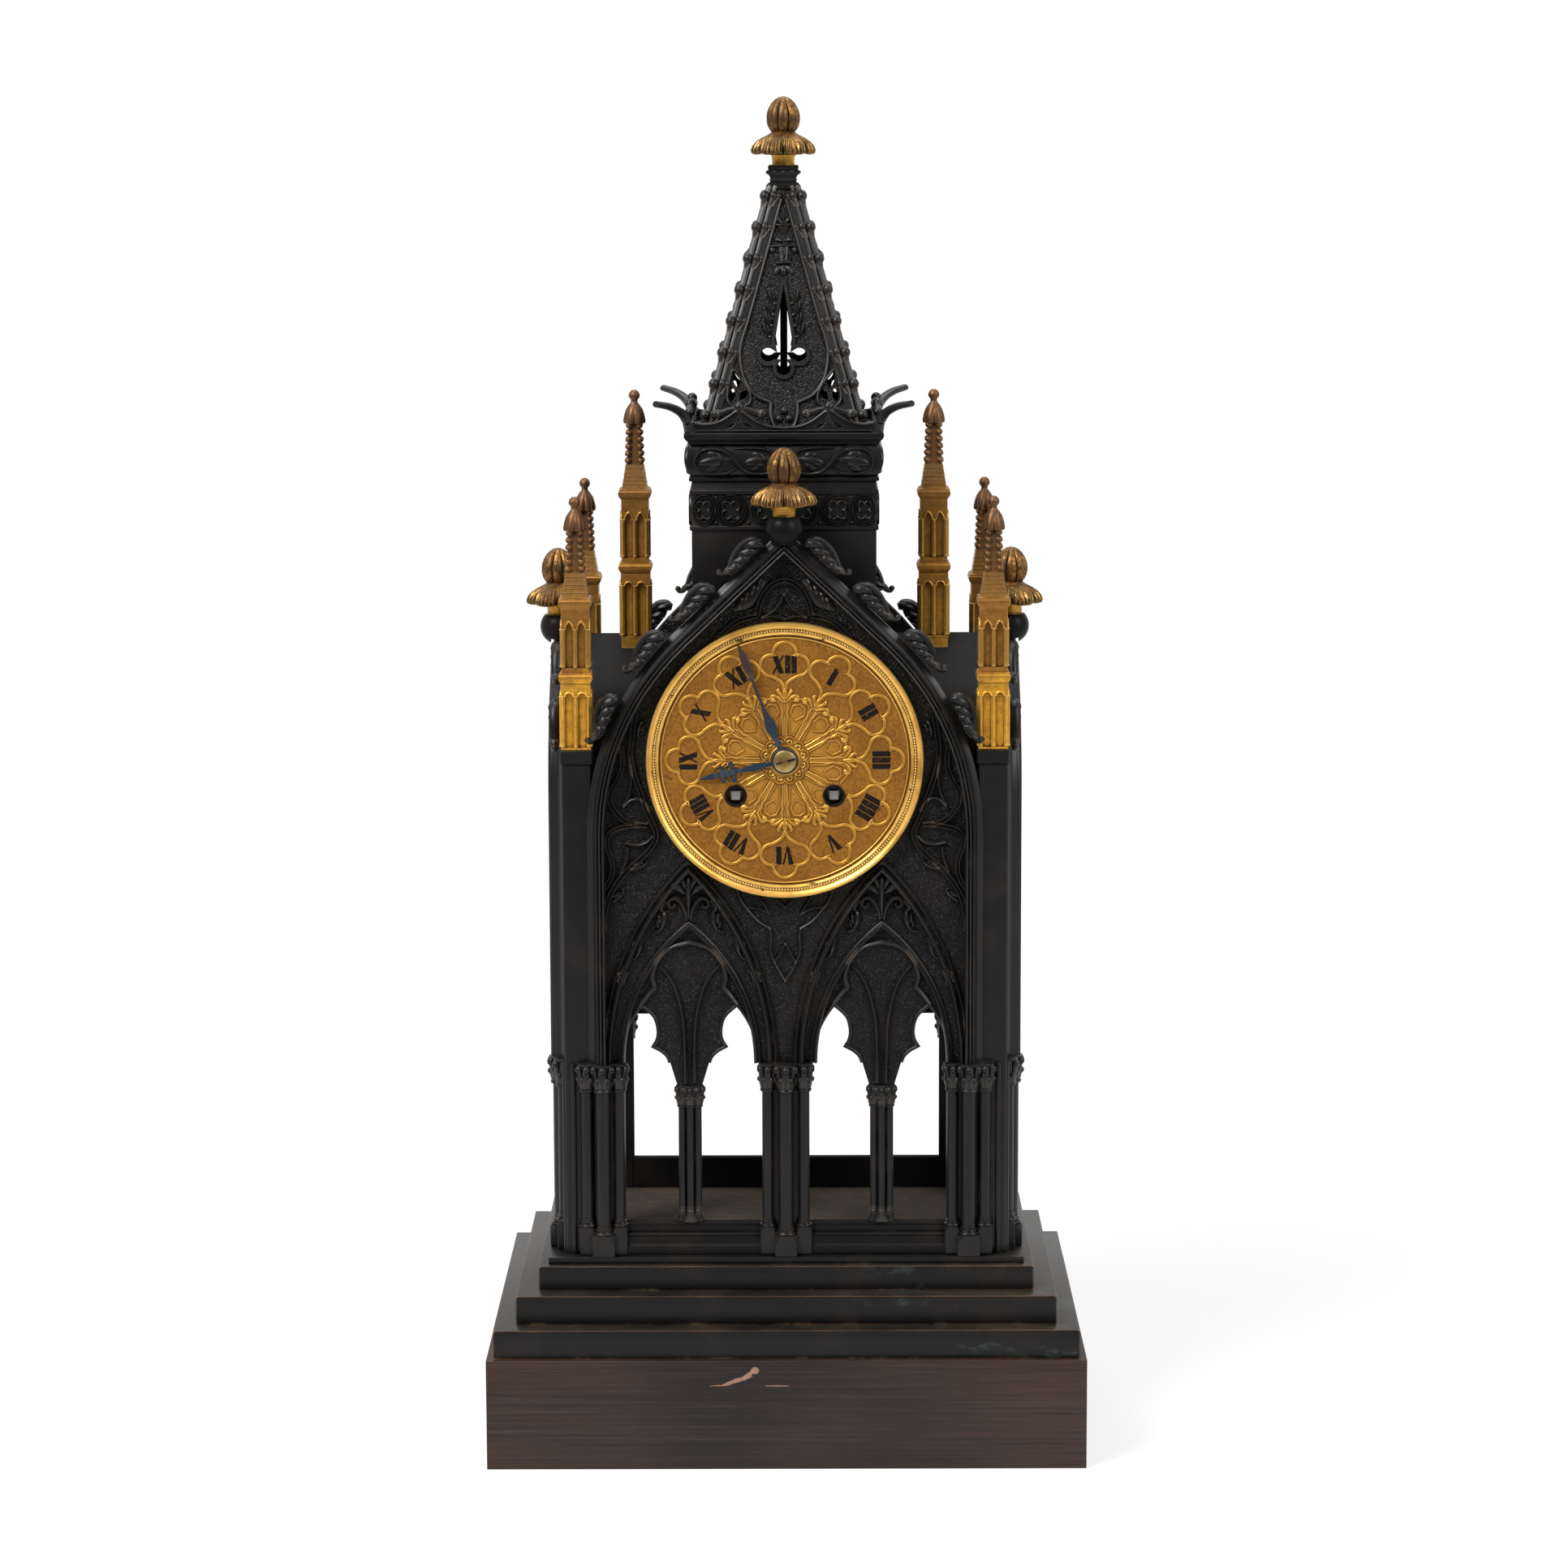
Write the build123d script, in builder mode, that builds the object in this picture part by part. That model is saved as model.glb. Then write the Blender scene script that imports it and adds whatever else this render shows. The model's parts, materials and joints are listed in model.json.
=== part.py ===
from build123d import *
from math import atan2, cos, hypot, pi, radians, sin, sqrt, tan
import os

os.makedirs("parts", exist_ok=True)

# Plinth, steps and sill
plinth_width = 232.0
plinth_depth = 157.4
plinth_height = 43.2
plinth_skin = 1.6
core_gap = 0.15
step_lower_inset = 2.7
step_middle_inset = 8.5
step_upper_inset = 8.6
sill_inset = 3.65
step_lower_height = 11.3
step_middle_height = 11.3
step_upper_height = 9.7
sill_height = 2.6
base_opening_width = 116.0
base_opening_depth = 62.0
floor_thickness = 3.4
floor_gap = 0.35
bolt_radius = 2.4
bolt_gap = 0.15
bolt_head_radius = 5.0
bolt_head_height = 4.0
bolt_head_depth = 6.0
bolt_reach = 30.0

# Walls, piers and columns
sill_ledge = 6.6
wall = 4.0
pier_size = 11.5
arcade_height = 76.2
pier_height = 198.9
outer_shaft_step = 8.6
big_shaft_step = 14.85
inner_shaft_step = 21.05
wing_margin = 2.4
big_shaft_radius = 2.9
outer_shaft_radius = 2.45
inner_shaft_radius = 2.2
big_shaft_stand = 2.4
thin_shaft_stand = 0.7
block_height = 8.4
thin_block_half = 3.0
thin_block_stand = 3.6
thin_block_rise = 3.0
big_base_height = 5.0
thin_base_height = 4.0
block_stand = 5.7
capital_height = 11.3
dado_front_height = 12.4
dado_rear_height = 15.9
dado_gap = 0.1

# Front bays
bay_offset = 37.3
mullion_top_drop = 9.3
mullion_half = 4.8
mullion_foot_height = 2.5
mullion_base_height = 3.0
mullion_capital_height = 8.8
lancet_half = 27.0
lancet_radius = 35.0
lancet_apex = 18.5
cusp_offset = 14.0
cusp_rise = 6.3
lobe_offset = 12.1
lobe_rise = 12.9
foot_offset = 7.6
bay_arch_half = 34.5
bay_arch_rise = 78.5
bay_band = 4.6
bay_relief = 3.4
hood_half = 28.0
hood_rise = 55.0
hood_band = 3.0
hood_relief = 2.2
centre_shaft_step = 7.0
mullion_shaft_step = 3.0
mullion_shaft_radius = 1.5

# Gables and roof
arch_edge = 9.55
arch_knee_height = 165.9
arch_radius = 107.0
side_arch_edge = 9.15
side_knee_height = 177.9
side_arch_radius = 60.0
gable_turn = radians(46.5)
coping_band = 7.0
coping_relief = 6.0
side_opening_half = 21.0
side_opening_rise = 42.0
rear_opening_half = 55.0
rear_opening_rise = 30.0
roof_inset = 8.0
side_roof_inset = 2.0
roof_shell = 2.5
roof_seat_gap = 0.2
deck_drop = 12.0
deck_thickness = 2.5
ball_radius = 7.2
ball_seat_gap = 0.15
ball_flat = 4.7
leaf_gap = 0.3
leaf_half = 2.5

# Tower, crown and spire
tower_half = 35.5
tower_wall = 3.0
tower_low = 300.0
band_low = 360.3
band_high = 375.9
frieze_low = 379.2
frieze_bulge = 1.8
cornice_low = 392.9
cornice_top = 397.9
cornice_half = 38.3
cap_plate = 4.5
crown_half = 36.6
crown_plate = 2.0
crown_peak = 9.5
crown_peak_offset = 17.2
spire_half = 31.2
spire_shell = 2.4
spire_top_half = 5.6
collar_low = 489.9
collar_high = 498.9
collar_half = 6.4
rod_radius = 1.4
rod_gap = 0.1
hip_rib = 3.0
crocket_radius = 2.3
crocket_rows = 8

# Dial, bezel and hands
dial_height = 195.1
hole_radius = 47.0
bezel_radius = 53.3
bezel_front = 5.8
flange_inner = 45.0
flange_gap = 0.2
flange_depth = 3.0
dial_seat = 1.55
dial_radius = 48.4
dial_gap = 0.15
dial_thickness = 1.0
key_spread = 18.9
key_drop = 13.8
keyhole_radius = 3.75
hand_thickness = 0.8
minute_hand_length = 49.3
hour_hand_length = 34.0
minute_hand_angle = radians(-21.4)
hour_hand_angle = radians(257.8)

# Movement
plate_radius = 43.0
plate_thickness = 2.5
plate_setback = 6.15
plate_distance = 34.0
pillar_radius = 2.5
pillar_circle = 38.5
end_shake = 0.15
pivot_radius = 0.55
running = 0.05
winding_radius = 2.4
winding_square = 3.4
barrel_radius = 16.5
barrel_wall = 1.2
cannon_radius = 1.6
hour_pipe_radius = 2.6
centre_radius = 0.95
swing_length = 126.0
bob_radius = 15.5
bob_half = 4.2
pendulum_rod_radius = 1.0
pendulum_setback = 6.0
bell_radius = 34.0
bell_setback = 11.5

# Wheel counts and modules
barrel_teeth = 73
barrel_module = 0.5
barrel_leaves = 10
intermediate_teeth = 64
intermediate_module = 0.4
centre_leaves = 10
centre_teeth = 84
centre_module = 0.3
third_leaves = 7
third_teeth = 77
third_module = 0.28
escape_leaves = 7
escape_teeth = 38
escape_radius = 7.5
second_teeth = 60
second_module = 0.35
pin_leaves = 8
pin_teeth = 54
pin_module = 0.3
fly_leaves = 7
cannon_teeth = 12
minute_teeth = 36
motion_module = 0.5
hour_leaves = 10
hour_teeth = 40

# Levels and half sizes that follow from them
lower_top = plinth_height + step_lower_height
middle_top = lower_top + step_middle_height
upper_top = middle_top + step_upper_height
floor_level = upper_top + sill_height
spring = floor_level + arcade_height
pier_top = floor_level + pier_height
tread_lower = step_lower_inset
tread_middle = tread_lower + step_middle_inset
tread_upper = tread_middle + step_upper_inset
tread_sill = tread_upper + sill_inset
half_width = plinth_width / 2 - tread_sill - sill_ledge
half_depth = plinth_depth / 2 - tread_sill - sill_ledge
inner_width = half_width - wall
inner_depth = half_depth - wall
panel_half = half_width - pier_size
side_panel_half = half_depth - pier_size
arch_reach = half_width - arch_edge
side_reach = half_depth - side_arch_edge
arch_knee = floor_level + arch_knee_height
side_knee = floor_level + side_knee_height
arch_shape = (arch_reach, arch_knee, arch_radius)
side_shape = (side_reach, side_knee, side_arch_radius)
deck = pier_top - deck_drop
mullion_top = spring - mullion_top_drop
bolt_x = half_width - pier_size / 2
bolt_y = half_depth - pier_size / 2
wing_x = half_width - inner_shaft_step - wing_margin
wing_y = half_depth - inner_shaft_step - wing_margin
dial_z = floor_level + dial_height
coping_middle = coping_relief / 2


def keep(piece, name):
    piece.label = name
    export_step(piece, f"parts/{name}.step")


def block(x0, x1, y0, y1, z0, z1, mode=Mode.ADD):
    with BuildSketch(Plane.XY.offset(z0)) as outline:
        with Locations(((x0 + x1) / 2, (y0 + y1) / 2)):
            Rectangle(x1 - x0, y1 - y0)
    extrude(outline.sketch, amount=z1 - z0, mode=mode)


def slab(half_x, half_y, z0, z1, mode=Mode.ADD):
    block(-half_x, half_x, -half_y, half_y, z0, z1, mode)


def upright(x, y, z0, z1, radius, mode=Mode.ADD):
    with BuildSketch(Plane.XY.offset(z0)) as outline:
        with Locations((x, y)):
            Circle(radius)
    extrude(outline.sketch, amount=z1 - z0, mode=mode)


def facing(x, y, z):
    return Plane(origin=(x, y, z), x_dir=(1, 0, 0), z_dir=(0, -1, 0))


def rod(at, y0, y1, radius, mode=Mode.ADD):
    with BuildSketch(facing(at[0], y0, dial_z + at[1])) as outline:
        Circle(radius)
    extrude(outline.sketch, amount=y0 - y1, mode=mode)


def turned(x, y, foot, profile):
    with BuildSketch(facing(x, y, foot)) as outline:
        with BuildLine():
            Polyline(*profile, close=True)
        make_face()
    revolve(outline.sketch, axis=Axis((x, y, 0), (0, 0, 1)))


def ringed(at, profile):
    with BuildSketch(Plane(origin=(at[0], 0, dial_z + at[1]), x_dir=(1, 0, 0), z_dir=(0, 0, 1))) as outline:
        with BuildLine():
            Polyline(*profile, close=True)
        make_face()
    revolve(outline.sketch, axis=Axis((at[0], 0, dial_z + at[1]), (0, 1, 0)))


def bolt_holes(z0, z1):
    with BuildSketch(Plane.XY.offset(z0)) as outline:
        with GridLocations(2 * bolt_x, 2 * bolt_y, 2, 2):
            Circle(bolt_radius + bolt_gap)
    extrude(outline.sketch, amount=z1 - z0, mode=Mode.SUBTRACT)


# Outlines drawn in the wall planes
def gable_points(shape, inset):
    reach, knee, radius = shape
    foot = reach - inset
    bend = radius - inset
    shoulder = foot - bend * (1 - cos(gable_turn))
    shoulder_z = knee + bend * sin(gable_turn)
    apex = shoulder_z + shoulder / tan(gable_turn)
    half = gable_turn / 2
    middle = (foot - bend * (1 - cos(half)), knee + bend * sin(half))
    return foot, knee, middle, (shoulder, shoulder_z), apex


def gable_face(shape, inset, mode=Mode.ADD):
    foot, knee, middle, shoulder, apex = gable_points(shape, inset)
    with BuildLine() as path:
        Line((foot, spring), (-foot, spring))
        Line((-foot, spring), (-foot, knee))
        ThreePointArc((-foot, knee), (-middle[0], middle[1]), (-shoulder[0], shoulder[1]))
        Line((-shoulder[0], shoulder[1]), (0, apex))
        Line((0, apex), shoulder)
        ThreePointArc(shoulder, middle, (foot, knee))
        Line((foot, knee), (foot, spring))
    make_face(path.edges(), mode=mode)


def arch_face(centre, half, foot, rise, mode=Mode.ADD):
    radius = (half * half + rise * rise) / (2 * half)
    turn = atan2(rise, radius - half) / 2
    reach = half - radius + radius * cos(turn)
    height = foot + radius * sin(turn)
    with BuildLine() as path:
        ThreePointArc((centre - half, foot), (centre - reach, height), (centre, foot + rise))
        ThreePointArc((centre, foot + rise), (centre + reach, height), (centre + half, foot))
        Line((centre + half, foot), (centre - half, foot))
    make_face(path.edges(), mode=mode)


def arch_inset(half, rise, band):
    radius = (half * half + rise * rise) / (2 * half)
    smaller = radius - band
    return half - band, sqrt(smaller * smaller - (radius - half) ** 2)


def lancet_face(centre, side):
    swing = sqrt(lancet_radius**2 - (lancet_apex - lancet_half + lancet_radius) ** 2)
    turn = atan2(swing, lancet_apex - lancet_half + lancet_radius) / 2
    belly = lancet_half - lancet_radius + lancet_radius * cos(turn)
    foot = (centre + side * foot_offset, spring)
    cusp = (centre + side * cusp_offset, spring + cusp_rise)
    apex = (centre + side * lancet_apex, spring + swing)
    outer = (centre + side * lancet_half, spring)
    low = (centre + side * (foot_offset * 0.7 + cusp_offset * 0.3), spring + cusp_rise * 0.75)
    with BuildLine() as path:
        ThreePointArc(foot, low, cusp)
        ThreePointArc(cusp, (centre + side * lobe_offset, spring + lobe_rise), apex)
        ThreePointArc(apex, (centre + side * belly, spring + lancet_radius * sin(turn)), outer)
        Line(outer, foot)
    make_face(path.edges(), mode=Mode.SUBTRACT)


def front_plane(depth):
    return Plane.XZ.offset(depth)


# Plinth: metal skin over a wooden core
with BuildPart() as plinth:
    slab(plinth_width / 2, plinth_depth / 2, 0, plinth_height)
    slab(plinth_width / 2 - plinth_skin, plinth_depth / 2 - plinth_skin, 0, plinth_height - plinth_skin,
         Mode.SUBTRACT)
    bolt_holes(0, plinth_height)
keep(plinth.part, "plinth")

with BuildPart() as plinth_core:
    core_side = plinth_skin + core_gap
    slab(plinth_width / 2 - core_side, plinth_depth / 2 - core_side, 0, plinth_height - plinth_skin)
    bolt_holes(0, plinth_height)
    with BuildSketch(Plane.XY):
        with GridLocations(2 * bolt_x, 2 * bolt_y, 2, 2):
            Circle(bolt_head_radius + bolt_gap)
    extrude(amount=bolt_head_depth + bolt_head_height, mode=Mode.SUBTRACT)
keep(plinth_core.part, "plinth_core")


def stair(tread, z0, z1):
    with BuildPart() as step:
        slab(plinth_width / 2 - tread, plinth_depth / 2 - tread, z0, z1)
        slab(base_opening_width / 2, base_opening_depth / 2, z0, z1, Mode.SUBTRACT)
        bolt_holes(z0, z1)
    return step.part


keep(stair(tread_lower, plinth_height, lower_top), "step_lower")
keep(stair(tread_middle, lower_top, middle_top), "step_middle")
keep(stair(tread_upper, middle_top, upper_top), "step_upper")
keep(stair(tread_sill, upper_top, floor_level), "sill_plate")

with BuildPart() as floor_board:
    floor_top = floor_level + floor_thickness
    slab(inner_width - floor_gap, side_panel_half - floor_gap, floor_level, floor_top)
    slab(panel_half - floor_gap, inner_depth - floor_gap, floor_level, floor_top)
keep(floor_board.part, "floor_board")

with BuildPart() as case_bolts:
    with BuildSketch(Plane.XY.offset(bolt_head_depth)):
        with GridLocations(2 * bolt_x, 2 * bolt_y, 2, 2):
            RegularPolygon(bolt_head_radius, 6)
    extrude(amount=bolt_head_height)
    with BuildSketch(Plane.XY.offset(bolt_head_depth + bolt_head_height)):
        with GridLocations(2 * bolt_x, 2 * bolt_y, 2, 2):
            Circle(bolt_radius)
    extrude(amount=floor_level + bolt_reach - bolt_head_depth - bolt_head_height)
keep(case_bolts.part, "case_bolts")


# Cluster columns and corner piers
thin_block_top = floor_level + block_height + thin_block_rise


def shaft(x, y, foot, top, radius, base, capital):
    neck = top - capital
    spread = radius + capital * 0.21
    turned(x, y, 0, [
        (0, foot), (radius * 1.3, foot), (radius * 1.3, foot + base * 0.4), (radius, foot + base),
        (radius, neck), (radius * 1.35, neck + capital * 0.04), (radius * 1.35, neck + capital * 0.14),
        (radius * 1.1, neck + capital * 0.2), (spread, top - capital * 0.22),
        (spread * 1.08, top - capital * 0.2),
        (spread * 1.08, top), (0, top)])


def cluster_front():
    big = half_width - big_shaft_step
    block(big - block_stand, big + block_stand, -half_depth - block_stand, -inner_depth, floor_level,
          floor_level + block_height)
    shaft(big, -half_depth - big_shaft_stand, floor_level + block_height, spring, big_shaft_radius,
            big_base_height, capital_height)
    for step, radius in ((outer_shaft_step, outer_shaft_radius), (inner_shaft_step, inner_shaft_radius)):
        x = half_width - step
        block(x - thin_block_half, x + thin_block_half, -half_depth - thin_block_stand, -inner_depth,
                floor_level, thin_block_top)
        shaft(x, -half_depth - thin_shaft_stand, thin_block_top, spring, radius, thin_base_height,
                capital_height)


def cluster_side():
    big = -half_depth + big_shaft_step
    block(inner_width, half_width + block_stand, big - block_stand, big + block_stand, floor_level,
          floor_level + block_height)
    shaft(half_width + big_shaft_stand, big, floor_level + block_height, spring, big_shaft_radius,
            big_base_height, capital_height)
    for step, radius in ((outer_shaft_step, outer_shaft_radius), (inner_shaft_step, inner_shaft_radius)):
        y = -half_depth + step
        block(inner_width, half_width + thin_block_stand, y - thin_block_half, y + thin_block_half,
                floor_level, thin_block_top)
        shaft(half_width + thin_shaft_stand, y, thin_block_top, spring, radius, thin_base_height,
                capital_height)


with BuildPart() as corner:
    block(panel_half, half_width, -half_depth, -side_panel_half, floor_level, pier_top)
    block(wing_x, half_width, -half_depth, -inner_depth, floor_level, spring)
    block(inner_width, half_width, -half_depth, -wing_y, floor_level, spring)
    cluster_front()
    cluster_side()
    upright(bolt_x, -bolt_y, floor_level, floor_level + bolt_reach + bolt_gap, bolt_radius + bolt_gap,
            Mode.SUBTRACT)

with BuildPart() as front_piers:
    add(corner.part)
    mirror(about=Plane.YZ)
keep(front_piers.part, "front_piers")

with BuildPart() as rear_piers:
    add(front_piers.part)
    mirror(about=Plane.XZ, mode=Mode.REPLACE)
keep(rear_piers.part, "rear_piers")

with BuildPart() as front_columns:
    block(-centre_shaft_step - 2.0, centre_shaft_step + 2.0, -half_depth, -inner_depth, floor_level, spring)
    block(-block_stand, block_stand, -half_depth - block_stand, -inner_depth, floor_level,
            floor_level + block_height)
    shaft(0, -half_depth - big_shaft_stand, floor_level + block_height, spring, big_shaft_radius,
            big_base_height, capital_height)
    for x in (-centre_shaft_step, centre_shaft_step):
        block(x - thin_block_half, x + thin_block_half, -half_depth - thin_block_stand, -inner_depth,
                floor_level, thin_block_top)
        shaft(x, -half_depth - thin_shaft_stand, thin_block_top, spring, inner_shaft_radius,
                thin_base_height, capital_height)
    for bay in (-bay_offset, bay_offset):
        foot = floor_level + dado_front_height
        middle = -half_depth + wall / 2
        block(bay - mullion_half, bay + mullion_half, middle - 2.6, middle + 1.9, foot,
                foot + mullion_foot_height)
        block(bay - mullion_shaft_step, bay + mullion_shaft_step, middle - 0.8, middle + 1.2, foot,
                mullion_top)
        for x, y in ((0, -1.2), (-mullion_shaft_step, 0), (mullion_shaft_step, 0)):
            shaft(bay + x, middle + y, foot + mullion_foot_height, mullion_top, mullion_shaft_radius,
                    mullion_base_height, mullion_capital_height)
keep(front_columns.part, "front_columns")

with BuildPart() as dado_rails:
    centre_edge = centre_shaft_step + thin_block_half + dado_gap
    wing_edge = half_width - inner_shaft_step - thin_block_half - dado_gap
    side_edge = half_depth - inner_shaft_step - thin_block_half - dado_gap
    for side in (-1, 1):
        x0, x1 = sorted((side * centre_edge, side * wing_edge))
        block(x0, x1, -half_depth, -inner_depth, floor_level, floor_level + dado_front_height)
        block(x0, x1, -half_depth - 3.0, -half_depth, floor_level, floor_level + block_height)
        x0, x1 = sorted((side * inner_width, side * half_width))
        block(x0, x1, -side_edge, side_edge, floor_level, floor_level + dado_rear_height)
    block(-wing_edge, wing_edge, inner_depth, half_depth, floor_level, floor_level + dado_rear_height)
keep(dado_rails.part, "dado_rails")

# Front wall with its gable, bays and cusped lancets
with BuildPart() as front_facade:
    with BuildSketch(front_plane(half_depth)):
        gable_face(arch_shape, 0)
        with Locations((0, spring + pier_height / 2)):
            Rectangle(2 * panel_half, 2 * pier_height, mode=Mode.INTERSECT)
        for bay in (-bay_offset, bay_offset):
            with BuildLine():
                Polyline((bay - mullion_half, mullion_top), (bay + mullion_half, mullion_top),
                         (bay + foot_offset, spring), (bay - foot_offset, spring), close=True)
            make_face()
            lancet_face(bay, -1)
            lancet_face(bay, 1)
    extrude(amount=-wall)
    with BuildSketch(front_plane(half_depth)):
        gable_face(arch_shape, 0)
        gable_face(arch_shape, coping_band, Mode.SUBTRACT)
    extrude(amount=coping_relief)
    for bay in (-bay_offset, bay_offset):
        with BuildSketch(front_plane(half_depth)):
            arch_face(bay, bay_arch_half, spring, bay_arch_rise)
            inner = arch_inset(bay_arch_half, bay_arch_rise, bay_band)
            arch_face(bay, inner[0], spring, inner[1], Mode.SUBTRACT)
        extrude(amount=bay_relief)
        with BuildSketch(front_plane(half_depth)):
            arch_face(bay, hood_half, spring, hood_rise)
            inner = arch_inset(hood_half, hood_rise, hood_band)
            arch_face(bay, inner[0], spring, inner[1], Mode.SUBTRACT)
        extrude(amount=hood_relief)
    rod((0, 0), -half_depth - coping_relief, -inner_depth, hole_radius, Mode.SUBTRACT)
keep(front_facade.part, "front_facade")

with BuildPart() as rear_facade:
    with BuildSketch(front_plane(-half_depth)):
        gable_face(arch_shape, 0)
        with Locations((0, spring + pier_height / 2)):
            Rectangle(2 * panel_half, 2 * pier_height, mode=Mode.INTERSECT)
        arch_face(0, rear_opening_half, spring, rear_opening_rise, Mode.SUBTRACT)
    extrude(amount=wall)
    with BuildSketch(front_plane(-half_depth)):
        gable_face(arch_shape, 0)
        gable_face(arch_shape, coping_band, Mode.SUBTRACT)
    extrude(amount=-coping_relief)
    rod((0, 0), inner_depth, half_depth, hole_radius, Mode.SUBTRACT)
keep(rear_facade.part, "rear_facade")

with BuildPart() as right_facade:
    with BuildSketch(Plane.YZ.offset(half_width)):
        gable_face(side_shape, 0)
        with Locations((0, spring + pier_height / 2)):
            Rectangle(2 * side_panel_half, 2 * pier_height, mode=Mode.INTERSECT)
        arch_face(0, side_opening_half, spring, side_opening_rise, Mode.SUBTRACT)
    extrude(amount=-wall)
    with BuildSketch(Plane.YZ.offset(half_width)):
        gable_face(side_shape, 0)
        gable_face(side_shape, coping_band, Mode.SUBTRACT)
    extrude(amount=coping_relief)

with BuildPart() as side_facades:
    add(right_facade.part)
    mirror(about=Plane.YZ)
keep(side_facades.part, "side_facades")


# Crossed vaults that close the top of the case
def vaults(extra, mode=Mode.ADD):
    with BuildSketch(front_plane(inner_depth)) as lengthwise:
        gable_face(arch_shape, roof_inset + extra)
    extrude(lengthwise.sketch, amount=-2 * inner_depth, mode=mode)
    with BuildSketch(Plane.YZ.offset(-inner_width)) as crosswise:
        gable_face(side_shape, side_roof_inset + extra)
    extrude(crosswise.sketch, amount=2 * inner_width, mode=mode)


with BuildPart() as roof:
    vaults(0)
    slab(inner_width, inner_depth, deck, deck + deck_thickness)
    slab(half_width, half_depth, spring - wall, deck, Mode.SUBTRACT)
    vaults(roof_shell, Mode.SUBTRACT)
    for x in (-1, 1):
        for y in (-1, 1):
            x0, x1 = sorted((x * panel_half, x * half_width))
            y0, y1 = sorted((y * side_panel_half, y * half_depth))
            block(x0, x1, y0, y1, deck, pier_top + wall, Mode.SUBTRACT)
keep(roof.part, "roof")

# Tower, its entablature and the crown round the spire foot
with BuildPart() as tower:
    slab(tower_half, tower_half, tower_low, frieze_low)
    slab(tower_half + 0.8, tower_half + 0.8, band_low, band_low + 1.8)
    slab(tower_half + 0.8, tower_half + 0.8, band_high - 1.8, band_high)
    slab(tower_half - tower_wall, tower_half - tower_wall, tower_low, frieze_low, Mode.SUBTRACT)
    vaults(-roof_seat_gap, Mode.SUBTRACT)
keep(tower.part, "tower")

with BuildPart() as tower_entablature:
    frieze_foot = frieze_low + 1.8
    with BuildSketch(Plane.XY.offset(frieze_foot)):
        Rectangle(2 * tower_half, 2 * tower_half)
    with BuildSketch(Plane.XY.offset(frieze_foot * 0.7 + cornice_low * 0.3)):
        Rectangle(2 * (tower_half + frieze_bulge), 2 * (tower_half + frieze_bulge))
    with BuildSketch(Plane.XY.offset(frieze_foot * 0.3 + cornice_low * 0.7)):
        Rectangle(2 * (tower_half + frieze_bulge), 2 * (tower_half + frieze_bulge))
    with BuildSketch(Plane.XY.offset(cornice_low)):
        Rectangle(2 * tower_half, 2 * tower_half)
    loft(ruled=True)
    slab(tower_half + 1.0, tower_half + 1.0, frieze_low, frieze_foot)
    slab(cornice_half - 1.6, cornice_half - 1.6, cornice_low, cornice_low + 1.6)
    slab(cornice_half, cornice_half, cornice_low + 1.6, cornice_top)
    slab(tower_half - tower_wall, tower_half - tower_wall, frieze_low, cornice_top - cap_plate,
            Mode.SUBTRACT)
    upright(0, 0, frieze_low, cornice_top, rod_radius + rod_gap, Mode.SUBTRACT)
keep(tower_entablature.part, "tower_entablature")


def crown_face():
    low = cornice_top + 2.2
    ends = cornice_top + 4.5
    peak = cornice_top + crown_peak
    with BuildLine() as path:
        Line((crown_half, cornice_top), (-crown_half, cornice_top))
        Line((-crown_half, cornice_top), (-crown_half, ends))
        ThreePointArc((-crown_half, ends), (-crown_half * 0.7, ends - 1.2), (-crown_peak_offset, peak))
        ThreePointArc((-crown_peak_offset, peak), (-crown_peak_offset * 0.55, low + 1.4), (0, low))
        ThreePointArc((0, low), (crown_peak_offset * 0.55, low + 1.4), (crown_peak_offset, peak))
        ThreePointArc((crown_peak_offset, peak), (crown_half * 0.7, ends - 1.2), (crown_half, ends))
        Line((crown_half, ends), (crown_half, cornice_top))
    make_face(path.edges())


with BuildPart() as crown_gallery:
    with BuildSketch(front_plane(crown_half)):
        crown_face()
    extrude(amount=-crown_plate)
    with BuildSketch(front_plane(-crown_half)):
        crown_face()
    extrude(amount=crown_plate)
    with BuildSketch(Plane.YZ.offset(crown_half)):
        crown_face()
    extrude(amount=-crown_plate)
    with BuildSketch(Plane.YZ.offset(-crown_half)):
        crown_face()
    extrude(amount=crown_plate)
    for x in (-1, 1):
        for y in (-1, 1):
            root = crown_half - crown_plate / 2
            with BuildSketch(Plane(origin=(x * root, y * root, cornice_top), x_dir=(x, y, 0),
                    z_dir=(y, -x, 0))):
                with BuildLine():
                    ThreePointArc((-1.4, 0), (4.0, 8.5), (15.0, 12.5))
                    ThreePointArc((15.0, 12.5), (6.5, 6.5), (2.0, 0))
                    Line((2.0, 0), (-1.4, 0))
                make_face()
            extrude(amount=crown_plate, both=True)
keep(crown_gallery.part, "crown_gallery")

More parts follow.
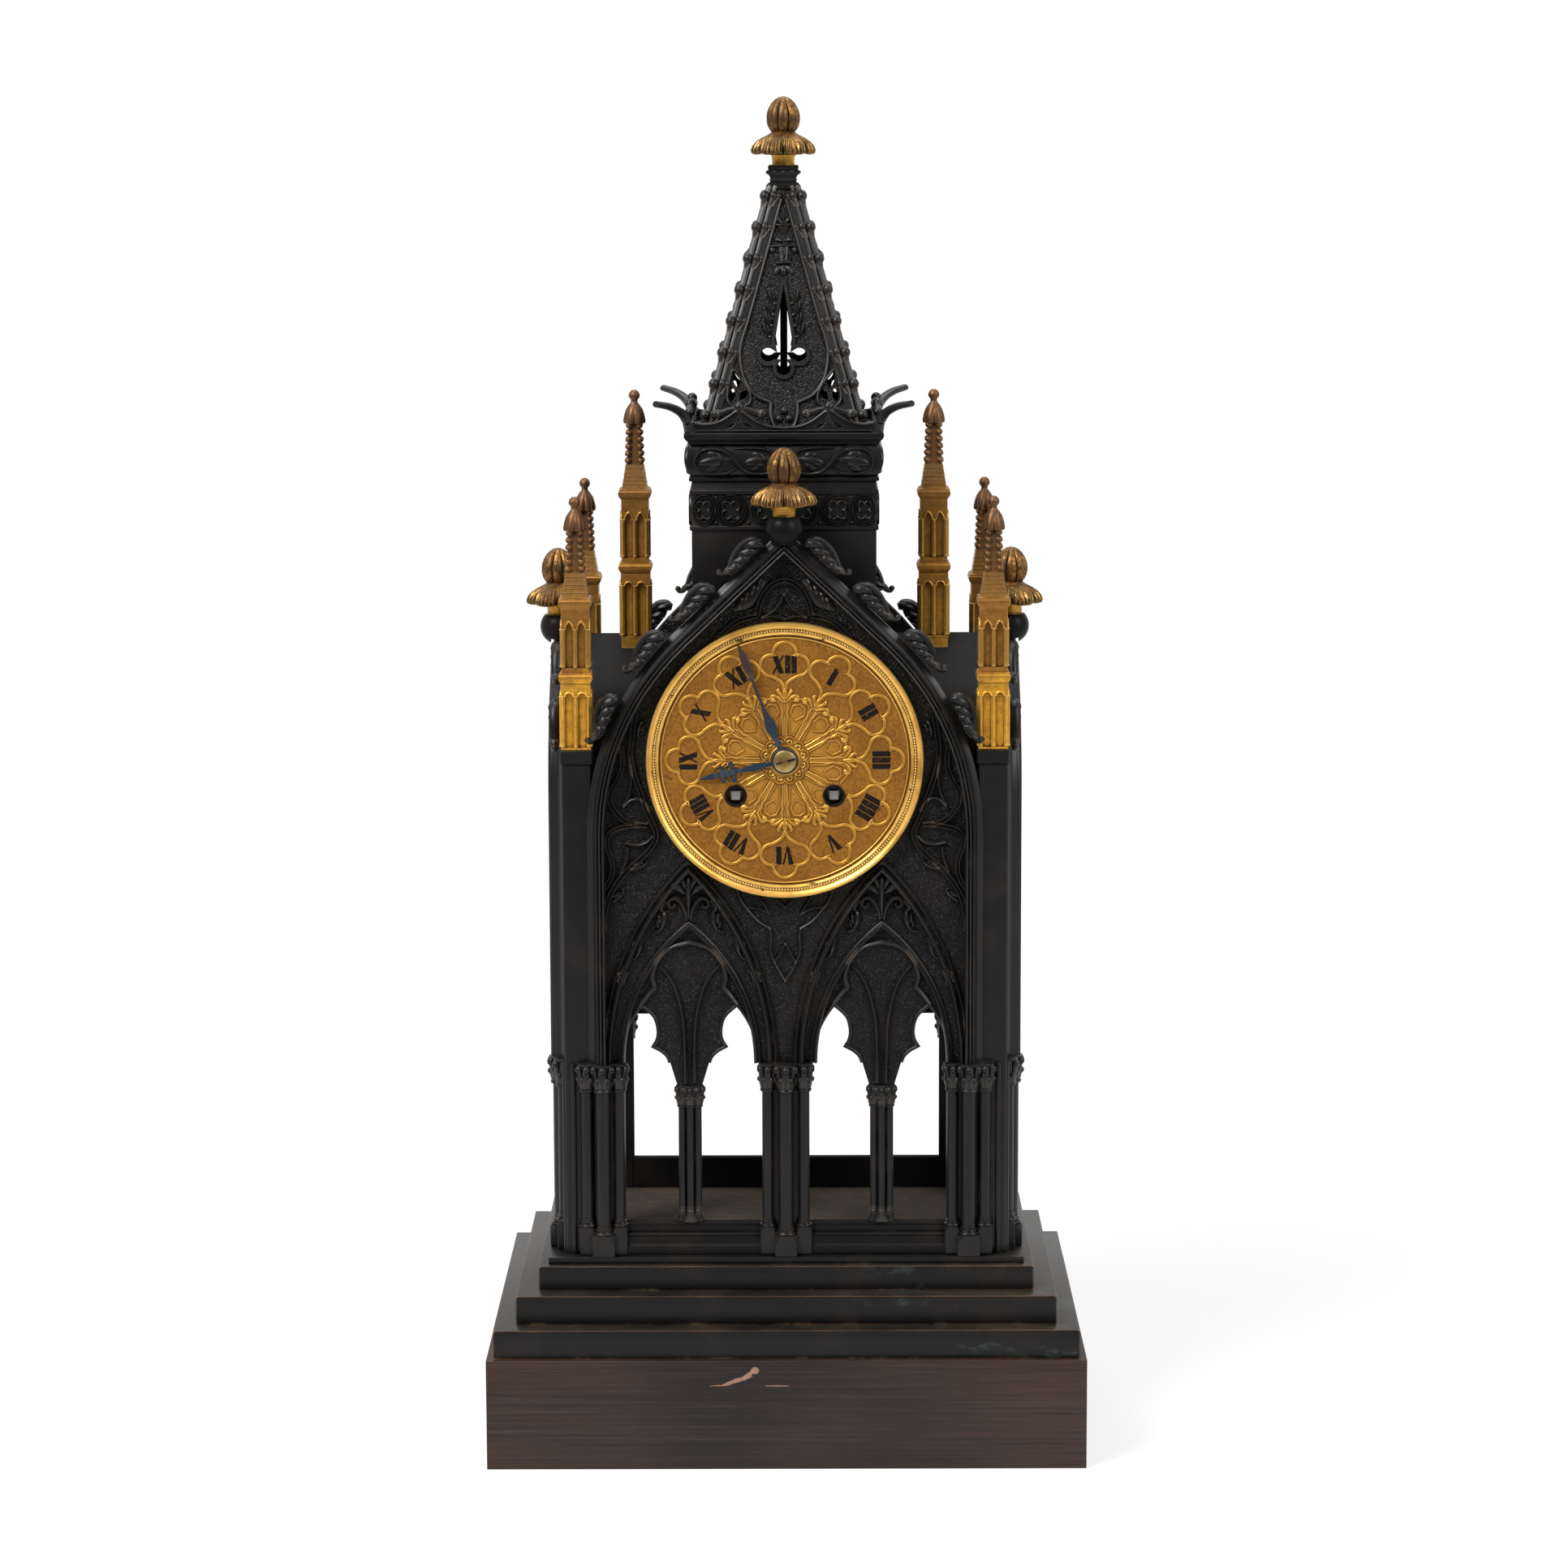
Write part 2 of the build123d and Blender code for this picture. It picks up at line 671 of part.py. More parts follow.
with BuildPart() as spire:
    spire_rise = collar_low - cornice_top
    with BuildSketch(Plane.XY.offset(cornice_top)):
        Rectangle(2 * spire_half, 2 * spire_half)
    with BuildSketch(Plane.XY.offset(collar_low)):
        Rectangle(2 * spire_top_half, 2 * spire_top_half)
    loft()
    for x in (-1, 1):
        for y in (-1, 1):
            lean = spire_half - spire_top_half
            along = (-x * lean, -y * lean, spire_rise)
            with BuildSketch(Plane(origin=(x * spire_half, y * spire_half, cornice_top),
                    x_dir=(y, -x, 0), z_dir=along)):
                Rectangle(hip_rib, hip_rib)
            extrude(amount=sqrt(2 * lean * lean + spire_rise * spire_rise))
            for row in range(crocket_rows):
                part_way = (row + 0.45) / crocket_rows
                out = spire_half - lean * part_way + crocket_radius * 0.55
                with Locations((x * out, y * out, cornice_top + spire_rise * part_way)):
                    Sphere(crocket_radius)
    slab(spire_half * 2, spire_half * 2, cornice_top - 20, cornice_top, Mode.SUBTRACT)
    slab(spire_half, spire_half, collar_low, collar_low + 20, Mode.SUBTRACT)
    with BuildSketch(Plane.XY.offset(cornice_top)):
        Rectangle(2 * (spire_half - spire_shell), 2 * (spire_half - spire_shell))
    with BuildSketch(Plane.XY.offset(collar_low)):
        Rectangle(2 * (spire_top_half - spire_shell), 2 * (spire_top_half - spire_shell))
    loft(mode=Mode.SUBTRACT)
    for plane in (Plane.XZ, Plane.YZ):
        with BuildSketch(plane):
            middle = cornice_top + spire_rise * 0.315
            with Locations((0, middle)):
                with PolarLocations(4.4, 4):
                    Circle(3.3)
                Circle(2.6)
            with BuildLine():
                Polyline((-2.4, middle + 4.0), (2.4, middle + 4.0), (0, middle + 24.0), close=True)
            make_face()
            with Locations((-17.0, cornice_top + 13.0), (17.0, cornice_top + 13.0)):
                RegularPolygon(4.0, 3, rotation=90)
        extrude(amount=spire_half * 1.5, both=True, mode=Mode.SUBTRACT)
keep(spire.part, "spire")

with BuildPart() as spire_collar:
    slab(collar_half, collar_half, collar_low, collar_low + 2.4)
    slab(collar_half - 1.6, collar_half - 1.6, collar_low + 2.4, collar_high - 2.6)
    slab(collar_half - 0.4, collar_half - 0.4, collar_high - 2.6, collar_high)
    upright(0, 0, collar_low, collar_high, rod_radius + rod_gap, Mode.SUBTRACT)
keep(spire_collar.part, "spire_collar")

with BuildPart() as spire_rod:
    upright(0, 0, cornice_top - cap_plate, collar_high + 4.5, rod_radius)
    upright(0, 0, cornice_top - cap_plate - 3.0, cornice_top - cap_plate, rod_radius * 2.4)
keep(spire_rod.part, "spire_rod")


# Gilt finials, the dark balls under them and the crocket leaves
def finial(x, y, foot):
    turned(x, y, foot, [
        (0, 0), (4.5, 0), (4.9, 4.1), (4.3, 4.6), (9.5, 4.6), (12.2, 5.2), (12.75, 6.4), (11.4, 8.7),
        (7.6, 10.9),
        (4.7, 12.6), (5.7, 14.4), (6.6, 17.6), (6.2, 20.6), (4.6, 23.4), (2.4, 25.4), (0, 26.3)])


front_apex = gable_points(arch_shape, 0)[4]
side_apex = gable_points(side_shape, 0)[4]
front_seat = front_apex + ball_flat
side_seat = side_apex + ball_flat
front_out = half_depth + coping_middle
side_out = half_width + coping_middle

with BuildPart() as spire_finial:
    finial(0, 0, collar_high)
    upright(0, 0, collar_high, collar_high + 5.0, rod_radius + rod_gap, Mode.SUBTRACT)
keep(spire_finial.part, "spire_finial")

with BuildPart() as gable_finials:
    for y in (-front_out, front_out):
        finial(0, y, front_seat)
    for x in (-side_out, side_out):
        finial(x, 0, side_seat)
keep(gable_finials.part, "gable_finials")

with BuildPart() as gable_balls:
    with Locations((0, -front_out, front_apex), (0, front_out, front_apex), (-side_out, 0, side_apex),
                   (side_out, 0, side_apex)):
        Sphere(ball_radius)
    for y in (-front_out, front_out):
        block(-ball_radius, ball_radius, y - ball_radius, y + ball_radius, front_seat, front_seat + 5,
                Mode.SUBTRACT)
    for x in (-side_out, side_out):
        block(x - ball_radius, x + ball_radius, -ball_radius, ball_radius, side_seat, side_seat + 5,
                Mode.SUBTRACT)
    with BuildSketch(front_plane(half_depth + coping_relief + ball_seat_gap)):
        gable_face(arch_shape, -ball_seat_gap)
    extrude(amount=-wall - coping_relief - 2 * ball_seat_gap, mode=Mode.SUBTRACT)
    with BuildSketch(front_plane(-half_depth - coping_relief - ball_seat_gap)):
        gable_face(arch_shape, -ball_seat_gap)
    extrude(amount=wall + coping_relief + 2 * ball_seat_gap, mode=Mode.SUBTRACT)
    with BuildSketch(Plane.YZ.offset(half_width + coping_relief + ball_seat_gap)):
        gable_face(side_shape, -ball_seat_gap)
    extrude(amount=-wall - coping_relief - 2 * ball_seat_gap, mode=Mode.SUBTRACT)
    with BuildSketch(Plane.YZ.offset(-half_width - coping_relief - ball_seat_gap)):
        gable_face(side_shape, -ball_seat_gap)
    extrude(amount=wall + coping_relief + 2 * ball_seat_gap, mode=Mode.SUBTRACT)
keep(gable_balls.part, "gable_balls")


def on_gable(shape, across):
    reach, knee, radius = shape
    foot, knee, middle, shoulder, apex = gable_points(shape, 0)
    if across < shoulder[0]:
        return apex - across / tan(gable_turn), gable_turn
    turn = atan2(sqrt(radius**2 - (radius - reach + across) ** 2), radius - reach + across)
    return knee + radius * sin(turn), turn


def leaf_face():
    with BuildLine() as path:
        ThreePointArc((-6.0, 0), (-1.0, 5.6), (7.5, 8.0))
        ThreePointArc((7.5, 8.0), (8.2, 5.0), (5.0, 3.4))
        Line((5.0, 3.4), (4.0, 0))
        Line((4.0, 0), (-6.0, 0))
    make_face(path.edges())


with BuildPart() as gable_crockets:
    for side in (-1, 1):
        for across in (13.5, 32.0, 50.5, 66.5):
            height, turn = on_gable(arch_shape, across)
            x = side * (across + leaf_gap * cos(turn))
            z = height + leaf_gap * sin(turn)
            for y in (-front_out, front_out):
                with BuildSketch(Plane(origin=(x, y, z), x_dir=(-side * sin(turn), 0, cos(turn)),
                        z_dir=(0, side, 0))):
                    leaf_face()
                extrude(amount=leaf_half, both=True)
        for across in (15.0, 32.5):
            height, turn = on_gable(side_shape, across)
            y = side * (across + leaf_gap * cos(turn))
            z = height + leaf_gap * sin(turn)
            for x in (-side_out, side_out):
                with BuildSketch(Plane(origin=(x, y, z), x_dir=(0, -side * sin(turn), cos(turn)),
                        z_dir=(-side, 0, 0))):
                    leaf_face()
                extrude(amount=leaf_half, both=True)
keep(gable_crockets.part, "gable_crockets")

# Gilt pinnacles on the piers and on the roof ridge
pinnacle_stages = ((0, 25.4, 5.7), (25.4, 29.9, 6.5), (29.9, 54.3, 5.3), (54.3, 58.8, 6.4),
        (58.8, 62.0, 5.0), (62.0, 65.2, 4.5), (65.2, 68.2, 4.0))
with BuildPart() as pinnacle:
    for low, high, half in pinnacle_stages:
        slab(half, half, low, high)
    with BuildSketch(Plane.XY.offset(68.2)):
        Rectangle(6.0, 6.0)
    with BuildSketch(Plane.XY.offset(84.6)):
        Rectangle(4.4, 4.4)
    loft()
    turned(0, 0, 84.6, [
        (0, 0), (3.4, 0), (3.5, 1.4), (2.6, 4.8), (1.2, 7.6), (1.2, 9.0), (1.9, 10.2), (1.6, 11.8),
        (0, 12.5)])
    for low, high, half in (pinnacle_stages[0], pinnacle_stages[2]):
        for plane in (Plane.XZ, Plane.YZ):
            for face in (-1, 1):
                with BuildSketch(plane.offset(face * half)):
                    with Locations((-half * 0.46, (low + high) / 2), (half * 0.46, (low + high) / 2)):
                        SlotOverall(17.0, half * 0.62, rotation=90)
                extrude(amount=-face * 0.9, mode=Mode.SUBTRACT)

with BuildPart() as saddle_pinnacle:
    ridge = gable_points(side_shape, side_roof_inset)[4]
    with Locations((0, 0, ridge - 1.5)):
        add(pinnacle.part)
    slab(5.7, 5.7, ridge - 6.0, ridge - 1.5)
    with BuildSketch(Plane.YZ.offset(-10)):
        gable_face(side_shape, side_roof_inset - roof_seat_gap)
    extrude(amount=20, mode=Mode.SUBTRACT)

with BuildPart() as pinnacles:
    with Locations((-bolt_x, -bolt_y, pier_top), (bolt_x, -bolt_y, pier_top), (-bolt_x, bolt_y, pier_top),
                   (bolt_x, bolt_y, pier_top)):
        add(pinnacle.part)
    with Locations((-58.5, 0, 0), (58.5, 0, 0)):
        add(saddle_pinnacle.part)
keep(pinnacles.part, "pinnacles")

# Bezel, dial and hands
wall_face = -half_depth
flange_face = wall_face - dial_seat
dial_face = flange_face - dial_thickness
bezel_face = wall_face - bezel_front
with BuildPart() as bezel:
    spigot = hole_radius - flange_gap
    seat_edge = dial_radius + dial_gap
    ringed((0, 0), [
        (flange_inner, wall_face + flange_depth), (spigot, wall_face + flange_depth), (spigot, wall_face),
        (bezel_radius, wall_face), (bezel_radius, wall_face - bezel_front * 0.45),
        (bezel_radius - 1.3, bezel_face + 0.5), (bezel_radius - 2.9, bezel_face),
        (seat_edge + 0.6, dial_face - 1.2),
        (seat_edge, dial_face - 0.4), (seat_edge, flange_face), (flange_inner, flange_face)])
keep(bezel.part, "bezel")

plate_front = wall_face + plate_setback
plate_inner = plate_front + plate_thickness
back_inner = plate_inner + plate_distance
back_face = back_inner + plate_thickness
keys = ((-key_spread, -key_drop), (key_spread, -key_drop))
dial_feet = ((26.9, 26.9), (-26.9, 26.9), (0, -35.0))
with BuildPart() as dial:
    rod((0, 0), dial_face, flange_face, dial_radius)
    for foot in dial_feet:
        rod(foot, flange_face, plate_front, 1.3)
    rod((0, 0), dial_face, flange_face, hour_pipe_radius + 0.6, Mode.SUBTRACT)
    for key in keys:
        rod(key, dial_face, flange_face, keyhole_radius, Mode.SUBTRACT)
keep(dial.part, "dial")

hour_back = dial_face - 1.0
hour_face = hour_back - hand_thickness
minute_back = hour_face - 0.6
minute_face = minute_back - hand_thickness


def hand_plane(angle, y):
    return Plane(origin=(0, y, dial_z), x_dir=(cos(angle), 0, -sin(angle)), z_dir=(0, -1, 0))


def blade(halves):
    left = [(-x, v) for x, v in reversed(halves) if x > 0]
    with BuildLine() as path:
        Polyline(*halves, *left, close=True)
    make_face(path.edges())


with BuildPart() as hour_hand:
    with BuildSketch(hand_plane(hour_hand_angle, hour_back)):
        Circle(4.8)
        blade([(1.2, 3.5), (1.0, 8.0), (1.3, 11.0), (1.0, 14.0), (1.1, 19.0), (1.6, 21.0), (1.2, 25.5),
                (1.5, 28.0), (0.7, 31.0), (0, hour_hand_length)])
        with Locations((-2.5, 21.4), (2.5, 21.4), (-2.0, 24.4), (2.0, 24.4)):
            Circle(1.6)
        with Locations((-1.6, 11.2), (1.6, 11.2)):
            Circle(1.0)
        Circle(cannon_radius + running, mode=Mode.SUBTRACT)
    extrude(amount=hand_thickness)
keep(hour_hand.part, "hour_hand")

with BuildPart() as minute_hand:
    with BuildSketch(hand_plane(minute_hand_angle, minute_back)):
        Circle(3.6)
        blade([(0.9, 3.0), (0.8, 9.0), (1.6, 13.0), (2.1, 18.0), (1.8, 24.0), (0.9, 32.0), (1.0, 36.0),
                (1.4, 39.0), (0.8, 44.0), (0, minute_hand_length)])
        with Locations((-1.7, 9.4), (1.7, 9.4), (-1.8, 33.4), (1.8, 33.4)):
            Circle(1.1)
        with Locations((0, 18.5)):
            Ellipse(0.8, 4.6, mode=Mode.SUBTRACT)
        Circle(centre_radius + running, mode=Mode.SUBTRACT)
    extrude(amount=hand_thickness)
keep(minute_hand.part, "minute_hand")

with BuildPart() as hand_nut:
    rod((0, 0), minute_face - 0.5, minute_face, 3.0)
    rod((0, 0), minute_face - 1.9, minute_face - 0.5, 2.0)
    rod((0, 0), minute_face - 1.4, minute_face, centre_radius + running, Mode.SUBTRACT)
keep(hand_nut.part, "hand_nut")


# Wheels: every arbor is placed from the one before it
def from_point(start, distance, angle):
    return start[0] + distance * cos(angle), start[1] + distance * sin(angle)


def meeting(first, first_distance, second, second_distance):
    dx = second[0] - first[0]
    dz = second[1] - first[1]
    apart = hypot(dx, dz)
    along = (first_distance**2 - second_distance**2 + apart**2) / (2 * apart)
    aside = sqrt(first_distance**2 - along**2)
    return first[0] + (along * dx + aside * dz) / apart, first[1] + (along * dz - aside * dx) / apart


def bearing(start, end):
    return atan2(end[1] - start[1], end[0] - start[0])


barrel_mesh = (barrel_teeth + barrel_leaves) * barrel_module / 2
intermediate_mesh = (intermediate_teeth + centre_leaves) * intermediate_module / 2
centre_mesh = (centre_teeth + third_leaves) * centre_module / 2
third_mesh = (third_teeth + escape_leaves) * third_module / 2
second_mesh = (second_teeth + pin_leaves) * second_module / 2
pin_mesh = (pin_teeth + fly_leaves) * pin_module / 2
motion_mesh = (cannon_teeth + minute_teeth) * motion_module / 2
hour_module = 2 * motion_mesh / (hour_leaves + hour_teeth)
strike_at, going_at = keys
centre_at = (0, 0)
intermediate_at = meeting(centre_at, intermediate_mesh, going_at, barrel_mesh)
if intermediate_at[1] < 0:
    intermediate_at = meeting(going_at, barrel_mesh, centre_at, intermediate_mesh)
third_at = from_point(centre_at, centre_mesh, radians(110))
escape_at = (0, third_at[1] + sqrt(third_mesh**2 - third_at[0] ** 2))
anchor_at = (0, escape_at[1] + escape_radius * 1.41)
second_at = from_point(strike_at, barrel_mesh, radians(80))
pin_at = from_point(second_at, second_mesh, radians(115))
fly_at = from_point(pin_at, pin_mesh, radians(60))
hammer_at = (-37.5, -1.0)
minute_at = (0, motion_mesh)
pillar_angles = (23, 55, 125, 157, 270)
pillars_at = [from_point(centre_at, pillar_circle, radians(angle)) for angle in pillar_angles]
train_at = (intermediate_at, third_at, escape_at, second_at, pin_at, fly_at)


def toothed(at, y0, y1, teeth, module, phase, leaves=False):
    pitch = 2 * pi / teeth
    reference = teeth * module / 2
    tip = reference + (0.7 if leaves else 0.8) * module
    root = reference - (1.25 if leaves else 1.2) * module
    wide = 0.24 if leaves else 0.26
    narrow = 0.08 if leaves else 0.09
    points = []
    for tooth in range(teeth):
        middle = phase + tooth * pitch
        for radius, share in ((root, -wide), (tip, -narrow), (tip, narrow), (root, wide)):
            points.append((radius * cos(middle + share * pitch), radius * sin(middle + share * pitch)))
    with BuildSketch(facing(at[0], y0, dial_z + at[1])) as outline:
        with BuildLine():
            Polyline(*points, close=True)
        make_face()
        if teeth > 40:
            with PolarLocations(reference * 0.56, 5):
                Circle(reference * 0.24, mode=Mode.SUBTRACT)
    extrude(outline.sketch, amount=y0 - y1)


def wheel_drives(at, y0, y1, teeth, module, driven_at):
    toothed(at, y0, y1, teeth, module, bearing(at, driven_at))


def pinion_of(at, y0, y1, leaves, module, driver_at):
    toothed(at, y0, y1, leaves, module, bearing(at, driver_at) + pi / leaves, True)


def arbor(at, radius, pivot=pivot_radius):
    rod(at, plate_front + 0.2, back_face - 0.2, pivot)
    rod(at, plate_inner + end_shake, back_inner - end_shake, radius)


def depth(value):
    return plate_inner + value


with BuildPart() as front_plate:
    rod(centre_at, plate_front, plate_inner, plate_radius)
    rod(minute_at, plate_front - 4.9, plate_front, 0.8)
    for at in train_at + (anchor_at, hammer_at):
        rod(at, plate_front, plate_inner, pivot_radius + running, Mode.SUBTRACT)
    for at in keys:
        rod(at, plate_front, plate_inner, winding_radius + running, Mode.SUBTRACT)
    rod(centre_at, plate_front, plate_inner, centre_radius + running, Mode.SUBTRACT)
keep(front_plate.part, "front_plate")

with BuildPart() as back_plate:
    rod(centre_at, back_inner, back_face, plate_radius)
    for at in train_at + (centre_at,):
        rod(at, back_inner, back_face, pivot_radius + running, Mode.SUBTRACT)
    for at in keys:
        rod(at, back_inner, back_face, winding_radius / 2 + running, Mode.SUBTRACT)
    rod(anchor_at, back_inner, back_face, 2.0, Mode.SUBTRACT)
    rod(hammer_at, back_inner, back_face, 1.1 + running, Mode.SUBTRACT)
keep(back_plate.part, "back_plate")

with BuildPart() as plate_pillars:
    for at in pillars_at:
        rod(at, plate_inner, back_inner, pillar_radius)
        rod(at, plate_inner, plate_inner + 2.0, pillar_radius + 0.8)
        rod(at, back_inner - 2.0, back_inner, pillar_radius + 0.8)
keep(plate_pillars.part, "plate_pillars")

# Motion work behind the dial
with BuildPart() as cannon_pinion:
    toothed(centre_at, plate_front - 2.5, plate_front - 0.5, cannon_teeth, motion_module,
            bearing(centre_at, minute_at) + pi / cannon_teeth, True)
    rod(centre_at, minute_back, plate_front - 0.4, cannon_radius)
    rod(centre_at, minute_back, plate_front - 0.4, centre_radius + running, Mode.SUBTRACT)
keep(cannon_pinion.part, "cannon_pinion")

with BuildPart() as minute_wheel:
    wheel_drives(minute_at, plate_front - 2.1, plate_front - 0.9, minute_teeth, motion_module, centre_at)
    pinion_of(minute_at, plate_front - 4.5, plate_front - 2.1, hour_leaves, hour_module, centre_at)
    rod(minute_at, plate_front - 4.5, plate_front - 0.9, 0.8 + running, Mode.SUBTRACT)
keep(minute_wheel.part, "minute_wheel")

with BuildPart() as hour_wheel:
    wheel_drives(centre_at, plate_front - 4.3, plate_front - 2.9, hour_teeth, hour_module, minute_at)
    rod(centre_at, hour_back, plate_front - 2.9, hour_pipe_radius)
    rod(centre_at, hour_back, plate_front - 2.9, cannon_radius + running, Mode.SUBTRACT)
keep(hour_wheel.part, "hour_wheel")


# Spring barrels and their winding arbors
def winding_arbor(at):
    with BuildPart() as winder:
        square_end = flange_face + 0.3
        rod(at, plate_front - 2.5, back_inner - end_shake, winding_radius)
        rod(at, back_inner - end_shake, back_face - 0.2, winding_radius / 2)
        with BuildSketch(facing(at[0], square_end, dial_z + at[1])):
            Rectangle(winding_square, winding_square)
        extrude(amount=square_end - plate_front + 2.5)
    return winder.part


keep(winding_arbor(going_at), "going_arbor")
keep(winding_arbor(strike_at), "strike_arbor")

with BuildPart() as going_barrel:
    toothed(going_at, depth(2.0), depth(4.5), barrel_teeth, barrel_module,
            bearing(going_at, intermediate_at))
    rod(going_at, depth(2.0), depth(24.0), barrel_radius)
    rod(going_at, depth(2.0) + barrel_wall, depth(24.0) - barrel_wall, barrel_radius - barrel_wall,
            Mode.SUBTRACT)
    rod(going_at, depth(2.0), depth(24.0), winding_radius + running, Mode.SUBTRACT)
keep(going_barrel.part, "going_barrel")

with BuildPart() as strike_barrel:
    toothed(strike_at, depth(24.5), depth(27.0), barrel_teeth, barrel_module, bearing(strike_at, second_at))
    rod(strike_at, depth(6.8), depth(27.0), barrel_radius)
    rod(strike_at, depth(6.8) + barrel_wall, depth(27.0) - barrel_wall, barrel_radius - barrel_wall,
            Mode.SUBTRACT)
    rod(strike_at, depth(6.8), depth(27.0), winding_radius + running, Mode.SUBTRACT)
keep(strike_barrel.part, "strike_barrel")

# Going train
with BuildPart() as intermediate_wheel:
    arbor(intermediate_at, 1.0)
    pinion_of(intermediate_at, depth(1.5), depth(5.0), barrel_leaves, barrel_module, going_at)
    wheel_drives(intermediate_at, depth(26.0), depth(27.2), intermediate_teeth, intermediate_module,
            centre_at)
    rod(intermediate_at, depth(25.2), depth(28.0), 3.0)
keep(intermediate_wheel.part, "intermediate_wheel")

with BuildPart() as centre_wheel:
    rod(centre_at, minute_face - 1.2, plate_inner + end_shake, centre_radius)
    rod(centre_at, plate_inner + end_shake, back_inner - end_shake, 1.0)
    rod(centre_at, back_inner - end_shake, back_face - 0.2, pivot_radius)
    pinion_of(centre_at, depth(25.5), depth(28.0), centre_leaves, intermediate_module, intermediate_at)
    wheel_drives(centre_at, depth(30.0), depth(31.2), centre_teeth, centre_module, third_at)
    rod(centre_at, depth(29.0), depth(32.0), 2.6)
keep(centre_wheel.part, "centre_wheel")

with BuildPart() as third_wheel:
    arbor(third_at, 0.6)
    pinion_of(third_at, depth(29.3), depth(31.9), third_leaves, centre_module, centre_at)
    wheel_drives(third_at, depth(20.0), depth(21.2), third_teeth, third_module, escape_at)
    rod(third_at, depth(19.2), depth(22.0), 2.4)
keep(third_wheel.part, "third_wheel")

with BuildPart() as escape_wheel:
    arbor(escape_at, 0.6)
    pinion_of(escape_at, depth(19.4), depth(21.8), escape_leaves, third_module, third_at)
    points = []
    for tooth in range(escape_teeth):
        turn = 2 * pi * tooth / escape_teeth
        share = 2 * pi / escape_teeth
        for radius, ahead in ((escape_radius * 0.86, 0.0), (escape_radius, 0.62), (escape_radius, 0.72),
                              (escape_radius * 0.86, 0.78)):
            points.append((radius * cos(turn + ahead * share), radius * sin(turn + ahead * share)))
    with BuildSketch(facing(escape_at[0], depth(12.0), dial_z + escape_at[1])):
        with BuildLine():
            Polyline(*points, close=True)
        make_face()
        with PolarLocations(escape_radius * 0.54, 5):
            Circle(escape_radius * 0.2, mode=Mode.SUBTRACT)
    extrude(amount=-1.2)
    rod(escape_at, depth(11.2), depth(14.0), 1.6)
keep(escape_wheel.part, "escape_wheel")

# Anchor with its crutch, suspension and pendulum
pendulum_y = back_face + pendulum_setback
axis_z = dial_z + anchor_at[1]
with BuildPart() as anchor:
    rod(anchor_at, plate_front + 0.2, plate_inner + end_shake, pivot_radius)
    rod(anchor_at, plate_inner + end_shake, back_face + 4.0, 0.9)
    rod(anchor_at, depth(11.6), depth(13.6), 2.0)
    with BuildSketch(facing(0, depth(12.0), axis_z)):
        with BuildLine():
            Polyline((-7.6, -5.2), (-6.8, -2.6), (-2.0, 0.9), (2.0, 0.9), (6.8, -2.6), (7.6, -5.2),
                    (6.4, -5.3),
                     (5.3, -3.5), (1.5, -1.3), (-1.5, -1.3), (-5.3, -3.5), (-6.4, -5.3), close=True)
        make_face()
    extrude(amount=-1.2)
    rod(anchor_at, back_face + 2.5, back_face + 3.7, 1.6)
    block(-1.0, 1.0, back_face + 2.5, back_face + 3.7, axis_z - 15.0, axis_z)
    block(-2.5, 2.5, back_face + 2.5, back_face + 3.7, axis_z - 16.0, axis_z - 13.0)
    for x0, x1 in ((-2.5, -1.5), (1.5, 2.5)):
        block(x0, x1, back_face + 3.7, pendulum_y + 1.7, axis_z - 16.0, axis_z - 13.0)
keep(anchor.part, "anchor")

with BuildPart() as suspension_cock:
    block(-7.0, 7.0, back_face, back_face + 2.0, axis_z - 4.2, axis_z + 7.5)
    block(-5.0, 5.0, back_face + 2.0, pendulum_y + 2.5, axis_z + 2.8, axis_z + 6.8)
    block(-2.0, 2.0, pendulum_y - 0.9, pendulum_y + 0.9, axis_z + 0.1, axis_z + 2.8)
    rod(anchor_at, back_face, back_face + 2.0, 0.9 + running, Mode.SUBTRACT)
keep(suspension_cock.part, "suspension_cock")

with BuildPart() as pendulum_rod:
    for x in (-0.9, 0.9):
        upright(x, pendulum_y, axis_z - 8.2, axis_z, 0.3)
    block(-1.7, 1.7, pendulum_y - 0.8, pendulum_y + 0.8, axis_z - 9.7, axis_z - 8.2)
    upright(0, pendulum_y, axis_z - swing_length - bob_radius - 2.5, axis_z - 9.7, pendulum_rod_radius)
    upright(0, pendulum_y, axis_z - swing_length - bob_radius - 2.5, axis_z - swing_length - bob_radius,
            2.2)
keep(pendulum_rod.part, "pendulum_rod")

with BuildPart() as pendulum_bob:
    ringed((0, anchor_at[1] - swing_length), [
        (0, pendulum_y - bob_half), (bob_radius * 0.55, pendulum_y - bob_half * 0.78),
        (bob_radius * 0.95, pendulum_y - bob_half * 0.3), (bob_radius, pendulum_y),
        (bob_radius * 0.95, pendulum_y + bob_half * 0.3),
        (bob_radius * 0.55, pendulum_y + bob_half * 0.78), (0, pendulum_y + bob_half)])
    upright(0, pendulum_y, axis_z - swing_length - bob_radius, axis_z - swing_length + bob_radius,
            pendulum_rod_radius + running, Mode.SUBTRACT)
keep(pendulum_bob.part, "pendulum_bob")

# Strike train, hammer and bell
with BuildPart() as strike_second_wheel:
    arbor(second_at, 0.9)
    pinion_of(second_at, depth(24.0), depth(27.5), barrel_leaves, barrel_module, strike_at)
    wheel_drives(second_at, depth(5.0), depth(6.2), second_teeth, second_module, pin_at)
    rod(second_at, depth(4.2), depth(7.0), 2.4)
keep(strike_second_wheel.part, "strike_second_wheel")

